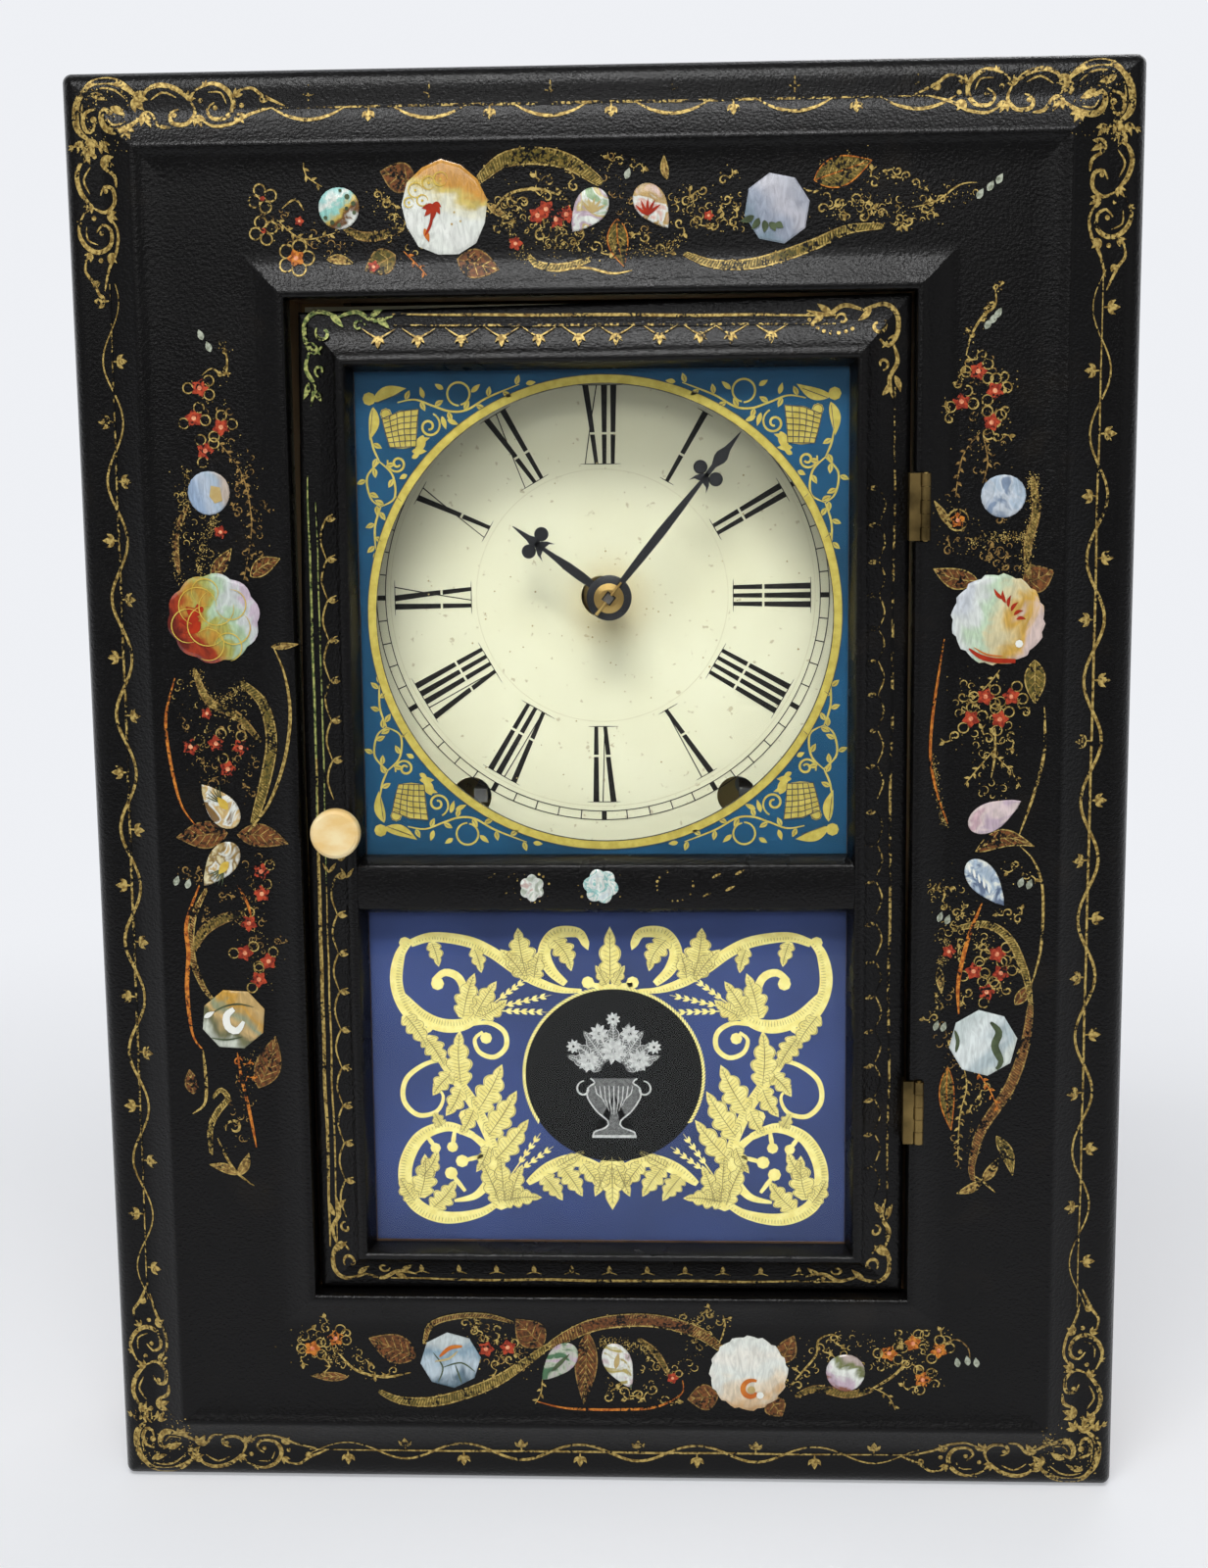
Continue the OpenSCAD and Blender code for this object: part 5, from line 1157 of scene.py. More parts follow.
def bottom_spray():
    flowers([(-96.2, 47.7), (-88.6, 51.2)], "amber")
    curls([(-99.6, 46.6), (-84.8, 52.8), (-91.5, 54.6), (-99, 51.6)], 1.8)
    sprig([(-93, 44.6), (-90.5, 41.6), (-94, 39)])
    brown_leaf((-85, 38), (-97, 38.4), 2.8)
    stem([(-88.4, 47), (-82.5, 40.6), (-73.5, 38.2), (-64.5, 39.8)], 0.9)
    curls([(-81, 44.6), (-77, 41.4), (-70, 40.4)], 1.5)
    brown_leaf((-62.6, 45), (-77.8, 51.4), 9.4)
    hatched_band([(-60, 49), (-57.6, 56), (-49.6, 59.4), (-39.5, 59.8), (-30.6, 57)], 1.9, "rust")
    brown_leaf((-21.8, 49), (-30.2, 58.6), 9.6)
    hatched_band([(-75, 33.4), (-68.5, 30.4), (-58.4, 29.9), (-48.4, 32.3), (-37, 37.1), (-27, 43.9),
        (-19, 50)], 3.2, "olive")
    hatched_band([(-20, 49), (-6.8, 56.1), (5.7, 58.6), (17, 58), (28.4, 54), (36, 48.4)], 4.8, "rust")
    curls([(-44, 54), (-40, 51.6), (-36, 55), (-31, 50.4), (-43, 44), (-37, 43), (-32.6, 44.6),
        (-46.6, 56.8)], 1.7)
    flowers([(-40, 48), (-33, 48.6)], "red", 0)
    sprig([(-22, 38), (-22.6, 33), (-24.5, 29.6)])
    brown_leaf((-7.2, 54), (-8.8, 29.6), 7.0)
    stem([(-24, 30.4), (-14, 28.2), (2, 28), (14.5, 29), (22.6, 33.4), (23, 38)], 0.8, "amber")
    curls([(4, 34), (9, 33), (13.4, 35), (-1, 32), (17, 31)], 1.9)
    stipple([(-3, 51), (6, 50), (14, 47)], 3.0, 260)
    hatched_band([(9, 52), (14.6, 47), (18.6, 40)], 1.8, "olive", "dim")
    flower((19.8, 38.8), 0, 1, "red", 2.0)
    curls([(23.6, 60), (28.6, 59.4), (32, 61), (34.6, 58), (15, 42.4)], 1.5)
    stem([(34.8, 50.6), (36.6, 56), (36, 61)], 0.6)
    brown_leaf((34.4, 33), (24.6, 31.6), 8.4)
    brown_leaf((51, 32), (54.8, 26.4), 7.0)
    brown_leaf((54.2, 44), (58.6, 53.4), 6.2)
    stem([(57, 36), (61, 41), (65.6, 47), (66.4, 52), (70.6, 54), (73.6, 52.6)], 0.7)
    curls([(62.6, 40.4), (66.6, 49.6), (71, 52.6), (60, 36.6)], 1.6)
    hatched_band([(59, 33), (66, 35.6), (76, 33.8), (84, 35.6)], 2.4, "olive", "dim")
    flowers([(88.8, 47.8), (96.3, 51.2), (104.5, 48.9), (99.5, 39)], "amber")
    curls([(92, 54.6), (100.4, 54.4), (86, 43), (94, 44.6), (103.6, 37.4), (97, 35), (107, 52)], 1.8)
    stem([(83, 35.6), (90, 40), (95, 45.6)], 0.9)
    sprig([(84, 36), (88.6, 33.4), (91, 28.6)])
    stem([(106, 51), (110, 52.6), (113.6, 50), (114.4, 46.4)], 0.5, "dim")
    drops([(110.4, 45), (113.6, 45.6), (116.4, 45)], 100)
    filigree([(-100, 50), (-90, 46), (-80, 44)], 26, 8)
    filigree([(-44, 54), (-36, 48), (-28, 44)], 28, 9, "dim")
    filigree([(0, 36), (12, 38), (22, 42), (30, 58)], 26, 8)
    filigree([(60, 44), (72, 50), (88, 48), (104, 46)], 34, 10)


left_spray()
right_spray()
top_spray()
bottom_spray()
for paint in SPRAY.values():
    paint.build()


# Mother-of-pearl inlays

PEARL_UP = 0.75
DOME = 0.15


def pearl_outline(kind, rx, rz):
    """Points round a cut piece of shell about its own middle"""
    count = {"round": 20, "facet": 13, "notch": 64, "petal": 60, "octagon": 8, "flower": 36}.get(kind, 28)
    out = []
    for i in range(count):
        a = 2 * math.pi * i / count
        r = 1.0
        if kind == "facet":
            r = 1 + 0.025 * math.sin(5 * a + 1)
        elif kind == "notch":
            r = 0.965 + 0.07 * ((16 * a / (2 * math.pi)) % 1)
        elif kind == "petal":
            r = 0.95 + 0.07 * abs(math.sin(5 * a + 0.6))
        elif kind == "flower":
            r = 0.84 + 0.18 * abs(math.sin(3 * a))
        elif kind == "round":
            r = 1 + 0.012 * math.sin(3 * a)
        if kind == "pear":
            t = math.pi - abs(a - math.pi)
            r = 0.82 + 0.62 * math.exp(-(t / 0.42) ** 1.25)
        out.append((rx * r * math.cos(a), rz * r * math.sin(a)))
    return out


def add_pearl(name, kind, p, rx, rz, turn, material, body="case", surface=front_at, up=PEARL_UP):
    """Thin plate with a ground edge, slightly domed"""
    move = frame_at(p, turn)
    outline = pearl_outline(kind, rx, rz)
    n = len(outline)
    verts = []
    for share, rise in ((1.0, -0.3), (1.0, up * 0.55), (0.95, up * 0.92), (0.9, up), (0.45, up + 0.12)):
        for q in outline:
            x, z = move((q[0] * share, q[1] * share))
            verts.append(place(x, z, surface(*p) + rise))
    verts.append(place(*p, surface(*p) + up + DOME))
    top = len(verts) - 1
    faces = tube(0, n, top // n)
    faces += [(top - n + i, top - n + (i + 1) % n, top) for i in range(n)]
    faces.append(tuple(reversed(range(n))))
    return finish_mesh(name, verts, faces, material, body, "pearl", 20)


WHITE = (0.8, 0.83, 0.76)
PALE_BLUE = (0.42, 0.52, 0.62)
LILAC = (0.55, 0.42, 0.5)
TAN = (0.62, 0.42, 0.16)
PEARLS = [
    ("round", (-77, 404.75), 6.1, 6.1, 0,
        [(0.35, 0.66, 0.62), WHITE, (0.3, 0.62, 0.55), (0.6, 0.45, 0.1), (0.16, 0.07, 0.02),
        WHITE], 150, -60),
    ("facet", (-45.5, 404.25), 12.7, 13.9, 10,
        [WHITE, (0.82, 0.84, 0.78), WHITE, (0.8, 0.79, 0.62), (0.66, 0.52, 0.15), (0.62, 0.3, 0.05)], 70, 66),
    ("pear", (-1.8, 404.4), 6.6, 5.9, 232,
        [(0.35, 0.5, 0.28), WHITE, (0.62, 0.5, 0.2), LILAC, WHITE], 120, None),
    ("pear", (15.2, 405.4), 6.6, 5.7, 305,
        [(0.75, 0.5, 0.42), WHITE, (0.5, 0.33, 0.12), (0.7, 0.5, 0.42)], 120, None),
    ("octagon", (52.7, 402.75), 9.8, 10.4, 12,
        [(0.22, 0.3, 0.36), (0.33, 0.37, 0.45), (0.5, 0.5, 0.55), (0.38, 0.4, 0.46)], 60, 40),
    ("round", (-119.25, 321.4), 6.4, 6.6, 0,
        [(0.33, 0.44, 0.6), (0.5, 0.58, 0.68), PALE_BLUE, (0.55, 0.46, 0.38)], 70, 20),
    ("petal", (-119.25, 283.3), 14.2, 13.6, 0,
        [(0.14, 0.012, 0.005), (0.38, 0.04, 0.01), (0.52, 0.28, 0.04), (0.42, 0.42, 0.1), (0.44, 0.6, 0.4),
        (0.62, 0.66, 0.64), (0.58, 0.48, 0.56)], 90, 24),
    ("pear", (-118.4, 223.4), 7.4, 5.6, 128,
        [(0.22, 0.12, 0.03), WHITE, TAN, (0.72, 0.62, 0.35)], 130, None),
    ("pear", (-118.9, 208.2), 7.4, 5.6, 232,
        [TAN, WHITE, (0.3, 0.19, 0.05), (0.75, 0.66, 0.4)], 130, None),
    ("octagon", (-117.75, 156.9), 10.4, 9.9, 18,
        [(0.62, 0.66, 0.55), (0.14, 0.14, 0.05), TAN, (0.3, 0.32, 0.18), (0.62, 0.34, 0.05), TAN], 80, 50),
    ("round", (120.25, 318.2), 6.7, 6.4, 0,
        [(0.22, 0.29, 0.4), (0.6, 0.66, 0.72), PALE_BLUE], 120, None),
    ("notch", (119.25, 281.3), 14.0, 13.7, 0,
        [(0.62, 0.66, 0.7), (0.74, 0.78, 0.74), (0.55, 0.7, 0.5), (0.72, 0.64, 0.38), (0.66, 0.4, 0.08),
        (0.7, 0.55, 0.5)], 70, -22),
    ("pear", (117.2, 220.6), 7.8, 5.4, 28,
        [(0.62, 0.42, 0.46), (0.75, 0.62, 0.6), LILAC, (0.6, 0.52, 0.45)], 80, None),
    ("pear", (115.6, 202.2), 7.8, 5.4, 308,
        [(0.12, 0.17, 0.27), PALE_BLUE, WHITE, (0.3, 0.38, 0.5)], 150, None),
    ("octagon", (116.85, 149.8), 10.6, 10.6, 8,
        [(0.6, 0.68, 0.66), (0.74, 0.8, 0.78), (0.45, 0.54, 0.56), (0.66, 0.72, 0.66)], 60, -40),
    ("octagon", (-51.5, 44.15), 9.8, 9.4, 6,
        [(0.1, 0.17, 0.22), (0.5, 0.6, 0.66), (0.24, 0.36, 0.44), (0.55, 0.62, 0.62)], 80, 90),
    ("pear", (-15.4, 45.2), 6.9, 5.4, 228,
        [(0.06, 0.17, 0.07), (0.5, 0.55, 0.42), LILAC, (0.15, 0.12, 0.08)], 130, None),
    ("pear", (2.0, 44.6), 7.2, 5.5, 296,
        [(0.45, 0.36, 0.1), WHITE, (0.62, 0.48, 0.48), (0.12, 0.16, 0.1)], 130, None),
    ("notch", (44.1, 40.75), 12.4, 12.4, 30,
        [(0.62, 0.36, 0.14), (0.8, 0.68, 0.5), WHITE, (0.85, 0.83, 0.74), WHITE], 70, 100),
    ("round", (75, 41.15), 6.2, 6.2, 0,
        [(0.25, 0.08, 0.04), LILAC, WHITE, (0.16, 0.18, 0.05), (0.5, 0.4, 0.36)], 150, 60),
]


def make_pearls():
    for i, (kind, p, rx, rz, turn, colours, scale, angle) in enumerate(PEARLS):
        name = "pearl_%02d" % (i + 1)
        sweep = None if angle is None else (p, rx, angle)
        piece = add_pearl(name, kind, p, rx, rz, turn, pearl(name, colours, scale, sweep))
        if i == 0:
            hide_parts("pearl_inlays")
    mid = pearl("pearl_mid", [WHITE, (0.25, 0.55, 0.52), WHITE, (0.6, 0.7, 0.7)], 260)
    rose = pearl("pearl_rose", [(0.6, 0.45, 0.4), WHITE, (0.45, 0.5, 0.4)], 300)
    left = add_pearl("pearl_door_1", "flower", (-22.4, 200), 3.8, 4.2, 0, rose, "door", door_at, 0.5)
    add_pearl("pearl_door_2", "flower", (-1.2, 200.5), 5.4, 5.4, 20, mid, "door", door_at, 0.5)
    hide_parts("door_pearls")


make_pearls()


def on_pearl(x, z):
    return PANEL + PEARL_UP + DOME


def decorate_pearls():
    """Thin touches painted on the pieces of shell"""
    def touch(name, colour, dark, lift):
        material = flat_paint("touch_" + name, colour, dark, 0.35, 320)
        return Paint("pearl_" + name, material, "case", "pearl", on_pearl, lift)

    ochre = touch("ochre", (0.46, 0.33, 0.13), (0.52, 0.42, 0.2), 0.06)
    orange = touch("orange", (0.62, 0.2, 0.03), (0.5, 0.12, 0.02), 0.08)
    blood = touch("blood", (0.42, 0.035, 0.01), (0.28, 0.02, 0.01), 0.1)
    green = touch("green", (0.09, 0.12, 0.06), (0.045, 0.06, 0.03), 0.06)
    line = touch("line", (0.66, 0.5, 0.1), (0.55, 0.36, 0.05), 0.12)
    white = touch("white", (0.85, 0.85, 0.78), (0.78, 0.8, 0.74), 0.14)
    # Top
    for c, r in (((-54, 409.5), 2.2), ((-50, 411.5), 2.0), ((-52, 406.5), 1.7), ((-46.5, 412.6), 2.1),
            ((-56, 406), 1.5)):
        line.stroke(whorl(c, r, r * 0.9, 0, 330), 0.4)
        line.dot(c, 0.4)
    for a, r in ((200, 3.4), (235, 4.4), (270, 4.6), (305, 3.8), (340, 2.8)):
        blood.leaf((0, 0), (r, 0), 1.7, 0.3, frame_at((-49, 405.5), a))
    blood.flow([(-49, 405), (-49.6, 400), (-51.4, 396.4)], 0.9)
    orange.leaf((-51.6, 398.5), (-50.2, 394.5), 1.6)
    for p in ((-42.6, 403), (-40.8, 400.4), (-43.4, 399.6)):
        ochre.dot(p, 0.35)
    for a in (40, 65, 90, 115, 140):
        blood.leaf((0, 0), (5.0, 0), 0.9, 0.2, frame_at((14.8, 401.2), a))
        orange.leaf((0.6, 0), (4.2, 0), 0.5, 0.2, frame_at((14.8, 401.2), a))
        ochre.leaf((0, 0), (4.6, 0), 0.9, 0.2, frame_at((-1.6, 402.2), a - 10))
        green.leaf((0.4, 0), (3.6, 0), 0.4, 0.2, frame_at((-1.6, 402.2), a - 10))
    for k in range(5):
        move = frame_at((46 + 1.5 * k, 400.6 - 0.6 * k), 200 + 34 * k)
        green.leaf((0, 0), (4.4 - 0.4 * k, 0), 2.0, 0.3, move)
    for p, r in (((-74.4, 408), 0.8), ((-72.6, 406), 0.7), ((-74.6, 404.6), 0.6), ((-79, 400.6), 0.7),
            ((-77, 399.8), 0.6), ((-72.4, 403.4), 0.6), ((-81, 402), 0.6), ((-76.4, 409.8), 0.5)):
        green.dot(p, r)
    # Left
    ochre.patch([(-118.4, 323.6), (-115.6, 323), (-115, 319), (-117.4, 318.2), (-119, 320.4)])
    for k, (x, z, r) in enumerate(((-124, 287, 6), (-127, 281, 5.4), (-121, 281, 6.4), (-118, 286.6, 5.6),
            (-113, 280.6, 5.4), (-113.6, 287.6, 4.8), (-121, 275.4, 5), (-115, 274.6, 4.4),
            (-121.6, 291.4, 4.2))):
        line.stroke(whorl((x, z), r, r * 0.94, 40 * k, 40 * k + 250), 0.35, 0.3, 0.3)
    for a, r in ((150, 7), (185, 8.4), (215, 8), (120, 5)):
        blood.leaf((2, 0), (r, 0), 3.0, 0.6, frame_at((-121.5, 283.5), a))
    for p, a in (((-118.5, 226), 128), ((-119, 205.6), 232)):
        for k in (-30, -18, -6, 6, 18, 30):
            green.leaf((0, 0), (6.0, 0), 0.4, 0.2, frame_at(p, a + k))
        line.leaf((-2.6, 0), (2.6, 0), 2.6, 0, frame_at(p, a))
    white.flow([(-114.4, 156.4), (-116.6, 153.4), (-119.4, 154.6), (-119.8, 158.2), (-117.4, 160.4)],
        2.4, 0.4, 0.6)
    white.leaf((-127, 157.6), (-123.6, 159.6), 1.6)
    green.flow([(-126, 158), (-121, 161), (-116, 162), (-111, 161)], 0.5)
    green.flow([(-125, 151), (-120, 150.4), (-115, 151.4)], 0.5)
    # Right
    for k in range(6):
        move = frame_at((120.6 + 0.8 * k, 287.4 - 1.2 * k), 130 - 26 * k)
        blood.leaf((0, 0), (4.4 - 0.3 * k, 0), 1.1, 0.4, move)
    blood.flow([(110.6, 272.6), (114, 270.2), (118.6, 269), (124.6, 268.8)], 1.5, 0.3, 0.8)
    orange.flow([(112, 273), (116, 270.8), (121, 270.2)], 0.5)
    white.dot((125.6, 274), 1.2)
    green.flow([(119, 156.6), (121.6, 153.4), (120.4, 149), (122.4, 144), (121, 141.6)], 2.4, 0.3, 0.4)
    green.flow([(108, 154), (109, 150.6), (108.4, 147)], 1.2)
    for k in range(5):
        white.leaf((0, 0), (3.2, 0), 0.7, 0, frame_at((112 + k * 1.5, 203.6 - 1.6 * k), 100))
    # Bottom
    orange.flow([(-55, 45.6), (-51.6, 48.6), (-47.6, 49.2)], 1.3, 0.3, 0.4)
    ochre.flow([(-56.6, 44), (-52, 45), (-49, 47.6)], 0.7)
    for points in (((-57, 47), (-54, 42), (-55.6, 37)), ((-54, 42), (-48, 43.6), (-43.6, 40.6)),
            ((-50, 43), (-48, 36.6))):
        green.flow(points, 0.5)
    orange.stroke(whorl((45, 35.4), 3.4, 2.0, 60, 330), 1.7, 0.5, 0.7)
    ochre.dot((45, 35.4), 1.3)
    white.dot((47.8, 33.6), 1.2)
    ochre.leaf((1.6, 42), (2.6, 47.6), 1.8)
    green.leaf((-19, 41), (-13, 47), 1.4)
    for paint in (ochre, orange, blood, green, line, white):
        paint.build()


decorate_pearls()


# Gilt lines of the door

def make_door_lines():
    green = door_paint("door_gold_green", gold_green)
    bright = door_paint("door_gold", gold)
    worn = door_paint("door_gold_worn", gold_worn)

    def run(paint, a, b, width, shift):
        n = max(2, int(math.dist(a, b) / 2))
        points = []
        for i in range(n + 1):
            x, z = toward(a, b, i / n)
            points.append((x + shift * unevenness(x, z, 20, 4), z + shift * unevenness(z, x, 20, 6)))
        paint.stroke(points, width, 0.5, 0.5)

    run(green, (-89.4, 214), (-88.8, 326), 0.7, 0.5)
    run(green, (-87, 196), (-86.4, 318), 0.5, 0.5)
    run(bright, (-89.4, 82), (-89.2, 240), 1.1, 0.5)
    run(bright, (-87, 84), (-87, 200), 0.6, 0.5)
    run(worn, (87.6, 84), (87.8, 352), 0.8, 0.5)
    run(bright, (-62, 373.6), (70, 371.9), 0.9, 0.4)
    run(worn, (-62, 370.4), (70, 369.4), 0.7, 0.4)
    run(bright, (-70, 71.6), (72, 71.6), 0.9, 0.5)
    for x in (-66, -54, -41, -29, -18, -6, 5, 18, 30, 39, 51):
        bright.flow([(x - 5, 369.6), (x - 2, 367.6), (x, 366.8), (x + 2, 367.6), (x + 5, 369.4)], 0.5)
        bright.leaf((x, 366.8), (x, 363.6), 1.6)
        bright.leaf((x, 367.4), (x - 2, 365), 1.0)
        bright.leaf((x, 367.4), (x + 2, 365), 1.0)
    for x in range(-60, 68, 12):
        bright.leaf((x, 74), (x, 77.4), 1.5)
        bright.stroke([(x - 2.4, 73.6), (x, 74.6), (x + 2.4, 73.6)], 0.6)
    for top, count in ((313, 7), (203, 9)):
        for k in range(count):
            z = top - 12.3 * k
            bright.leaf((-83.4, z), (-80, z + 0.4), 1.7)
            bright.flow([(-80.6, z + 1.8), (-83.6, z), (-85.4, z - 6), (-83.6, z - 12)], 0.6, 0.5, 0.4)
    for z in (321, 310, 299, 289, 279, 269, 259, 248, 237, 223, 213, 201, 188, 176, 165, 154, 143,
            132, 121, 110):
        worn.leaf((83, z), (79.6, z), 1.5)
        worn.flow([(83.4, z), (85.2, z - 5), (83.4, z - 10)], 0.5, 0.5, 0.4)
    for sx, sz, paint in ((-1, 1, green), (1, 1, bright), (-1, 0, bright), (1, 0, bright)):
        move = mirrored((sx * DOOR_X, DOOR_Z1 if sz else DOOR_Z0), -sx, 1 - 2 * sz)
        paint.flow([(14, 4.6), (8, 3.2), (4.4, 6.4), (4.4, 12), (7, 15.4), (9.6, 13.4)], 1.4, 0.5, 0.4, move)
        paint.stroke(whorl((10, 9.6), 2.6, 1.0, 220, -80), 1.0, 0.4, 0.7, move)
        paint.flow([(5.4, 15), (4.2, 20), (6.6, 25), (5.4, 31)], 1.3, 0.4, 0.2, move)
        paint.flow([(14, 5), (20, 3.4), (25, 6), (31, 4.8)], 1.3, 0.4, 0.2, move)
        paint.stroke(whorl((8.6, 20.6), 1.9, 0.8, 90, 400), 0.8, 0.5, 0.7, move)
        paint.stroke(whorl((20.6, 7.4), 1.9, 0.8, 0, -310), 0.8, 0.5, 0.7, move)
        for p, q in (((6, 26), (9, 30)), ((5, 24), (3.2, 29)), ((26, 5.6), (30, 8.6)), ((24, 5), (28, 2.8)),
                     ((12, 4.4), (16, 8)), ((5, 12), (9, 16))):
            paint.leaf(p, q, 1.8, 0.3, move)
    for k in range(9):
        a = math.radians(180 + 16 * k)
        bright.dot((70 + 8 * math.cos(a), 372 + 5.5 * math.sin(a)), 0.6)
    # Wreaths of the middle rail
    for c, r in (((-22.4, 200), 5.4), ((-1.2, 200.5), 7.0), ((21.6, 200.6), 5.6)):
        for i in range(22):
            a = 2 * math.pi * i / 22
            p = (c[0] + r * math.cos(a), c[1] + r * 0.86 * math.sin(a))
            if random.random() < 0.8:
                worn.dot(p, random.uniform(0.25, 0.5))
    for x, z in ((-36, 203), (-33, 197), (-30, 203), (33, 203), (37, 199), (40, 204), (30, 197)):
        worn.leaf((x, z), (x + 3, z + 1.6), 0.9)
    for x, z in ((-84, 214), (-82, 208), (-86, 204), (-80, 203)):
        bright.leaf((x, z), (x + 2.6, z + 3.4), 1.1)
        bright.leaf((x, z), (x - 2, z + 3), 1.0)
    for paint in (green, bright, worn):
        paint.build()


make_door_lines()


# Painting behind the two panes

GROUND_H = GLASS_BACK - 0.34
MOTIF_H = GLASS_BACK - 0.27
LINE_H = GLASS_BACK - 0.12


def glass_paint(name, material, h):
    return Paint(name, material, "door", "painted_glass", lambda x, z: h, 0)


teal = flat_paint("spandrel_teal", (0.009, 0.07, 0.15), (0.007, 0.046, 0.092), 0.6, 24)
blue = flat_paint("tablet_blue", (0.042, 0.068, 0.205), (0.03, 0.046, 0.125), 0.6, 16)
glass_gold = flat_paint("glass_gold", (0.52, 0.42, 0.09), (0.42, 0.33, 0.06), 0.5)
cream = flat_paint("tablet_cream", (0.88, 0.78, 0.3), (0.8, 0.68, 0.22), 0.5)
engraved = flat_paint("engraved_lines", (0.1, 0.09, 0.07), (0.05, 0.05, 0.05), 0.6)
ribs = flat_paint("engraved_ribs", (0.4, 0.33, 0.11), (0.26, 0.22, 0.09), 0.6)
charcoal = flat_paint("medallion_dark", (0.004, 0.004, 0.004), (0.002, 0.002, 0.002), 0.6)
silver = flat_paint("medallion_light", (0.62, 0.62, 0.6), (0.4, 0.4, 0.39), 0.5, 900)
silver_dim = flat_paint("medallion_grey", (0.17, 0.17, 0.165), (0.08, 0.08, 0.08), 0.5, 900)


def glass_layer(name, material, h, hole, box):
    """Flat layer with a round hole; box holds its left, right, bottom and top"""
    (cx, cz), r = hole
    angles = [2 * math.pi * i / 120 for i in range(120)]
    angles += [math.atan2(z - cz, x - cx) % (2 * math.pi) for x in box[:2] for z in box[2:]]
    angles.sort()
    verts = []
    for a in angles:
        c = math.cos(a)
        s = math.sin(a)
        reach = min(((box[1] if c > 0 else box[0]) - cx) / c if abs(c) > 1e-9 else 1e9,
            ((box[3] if s > 0 else box[2]) - cz) / s if abs(s) > 1e-9 else 1e9)
        verts += [place(cx + r * c, cz + r * s, h), place(cx + reach * c, cz + reach * s, h)]
    n = len(angles)
    faces = [(2 * i, 2 * i + 1, 2 * ((i + 1) % n) + 1, 2 * ((i + 1) % n)) for i in range(n)]
    finish_mesh(name, verts, faces, material, "door", "painted_glass")


def spandrel(paint, fine, move):
    """Basket and vines in one corner, measured from the corner of the opening"""
    basket = [(8.2, 12.6), (13.6, 10.2), (19.4, 9.8), (18.4, 21), (14.4, 21.6), (10.4, 21.2)]
    paint.patch(basket, None, move)
    for i in range(6):
        t = i / 5
        top = (8.2 + 11.2 * t, 12.6 - 2.8 * t ** 0.6)
        foot = (10.4 + 8.0 * t, 21.3 - 0.2 * t)
        x, z = midpoint(top, foot)
        fine.stroke([top, (x - 0.2, z), foot], 0.28, 1, 1, move)
    for i in range(7):
        t = i / 6
        left = (8.2 + 2.2 * t, 12.6 + 8.6 * t)
        right = (19.4 - 1.0 * t, 9.8 + 11.2 * t)
        x, z = midpoint(left, right)
        fine.stroke([left, (x, z - 0.8 * (1 - t)), right], 0.28, 1, 1, move)
    paint.dot((4.4, 6.6), 2.0, move)
    paint.dot((9.4, 11.2), 1.8, move)
    fine.stroke(whorl((9.4, 11.2), 1.5, 1.4, 0, 350), 0.2, 1, 1, move)
    for p, q, w, bend in (((5.4, 7.4), (15.8, 3.6), 3.6, 1.0), ((5.6, 9), (4.2, 19), 3.2, 0.8),
                          ((17.8, 20), (22.6, 18.4), 1.8, 0), ((20.6, 17.6), (18.6, 23.4), 3.0, 0),
                          ((17, 22.4), (21.6, 22.4), 2.0, 0)):
        paint.leaf(p, q, w, bend, move)
    for p, q in (((6.6, 7.8), (14, 5)), ((5.4, 10), (4.6, 17))):
        fine.straight(p, q, 0.22, 1, 1, move)
    vines = [
        ([(13, 7.8), (18.3, 7), (24, 9), (29, 10.6), (34, 10.2), (40.4, 6.6), (50, 2.8)], 9),
        ([(4.6, 17.6), (5.4, 21.6), (7.1, 25.4)], 2),
        ([(7.1, 25.4), (3.2, 30), (4.1, 36.3), (7.1, 39)], 4),
        ([(7.1, 25.4), (11, 29.6), (11.4, 36.3), (7.1, 39)], 4),
        ([(7.1, 39), (5.2, 45), (5.2, 52)], 4),
    ]
    for points, count in vines:
        line = curve(points, 0.8)
        paint.stroke(line, 0.62, 0.6, 0.4, move)
        n = len(line) - 1
        for k in range(count):
            i = int(n * (k + 0.7) / count)
            p = line[min(i, n)]
            q = line[max(0, i - 2)]
            turned = frame_at(p, angle_of(q, p) + (52 if k % 2 else -52))
            paint.leaf(turned((0.4, 0)), turned((3.4, 0)), 1.6, 0, move)
            fine.stroke([turned((0.8, 0)), turned((1.7, 0)), turned((2.6, 0))], 0.18, 1, 0.6, move)
    paint.stroke(whorl((31.6, 5.4), 3.5, 3.3, 90, 440), 0.62, 0.8, 0.8, move)
    paint.stroke(whorl((22.4, 15), 4.0, 0.9, -70, 460), 0.7, 0.7, 0.9, move)
    paint.stroke(whorl((12.6, 26), 3.2, 0.8, 200, -330), 0.7, 0.7, 0.9, move)
    for p, q in (((26.4, 12), (27.6, 16)), ((28, 13), (31.4, 14.6)), ((17, 24.4), (19.4, 23.2)),
                 ((21, 6.6), (20, 3.2)), ((27, 4), (24.4, 2.4)), ((35.4, 5), (38.2, 2.6)),
                 ((15.4, 29.4), (13, 30.6)), ((52, 2.6), (55, 2.2)), ((5.2, 52.6), (5, 56))):
        paint.leaf(p, q, 1.5, 0, move)


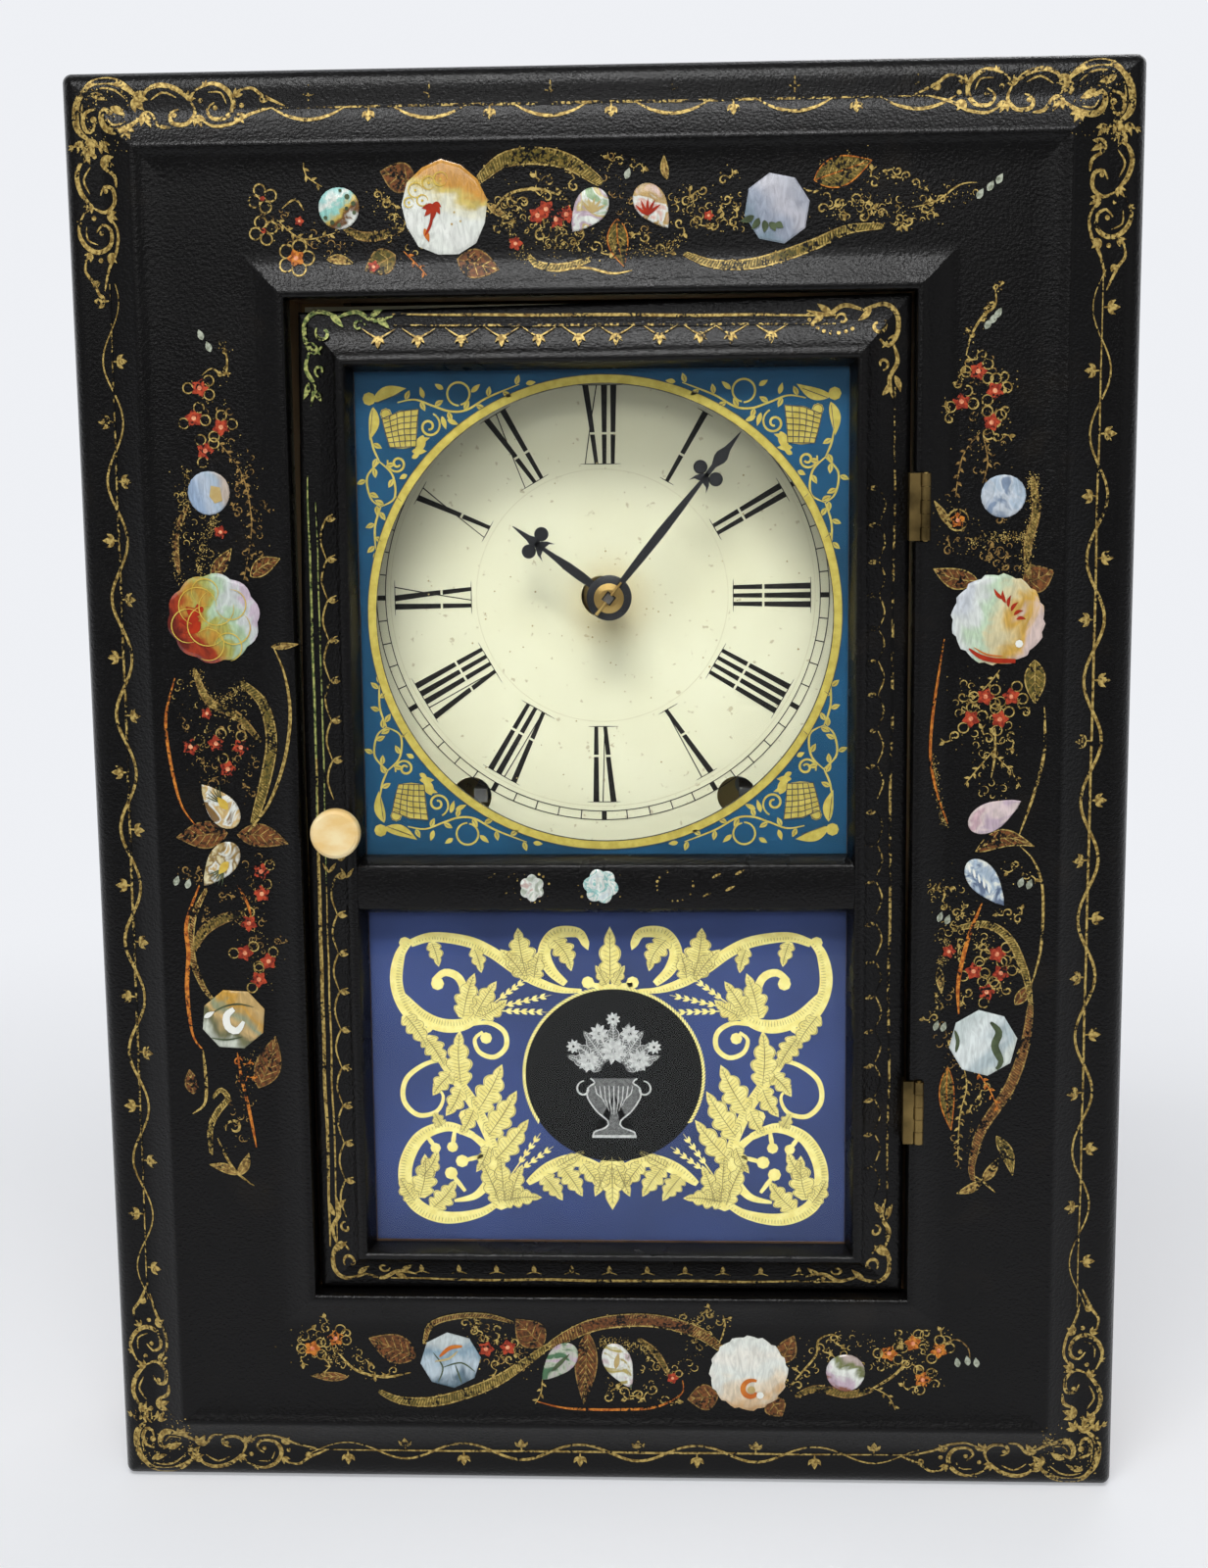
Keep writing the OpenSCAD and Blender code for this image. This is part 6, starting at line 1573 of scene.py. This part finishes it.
def make_upper_painting():
    box = (-77, 77, 206.5, 359.5)
    glass_layer("spandrel_ground", teal, GROUND_H, (RING, RING_R - 1.2), box)
    ring = glass_paint("spandrel_ring", glass_gold, MOTIF_H)
    ring.stroke(circle(RING, RING_R - RING_WIDTH / 2, 160, True), RING_WIDTH, 1, 1)
    edge = glass_paint("ring_lines", engraved, LINE_H)
    for r, w in ((RING_R, 0.22), (RING_R - RING_WIDTH, 0.3)):
        edge.stroke(circle(RING, r, 160, True), w, 1, 1)
    motif = glass_paint("spandrel_gold", glass_gold, MOTIF_H)
    for sx in (-1, 1):
        for z, sz in ((UPPER_Z1 - 1.4, -1), (MID_Z1 + 1.0, 1)):
            spandrel(motif, edge, mirrored((sx * GLASS_X, z), -sx, sz))
    for paint in (ring, edge, motif):
        paint.build()


def acanthus(paint, fine, base, tip, width, bend, lobes, move=None):
    """Lobed leaf with engraved ribs"""
    if move:
        base = move(base)
        tip = move(tip)
    if move and move((1, 0))[0] < move((0, 0))[0]:
        bend = -bend
    at = blade(base, tip)
    rows = 8 * lobes
    rims = ([], [])
    for i in range(rows + 1):
        t = i / rows
        phase = (t * lobes) % 1
        cut = 0.7 + 0.42 * math.sin(math.pi * phase ** 1.4) ** 0.6
        w = width / 2 * math.sin(math.pi * (0.14 + 0.86 * t) ** 0.85) * (cut if t < 0.97 else 1)
        off = bend * math.sin(math.pi * t * 0.9)
        for rim, s in zip(rims, (1, -1)):
            rim.append(at(t, off + s * w))
    paint.next_shape()
    start = len(paint.verts)
    for a, b in zip(*rims):
        paint.point(a)
        paint.point(b)
    for i in range(rows):
        k = start + 2 * i
        paint.faces.append((k + 1, k + 3, k + 2, k))
    for f in (0.0, 0.45, -0.45):
        line = []
        for i in range(1, rows - 1):
            a, b = rims[0][i], rims[1][i]
            line.append((a[0] * (0.5 + f) + b[0] * (0.5 - f), a[1] * (0.5 + f) + b[1] * (0.5 - f)))
        fine.stroke(line, 0.22 if f else 0.3, 0.6, 0.3)
    for i in range(2, rows - 2, 2):
        for rim in rims:
            mid = midpoint(rims[0][i], rims[1][i])
            fine.straight(mid, toward(mid, rim[min(rows, i + 2)], 0.75), 0.16, 0.8, 0.4)


def engraved_band(paint, fine, points, width, start, end, move):
    """Band with short engraved strokes from its middle to one edge"""
    line = curve(points, 0.9)
    paint.stroke(line, width, start, end, move)
    n = len(line) - 1
    for i in range(2, n - 1):
        t = i / n
        along = heading(line, i)
        half = width / 2 * min(1, 0.3 + 2 * t, 0.3 + 2 * (1 - t)) * 0.8
        a = (line[i][0] - along.y * half, line[i][1] + along.x * half)
        fine.straight(line[i], a, 0.18, 0.8, 0.4, move)


def wheat(paint, base, tip, move, ears=5):
    """Stalk with grains along its outer half"""
    paint.straight(base, tip, 0.45, 0.8, 0.3, move)
    for i in range(ears):
        p = toward(base, tip, 0.35 + 0.6 * i / ears)
        for s in (24, -24):
            paint.leaf(p, frame_at(p, angle_of(base, tip) + s)((2.3, 0)), 0.9, 0, move)


def tablet_half(paint, fine, move):
    """Scrolls and leaves of one side of the lower pane, drawn for the left"""
    def leaf(base, tip, width, bend=0.0, lobes=4):
        acanthus(paint, fine, base, tip, width, bend, lobes, move)

    def band(points, width, start, end):
        engraved_band(paint, fine, points, width, start, end, move)

    # Top band and its leaves
    band([(-9, 165.4), (-15, 165.6), (-22.5, 168), (-30, 172.6), (-37.2, 177.8), (-44.7, 181.2),
        (-55.6, 182.6), (-62.6, 180.6)], 3.6, 0.3, 0.7)
    paint.dot((-64.4, 180.8), 1.9, move)
    paint.dot((-7, 168), 2.0, move)
    for x, z in ((-56, 181), (-42.6, 179)):
        leaf((x, z), (x + 2, z - 8), 4.6, 0.4, 3)
    leaf((-26, 169.5), (-28.6, 185.6), 9.4, 0.6, 5)
    leaf((-27, 170), (-34.6, 178.6), 5.6, -0.6, 3)
    leaf((-24, 169), (-21.6, 178.4), 5.6, 0.4, 3)
    band([(-14, 167.6), (-18.6, 172), (-20.6, 178), (-17, 183.6), (-10, 184), (-7.6, 180.4)], 4.0, 0.5, 0.6)
    paint.leaf((-8.6, 183), (-6.8, 178.4), 2.6, 0, move)
    leaf((-18, 182), (-12.6, 171.4), 6.6, 1.6)
    paint.dot((-19.2, 173.8), 1.4, move)
    # Left band
    band([(-62.6, 181.6), (-66, 177), (-67.4, 168), (-64.8, 159.6), (-58.4, 151.6)], 4.0, 0.5, 0.5)
    paint.stroke([(-61.6, 150.4), (-57.4, 152.8), (-54.6, 155.4)], 1.8, 0.7, 0.7, move)
    # Inner scroll
    band([(-66, 164.6), (-60, 157.4), (-53.4, 154.2), (-46.5, 154.4), (-39.6, 158)], 4.4, 0.3, 0.4)
    paint.flow([(-47.4, 156.6), (-45.6, 163), (-47.6, 169.4), (-52, 171.2), (-55.6, 168.4)], 2.6,
        0.4, 0.7, move)
    paint.dot((-54.4, 167.6), 2.1, move)
    leaf((-46.6, 156.4), (-42.4, 171), 7.0, 0.6)
    leaf((-43, 156.6), (-35.6, 168.4), 6.6, 0.4)
    leaf((-41, 157), (-32.6, 162.6), 5.6, -0.6, 3)
    paint.flow([(-46, 154), (-38.6, 155), (-33.6, 152), (-33.2, 147), (-37, 143.8), (-41.6, 145.4),
        (-43, 149.6), (-40.4, 152)], 1.6, 0.6, 0.6, move)
    paint.dot((-39.4, 150), 1.9, move)
    leaf((-65, 157.6), (-58, 146.4), 6.0, 0.6)
    for tip in ((-24.6, 170.4), (-18.6, 164), (-20, 158.4)):
        wheat(paint, (-40, 159), tip, move)
    # Stem that falls to the cup
    band([(-58.4, 150.4), (-53.6, 143), (-48.4, 135.4), (-43, 127), (-38.4, 116), (-35, 103)], 3.6, 0.6, 0.5)
    leaf((-58.6, 150.4), (-52.4, 140), 6.4, 0.4)
    leaf((-47.6, 134.6), (-47.4, 152.6), 8.0, 0.8)
    leaf((-50.6, 138.4), (-56.6, 131), 5.6, -0.6, 3)
    leaf((-47.6, 134), (-53, 124.6), 6.0, 0.8, 3)
    leaf((-42.6, 126), (-34.6, 141.6), 8.2, -0.6)
    leaf((-43.6, 127), (-48.6, 118.4), 5.0, 0.6, 3)
    leaf((-39.6, 117.6), (-30, 133), 7.6, -0.4)
    leaf((-37.6, 109.6), (-26.4, 123.6), 7.2, -0.4)
    leaf((-39, 115), (-43.6, 106), 4.6, 0.6, 3)
    paint.flow([(-48.4, 139.6), (-52, 142.6), (-58.6, 141.6), (-65, 136.6), (-66, 129.6), (-61.6, 124.8),
        (-55.6, 126), (-53.4, 131), (-56.6, 135)], 1.6, 0.6, 0.3, move)
    paint.dot((-46.6, 124.6), 2.0, move)
    # Great scroll at the foot
    band([(-34, 98), (-42, 92.6), (-53.4, 90.8), (-62.4, 94.6), (-66, 102), (-65.3, 110.3), (-60.4, 118),
        (-52, 121), (-44, 118)], 4.4, 0.3, 0.5)
    paint.flow([(-46, 119.4), (-39.6, 113.4), (-38.8, 105), (-43.4, 98.4), (-50.6, 96.4)], 2.8,
        0.6, 0.3, move)
    leaf((-63, 96), (-68, 104.6), 5.6, 0.4, 3)
    leaf((-61.6, 97.4), (-60, 112), 7.6, -1.0)
    leaf((-57.6, 94), (-50, 103.6), 6.6, -0.8)
    leaf((-61, 104), (-55.6, 113.4), 5.6, -0.8, 3)
    leaf((-54, 121), (-56.6, 126), 4.0, 0, 3)
    for p, r in (((-56.2, 113.9), 1.7), ((-50.8, 114.3), 1.8), ((-47.8, 109.6), 2.1), ((-51.4, 105.6), 2.1)):
        paint.dot(p, r, move)
    for a, b in (((-56.2, 113.9), (-59, 118)), ((-50.8, 114.3), (-50, 119.6)), ((-47.8, 109.6), (-41, 111.4)),
                 ((-51.4, 105.6), (-47, 99.6))):
        paint.straight(a, b, 1.5, 0.7, 0.7, move)
    # Cup
    leaf((-36, 95.6), (-42, 110), 6.4, -0.4)
    leaf((-34.4, 95.6), (-35.6, 112), 6.4, 0)
    leaf((-32.8, 96), (-28.4, 108.6), 6.0, 0.4)
    leaf((-35, 96.4), (-22.4, 97.4), 6.0, 0.8)
    paint.dot((-35.6, 96.8), 3.4, move)
    for tip in ((-22.6, 119), (-18.6, 114.6)):
        wheat(paint, (-33, 104), tip, move, 4)
    # Leaf band along the foot
    band([(-27, 102.4), (-20, 107.4), (-12.6, 110), (-4, 108)], 4.2, 0.4, 0.5)
    leaf((-22, 105), (-16, 96.6), 6.0, 0.4)
    leaf((-16, 108), (-9.6, 98), 6.4, 0.4)
    leaf((-9.6, 109.4), (-3.4, 100.6), 5.4, 0.2, 3)
    leaf((-18, 107.6), (-8, 113.4), 3.6, 0, 3)


def make_tablet():
    x = 76.8
    field = glass_paint("tablet_ground", blue, GROUND_H)
    field.patch([(-x, 82.5), (0, 82.5), (x, 82.5), (x, 137), (x, 192), (0, 192), (-x, 192), (-x, 137)])
    scroll = glass_paint("tablet_scroll", cream, MOTIF_H)
    fine = glass_paint("tablet_lines", ribs, LINE_H)
    for s in (1, -1):
        tablet_half(scroll, fine, mirrored((1, 0), s, 1))
    # Finial above and leaf below the medallion
    for p, q, w in (((1, 169), (1, 186), 6.8), ((0, 167), (-3.6, 173.6), 3.6), ((2, 167), (5.6, 173.6), 3.6)):
        acanthus(scroll, fine, p, q, w, 0, 3)
    scroll.stroke([(-6, 167.4), (1, 166.4), (8, 167.4)], 2.2, 0.6, 0.6)
    for p, q, w in (((1, 112), (1, 93.6), 8.6), ((0, 109), (-4.6, 98), 5.6), ((2, 109), (6.6, 98), 5.6)):
        acanthus(scroll, fine, p, q, w, 0, 3)
    for paint in (field, scroll, fine):
        paint.build()


def make_medallion():
    c = (1.8, 138)
    r = 28.2
    dark = glass_paint("medallion_ground", charcoal, MOTIF_H + 0.03)
    dark.patch(circle(c, r, 96))
    rope = glass_paint("medallion_rope", cream, MOTIF_H + 0.06)
    for i in range(110):
        a = math.radians(-32 + 244 * i / 109)
        p = (c[0] + (r + 0.2) * math.cos(a), c[1] + (r + 0.2) * math.sin(a))
        move = frame_at(p, math.degrees(a) + 55)
        rope.leaf((-1.0, 0), (1.0, 0), 0.7, 0, move)
    pale = glass_paint("medallion_pale", silver, LINE_H)
    dim = glass_paint("medallion_dim", silver_dim, MOTIF_H + 0.09)
    # Vase with foot
    side = [(0, -16), (6.4, -16), (6.4, -14.6), (2.6, -13), (2, -11), (5.6, -7.6), (8.4, -3), (8, 0),
        (6, 1.6), (7.4, 3)]
    half = curve(side[1:], 0.8)
    right = [(c[0] + x, c[1] - 4 + z) for x, z in half]
    left = [(c[0] - x, c[1] - 4 + z) for x, z in reversed(half)]
    dim.patch(right + left, (c[0], c[1] - 6))
    for s in (1, -1):
        pale.stroke([(c[0] + s * x, c[1] - 4 + z) for x, z in half], 0.5, 1, 1)
    for k in range(-4, 5):
        x = k * 1.5
        z = c[1] - 3.5
        drop = 9.4 - 0.28 * k * k
        pale.stroke([(c[0] + x, z), (c[0] + x * 0.9, z - drop / 2), (c[0] + x * 0.5, z - drop)],
            0.36, 0.8, 0.3)
    pale.stroke([(c[0] - 7, c[1] - 20), (c[0], c[1] - 20), (c[0] + 7, c[1] - 20)], 0.9, 1, 1)
    for s in (1, -1):
        pale.stroke(whorl((c[0] + s * 9.4, c[1] - 4.6), 2.8, 1.2, 90, 90 - s * 300), 0.6, 0.6, 0.8)
    # Blooms and leaves
    for k in range(9):
        a = 20 + 17.5 * k
        move = frame_at((c[0], c[1] + 1), a)
        acanthus(dim, pale, (4, 0), (17.5 - 0.4 * abs(k - 4), 0), 4.6, 0, 4, move)
    for x, z, size in ((0, 8, 4.6), (-8, 4.6, 3.8), (8, 4.8, 3.8), (-4.6, 13.6, 3.2), (5.2, 13.4, 3.2),
            (0, 18.2, 2.4), (-12.6, 9.4, 2.4), (12.8, 9.2, 2.4)):
        for ring, petals in ((1.0, 9), (0.6, 6)):
            for k in range(petals):
                move = frame_at((c[0] + x, c[1] + z), 360 * k / petals + 20 * ring)
                pale.leaf((0.15 * size, 0), (size * ring, 0), size * 0.42 * ring, 0, move)
    for paint in (dark, rope, pale, dim):
        paint.build()


make_upper_painting()
make_tablet()
make_medallion()


# Dial

INNER = 41.2
SPLIT = 50.6
OUTER = 65.4
MINUTES = (68.4, 71.2)
BAR_STEPS = 8


def dial_paint(name, material, up):
    return Paint(name, material, "case", "dial_paint", lambda x, z: DIAL_FACE, up)


def bar(paint, u0, u1, v0, v1, w0, w1, move):
    """Straight bar between two radii whose width changes from w0 to w1"""
    paint.next_shape()
    before = None
    for i in range(BAR_STEPS + 1):
        t = i / BAR_STEPS
        u, v = toward((u0, v0), (u1, v1), t)
        w = (w0 + (w1 - w0) * t) / 2
        a = paint.point(move((u - w, v)))
        b = paint.point(move((u + w, v)))
        if before:
            paint.faces.append((before[0], before[1], b, a))
        before = (a, b)


def thick(paint, u0, u1, move):
    """Heavy bar with the small gap that old stencils leave"""
    um = u0 + (u1 - u0) * (SPLIT - INNER) / (OUTER - INNER)
    bar(paint, u0, um, INNER, SPLIT - 0.35, 1.35, 1.6, move)
    bar(paint, um, u1, SPLIT + 0.35, OUTER, 1.55, 1.9, move)


def hair(paint, u0, u1, move):
    bar(paint, u0, u1, INNER, OUTER, 0.3, 0.36, move)


def numeral(paint, text, angle):
    """Hour number whose foot is toward the centre"""
    a = math.radians(angle)

    def move(p):
        u = p[0] * (0.9 + 0.1 * (p[1] - INNER) / (OUTER - INNER))
        return (DIAL[0] + p[1] * math.sin(a) + u * math.cos(a),
            DIAL[1] + p[1] * math.cos(a) - u * math.sin(a))

    widths = {"I": 2.9, "V": 5.0, "X": 5.6}
    total = sum(widths[c] for c in text)
    u = -total / 2
    for c in text:
        w = widths[c]
        if c == "I":
            thick(paint, u + w / 2, u + w / 2, move)
        elif c == "V":
            thick(paint, u + w * 0.66, u + 0.9, move)
            hair(paint, u + w * 0.7, u + w - 0.7, move)
        else:
            thick(paint, u + w - 1.3, u + 1.2, move)
            hair(paint, u + 0.4, u + w - 0.9, move)
        u += w
    for v in (INNER, OUTER):
        line = [move((-total / 2 - 1.3 + (total + 2.6) * i / 8, v)) for i in range(9)]
        paint.stroke(line, 0.26, 0.4, 0.4)


def make_dial():
    black = flat_paint("dial_ink", (0.01, 0.009, 0.008), (0.02, 0.018, 0.015), 0.6)
    ink = dial_paint("dial_numerals", black, 0.08)
    hours = ["XII", "I", "II", "III", "IIII", "V", "VI", "VII", "VIII", "IX", "X", "XI"]
    for k, text in enumerate(hours):
        numeral(ink, text, 30 * k)
    for r in MINUTES:
        ink.stroke(circle(DIAL, r, 180, True), 0.28, 1, 1)
    for k in range(60):
        width = 0.35 if k % 5 else 1.6
        bar(ink, 0, 0, *MINUTES, width, width, frame_at(DIAL, -6 * k))
    ink.build()
    scribed = flat_paint("dial_scribe", (0.66, 0.62, 0.42), (0.7, 0.67, 0.47), 0.6)
    faint = dial_paint("dial_circles", scribed, 0.03)
    for r in (39.6, 66.8):
        faint.stroke(circle(DIAL, r, 180, True), 0.28, 1, 1)
    stains = flat_paint("dial_stain", (0.36, 0.27, 0.12), (0.5, 0.42, 0.22), 0.6, 700)
    marks = dial_paint("dial_specks", stains, 0.12)
    for _ in range(90):
        a = random.uniform(0, 2 * math.pi)
        r = random.uniform(9, 70)
        marks.dot((DIAL[0] + r * math.cos(a), DIAL[1] + r * math.sin(a)), random.uniform(0.12, 0.34))
    faint.build()
    marks.build()


make_dial()


# Hands

HANDS_AT = (1.6, 287.9)
HUB_R = 6.9


def make_hand(name, body, angle, back, up, blade, balls, spear):
    """Flat hand with a bevelled edge: blade, two round lobes and a long point.
    blade and spear hold distances from the middle and half widths"""
    ball_at, ball_off, ball_r = balls
    shapes = [[(w, r) for r, w in part] + [(-w, r) for r, w in reversed(part)] for part in (blade, spear)]
    for s in (1, -1):
        shapes.append(circle((s * ball_off, ball_at), ball_r, 20))
        shapes.append([(0, ball_at - 3.2), (s * 2.2, ball_at - 3.8), (s * 3.3, ball_at - 5.2),
            (s * 2.6, ball_at - 2.8), (s * 1.4, ball_at - 1.2), (0, ball_at)][::s])
    shapes.append(circle((0, 0), HUB_R, 32))
    a = math.radians(angle)
    verts = []
    faces = []
    for shape in shapes:
        n = len(shape)
        mx = sum(p[0] for p in shape) / n
        mz = sum(p[1] for p in shape) / n
        first = len(verts)
        for share, h in ((1, back), (1, back + up * 0.6), (0.86, back + up)):
            for x, z in shape:
                x = mx + (x - mx) * share
                z = mz + (z - mz) * (share if abs(z - mz) < 8 else 1 - (1 - share) * 0.2)
                verts.append(place(HANDS_AT[0] + x * math.cos(a) + z * math.sin(a),
                    HANDS_AT[1] + z * math.cos(a) - x * math.sin(a), h))
        faces += tube(first, n, 3)
        faces.append(tuple(first + i for i in reversed(range(n))))
        faces.append(tuple(first + 2 * n + i for i in range(n)))
    piece = finish_mesh(name, verts, faces, hand_black, body, "blue_steel", 25)
    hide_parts(name.replace("_visual", ""))


def make_hands():
    make_hand("minute_hand_visual", "minute", 39, 0.0, 0.85,
        [(4, 0.9), (16, 1.3), (26, 1.42), (36, 1.1), (46.4, 0.55), (49, 0.8)], (48.6, 3.0, 2.15),
        [(47, 0.7), (51.4, 0.8), (54, 1.9), (55.4, 2.0), (58, 1.0), (61, 0.55), (64.5, 0.12)])
    make_hand("hour_hand_visual", "hour", -53.3, -3.5, 0.75,
        [(5, 1.1), (11, 1.5), (16, 1.42), (21, 0.9), (25.5, 0.6), (28.6, 0.9)], (28.4, 3.3, 2.2),
        [(26.5, 0.9), (29, 1.7), (31, 0.95), (34, 0.55), (37, 0.12)])


hand_black = new_material("hand_black", (0.008, 0.008, 0.01), 0.35)[0]
make_hands()


# Materials of the solids

def glass_material():
    """Clear glass that lets light through without a shadow"""
    tint = (0.97, 0.985, 0.98)
    material, tree, shader = new_material("pane", tint, 0.02)
    shader.inputs["Transmission Weight"].default_value = 1
    shader.inputs["IOR"].default_value = 1.2
    clear = tree.nodes.new("ShaderNodeBsdfTransparent")
    clear.inputs["Color"].default_value = (*tint, 1)
    path = tree.nodes.new("ShaderNodeLightPath")
    mix_shaders(tree, path.outputs["Is Shadow Ray"], shader, clear)
    return material


def dial_material():
    """Cream paint with a brown stain round the collar"""
    material, tree, shader = new_material("dial_cream", (0.76, 0.74, 0.52), 0.45)
    cloud = add_noise(tree, 22, 5)
    tone = add_ramp(tree, cloud, [(0.3, (0.71, 0.68, 0.46)), (0.7, (0.79, 0.77, 0.56))])
    spots = add_ramp(tree, add_noise(tree, 420, 2), [(0.69, grey(0)), (0.73, grey(0.6))])
    tone = add_mix(tree, spots, tone, (0.42, 0.34, 0.18))
    collar = place(DIAL[0] + 2, DIAL[1] - 2, DIAL_FACE)
    near = add_math(tree, "VectorMath", "DISTANCE", object_coordinates(tree), collar)
    fade = add_ramp(tree, near, [(0.007, grey(0.55)), (0.017, grey(0))])
    tone = add_mix(tree, fade, tone, (0.52, 0.4, 0.16))
    tree.links.new(tone, shader.inputs["Base Color"])
    return material


def bone_material():
    material, tree, shader = new_material("bone", (0.8, 0.6, 0.27), 0.28)
    bands = add_noise(tree, 90, 4, (1, 1, 2))
    tone = add_ramp(tree, bands, [(0.35, (0.82, 0.56, 0.22)), (0.6, (0.9, 0.74, 0.42))])
    tree.links.new(tone, shader.inputs["Base Color"])
    return material


PINE = ((0.42, 0.25, 0.1), (0.22, 0.11, 0.04))
pine = wood("pine", *PINE)
pine_across = wood("pine_across", *PINE, 0)
ground = wood("ground_wood", (0.16, 0.085, 0.035), (0.07, 0.035, 0.015))
brass = metal("brass", (0.78, 0.58, 0.22), (0.46, 0.3, 0.1), 0.34)
hinge_brass = metal("hinge_brass", (0.24, 0.165, 0.06), (0.07, 0.05, 0.02), 0.36)
steel = metal("steel", (0.42, 0.41, 0.4), (0.2, 0.18, 0.16), 0.35)
iron = metal("iron", (0.1, 0.095, 0.09), (0.05, 0.035, 0.025), 0.55)
black_edge = japanned("japanned_sides", (1, 9, 1))
dial_cream = dial_material()
bone = bone_material()
clear_glass = glass_material()
SLOT_MATERIALS = {
    "japanned_paper": black_edge, "ground_wood": ground, "pine": pine, "door_lacquer": black_edge,
    "dial_paint": dial_cream, "brass": brass, "hinge_brass": hinge_brass, "steel": steel,
    "blue_steel": hand_black, "iron": iron, "clear_glass": clear_glass, "painted_glass": clear_glass,
    "pearl": bone, "knob_bone": bone,
}
ACROSS = ("case_top", "case_bottom")


def dress_solids():
    """Gives each slot of the solids its material; the boards that lie across have their grain along x"""
    for name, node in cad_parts.items():
        for slot in node.material_slots:
            label = slot.material.name.split(".")[0] if slot.material else ""
            if label in SLOT_MATERIALS:
                slot.material = pine_across if name in ACROSS else SLOT_MATERIALS[label]


dress_solids()


# Stage, light and camera

PALE = (0.86, 0.875, 0.91)
WORLD_LIGHT = (0.24, 0.245, 0.255)
STAGE_FRONT = -0.8
STAGE_BACK = 1.9
STAGE_SIDE = 6
STAGE_BEND = 0.5
STAGE_TOP = 3


def seen(tree):
    """1 for camera, glossy and transmission rays"""
    path = tree.nodes.new("ShaderNodeLightPath")
    value = path.outputs["Is Camera Ray"]
    for name in ("Is Glossy Ray", "Is Transmission Ray"):
        value = add_math(tree, "Math", "MAXIMUM", value, path.outputs[name])
    return value


def stage_material():
    """Pale matt paper that keeps the shadow near the object and is evenly pale far from it"""
    paper, tree, shader = new_material("stage_pale", (0.9, 0.91, 0.93), 0.6)
    shader.inputs["Specular IOR Level"].default_value = 0.1
    away = add_math(tree, "VectorMath", "LENGTH", object_coordinates(tree))
    fade = add_ramp(tree, away, [(0.3, grey(0.37)), (0.9, grey(1))], True)
    glow = tree.nodes.new("ShaderNodeEmission")
    glow.inputs["Color"].default_value = (*PALE, 1)
    mix_shaders(tree, add_math(tree, "Math", "MULTIPLY", fade, seen(tree)), shader, glow)
    return paper


def make_stage():
    """Floor that bends up into a backdrop far behind the object"""
    bend = STAGE_BEND
    section = [(STAGE_FRONT, 0), (STAGE_BACK - bend, 0)]
    for i in range(1, 13):
        a = math.pi / 2 * i / 12
        section.append((STAGE_BACK - bend + bend * math.sin(a), bend - bend * math.cos(a)))
    section.append((STAGE_BACK, STAGE_TOP))
    verts = [(x, y, z) for y, z in section for x in (-STAGE_SIDE, STAGE_SIDE)]
    faces = [(2 * i, 2 * i + 1, 2 * i + 3, 2 * i + 2) for i in range(len(section) - 1)]
    piece = new_piece("stage", verts, faces, stage_material())


def make_world():
    world = bpy.data.worlds.new("world")
    world.use_nodes = True
    world.node_tree.nodes["Background"].inputs["Color"].default_value = (*WORLD_LIGHT, 1)
    bpy.context.scene.world = world


def area_light(name, where, target, size, watts):
    light = bpy.data.lights.new(name, "AREA")
    light.shape = "RECTANGLE"
    light.size = size[0]
    light.size_y = size[1]
    light.energy = watts
    lamp = bpy.data.objects.new(name, light)
    lamp.location = where
    lamp.rotation_euler = (Vector(target) - Vector(where)).to_track_quat("-Z", "Y").to_euler()
    bpy.context.scene.collection.objects.link(lamp)


def make_camera():
    """The photo's view, solved from the object's edges"""
    camera = bpy.data.cameras.new("camera")
    camera.sensor_fit = "AUTO"
    camera.sensor_width = 36
    camera.lens = 50.625
    view = bpy.data.objects.new("camera", camera)
    right = Vector((0.99881415, 0.04747267, -0.01079966))
    down = Vector((-0.00328391, -0.15562648, -0.98781052))
    ahead = Vector((-0.04857471, 0.98667459, -0.15528603))
    matrix = view.matrix_world.copy()
    for i, axis in enumerate((right, -down, -ahead)):
        for k in range(3):
            matrix[k][i] = axis[k]
    matrix.translation = Vector((0.03281, -0.72557, 0.33675))
    view.matrix_world = matrix
    bpy.context.scene.collection.objects.link(view)
    bpy.context.scene.camera = view


make_stage()
make_world()
area_light("key", (-1.1, -1.2, 0.9), (0, 0, 0.25), (0.7, 0.7), 2)
area_light("strip", (-0.1, -1.0, 1.62), (0, -0.05, 0.38), (0.95, 0.3), 15)
area_light("wide", (0, -0.95, 2.0), (0, 0, 0.3), (1.6, 0.9), 9)
area_light("front", (-0.1, -1.6, 0.9), (0, 0, 0.25), (1.0, 0.35), 3.5)
area_light("fill", (1.25, -1.15, 0.7), (0, 0, 0.2), (0.9, 0.9), 1)
area_light("back", (0.7, 1.7, 1.2), (0, 0, 0.2), (1.0, 1.0), 8)
make_camera()
bpy.context.scene.view_settings.view_transform = "Standard"
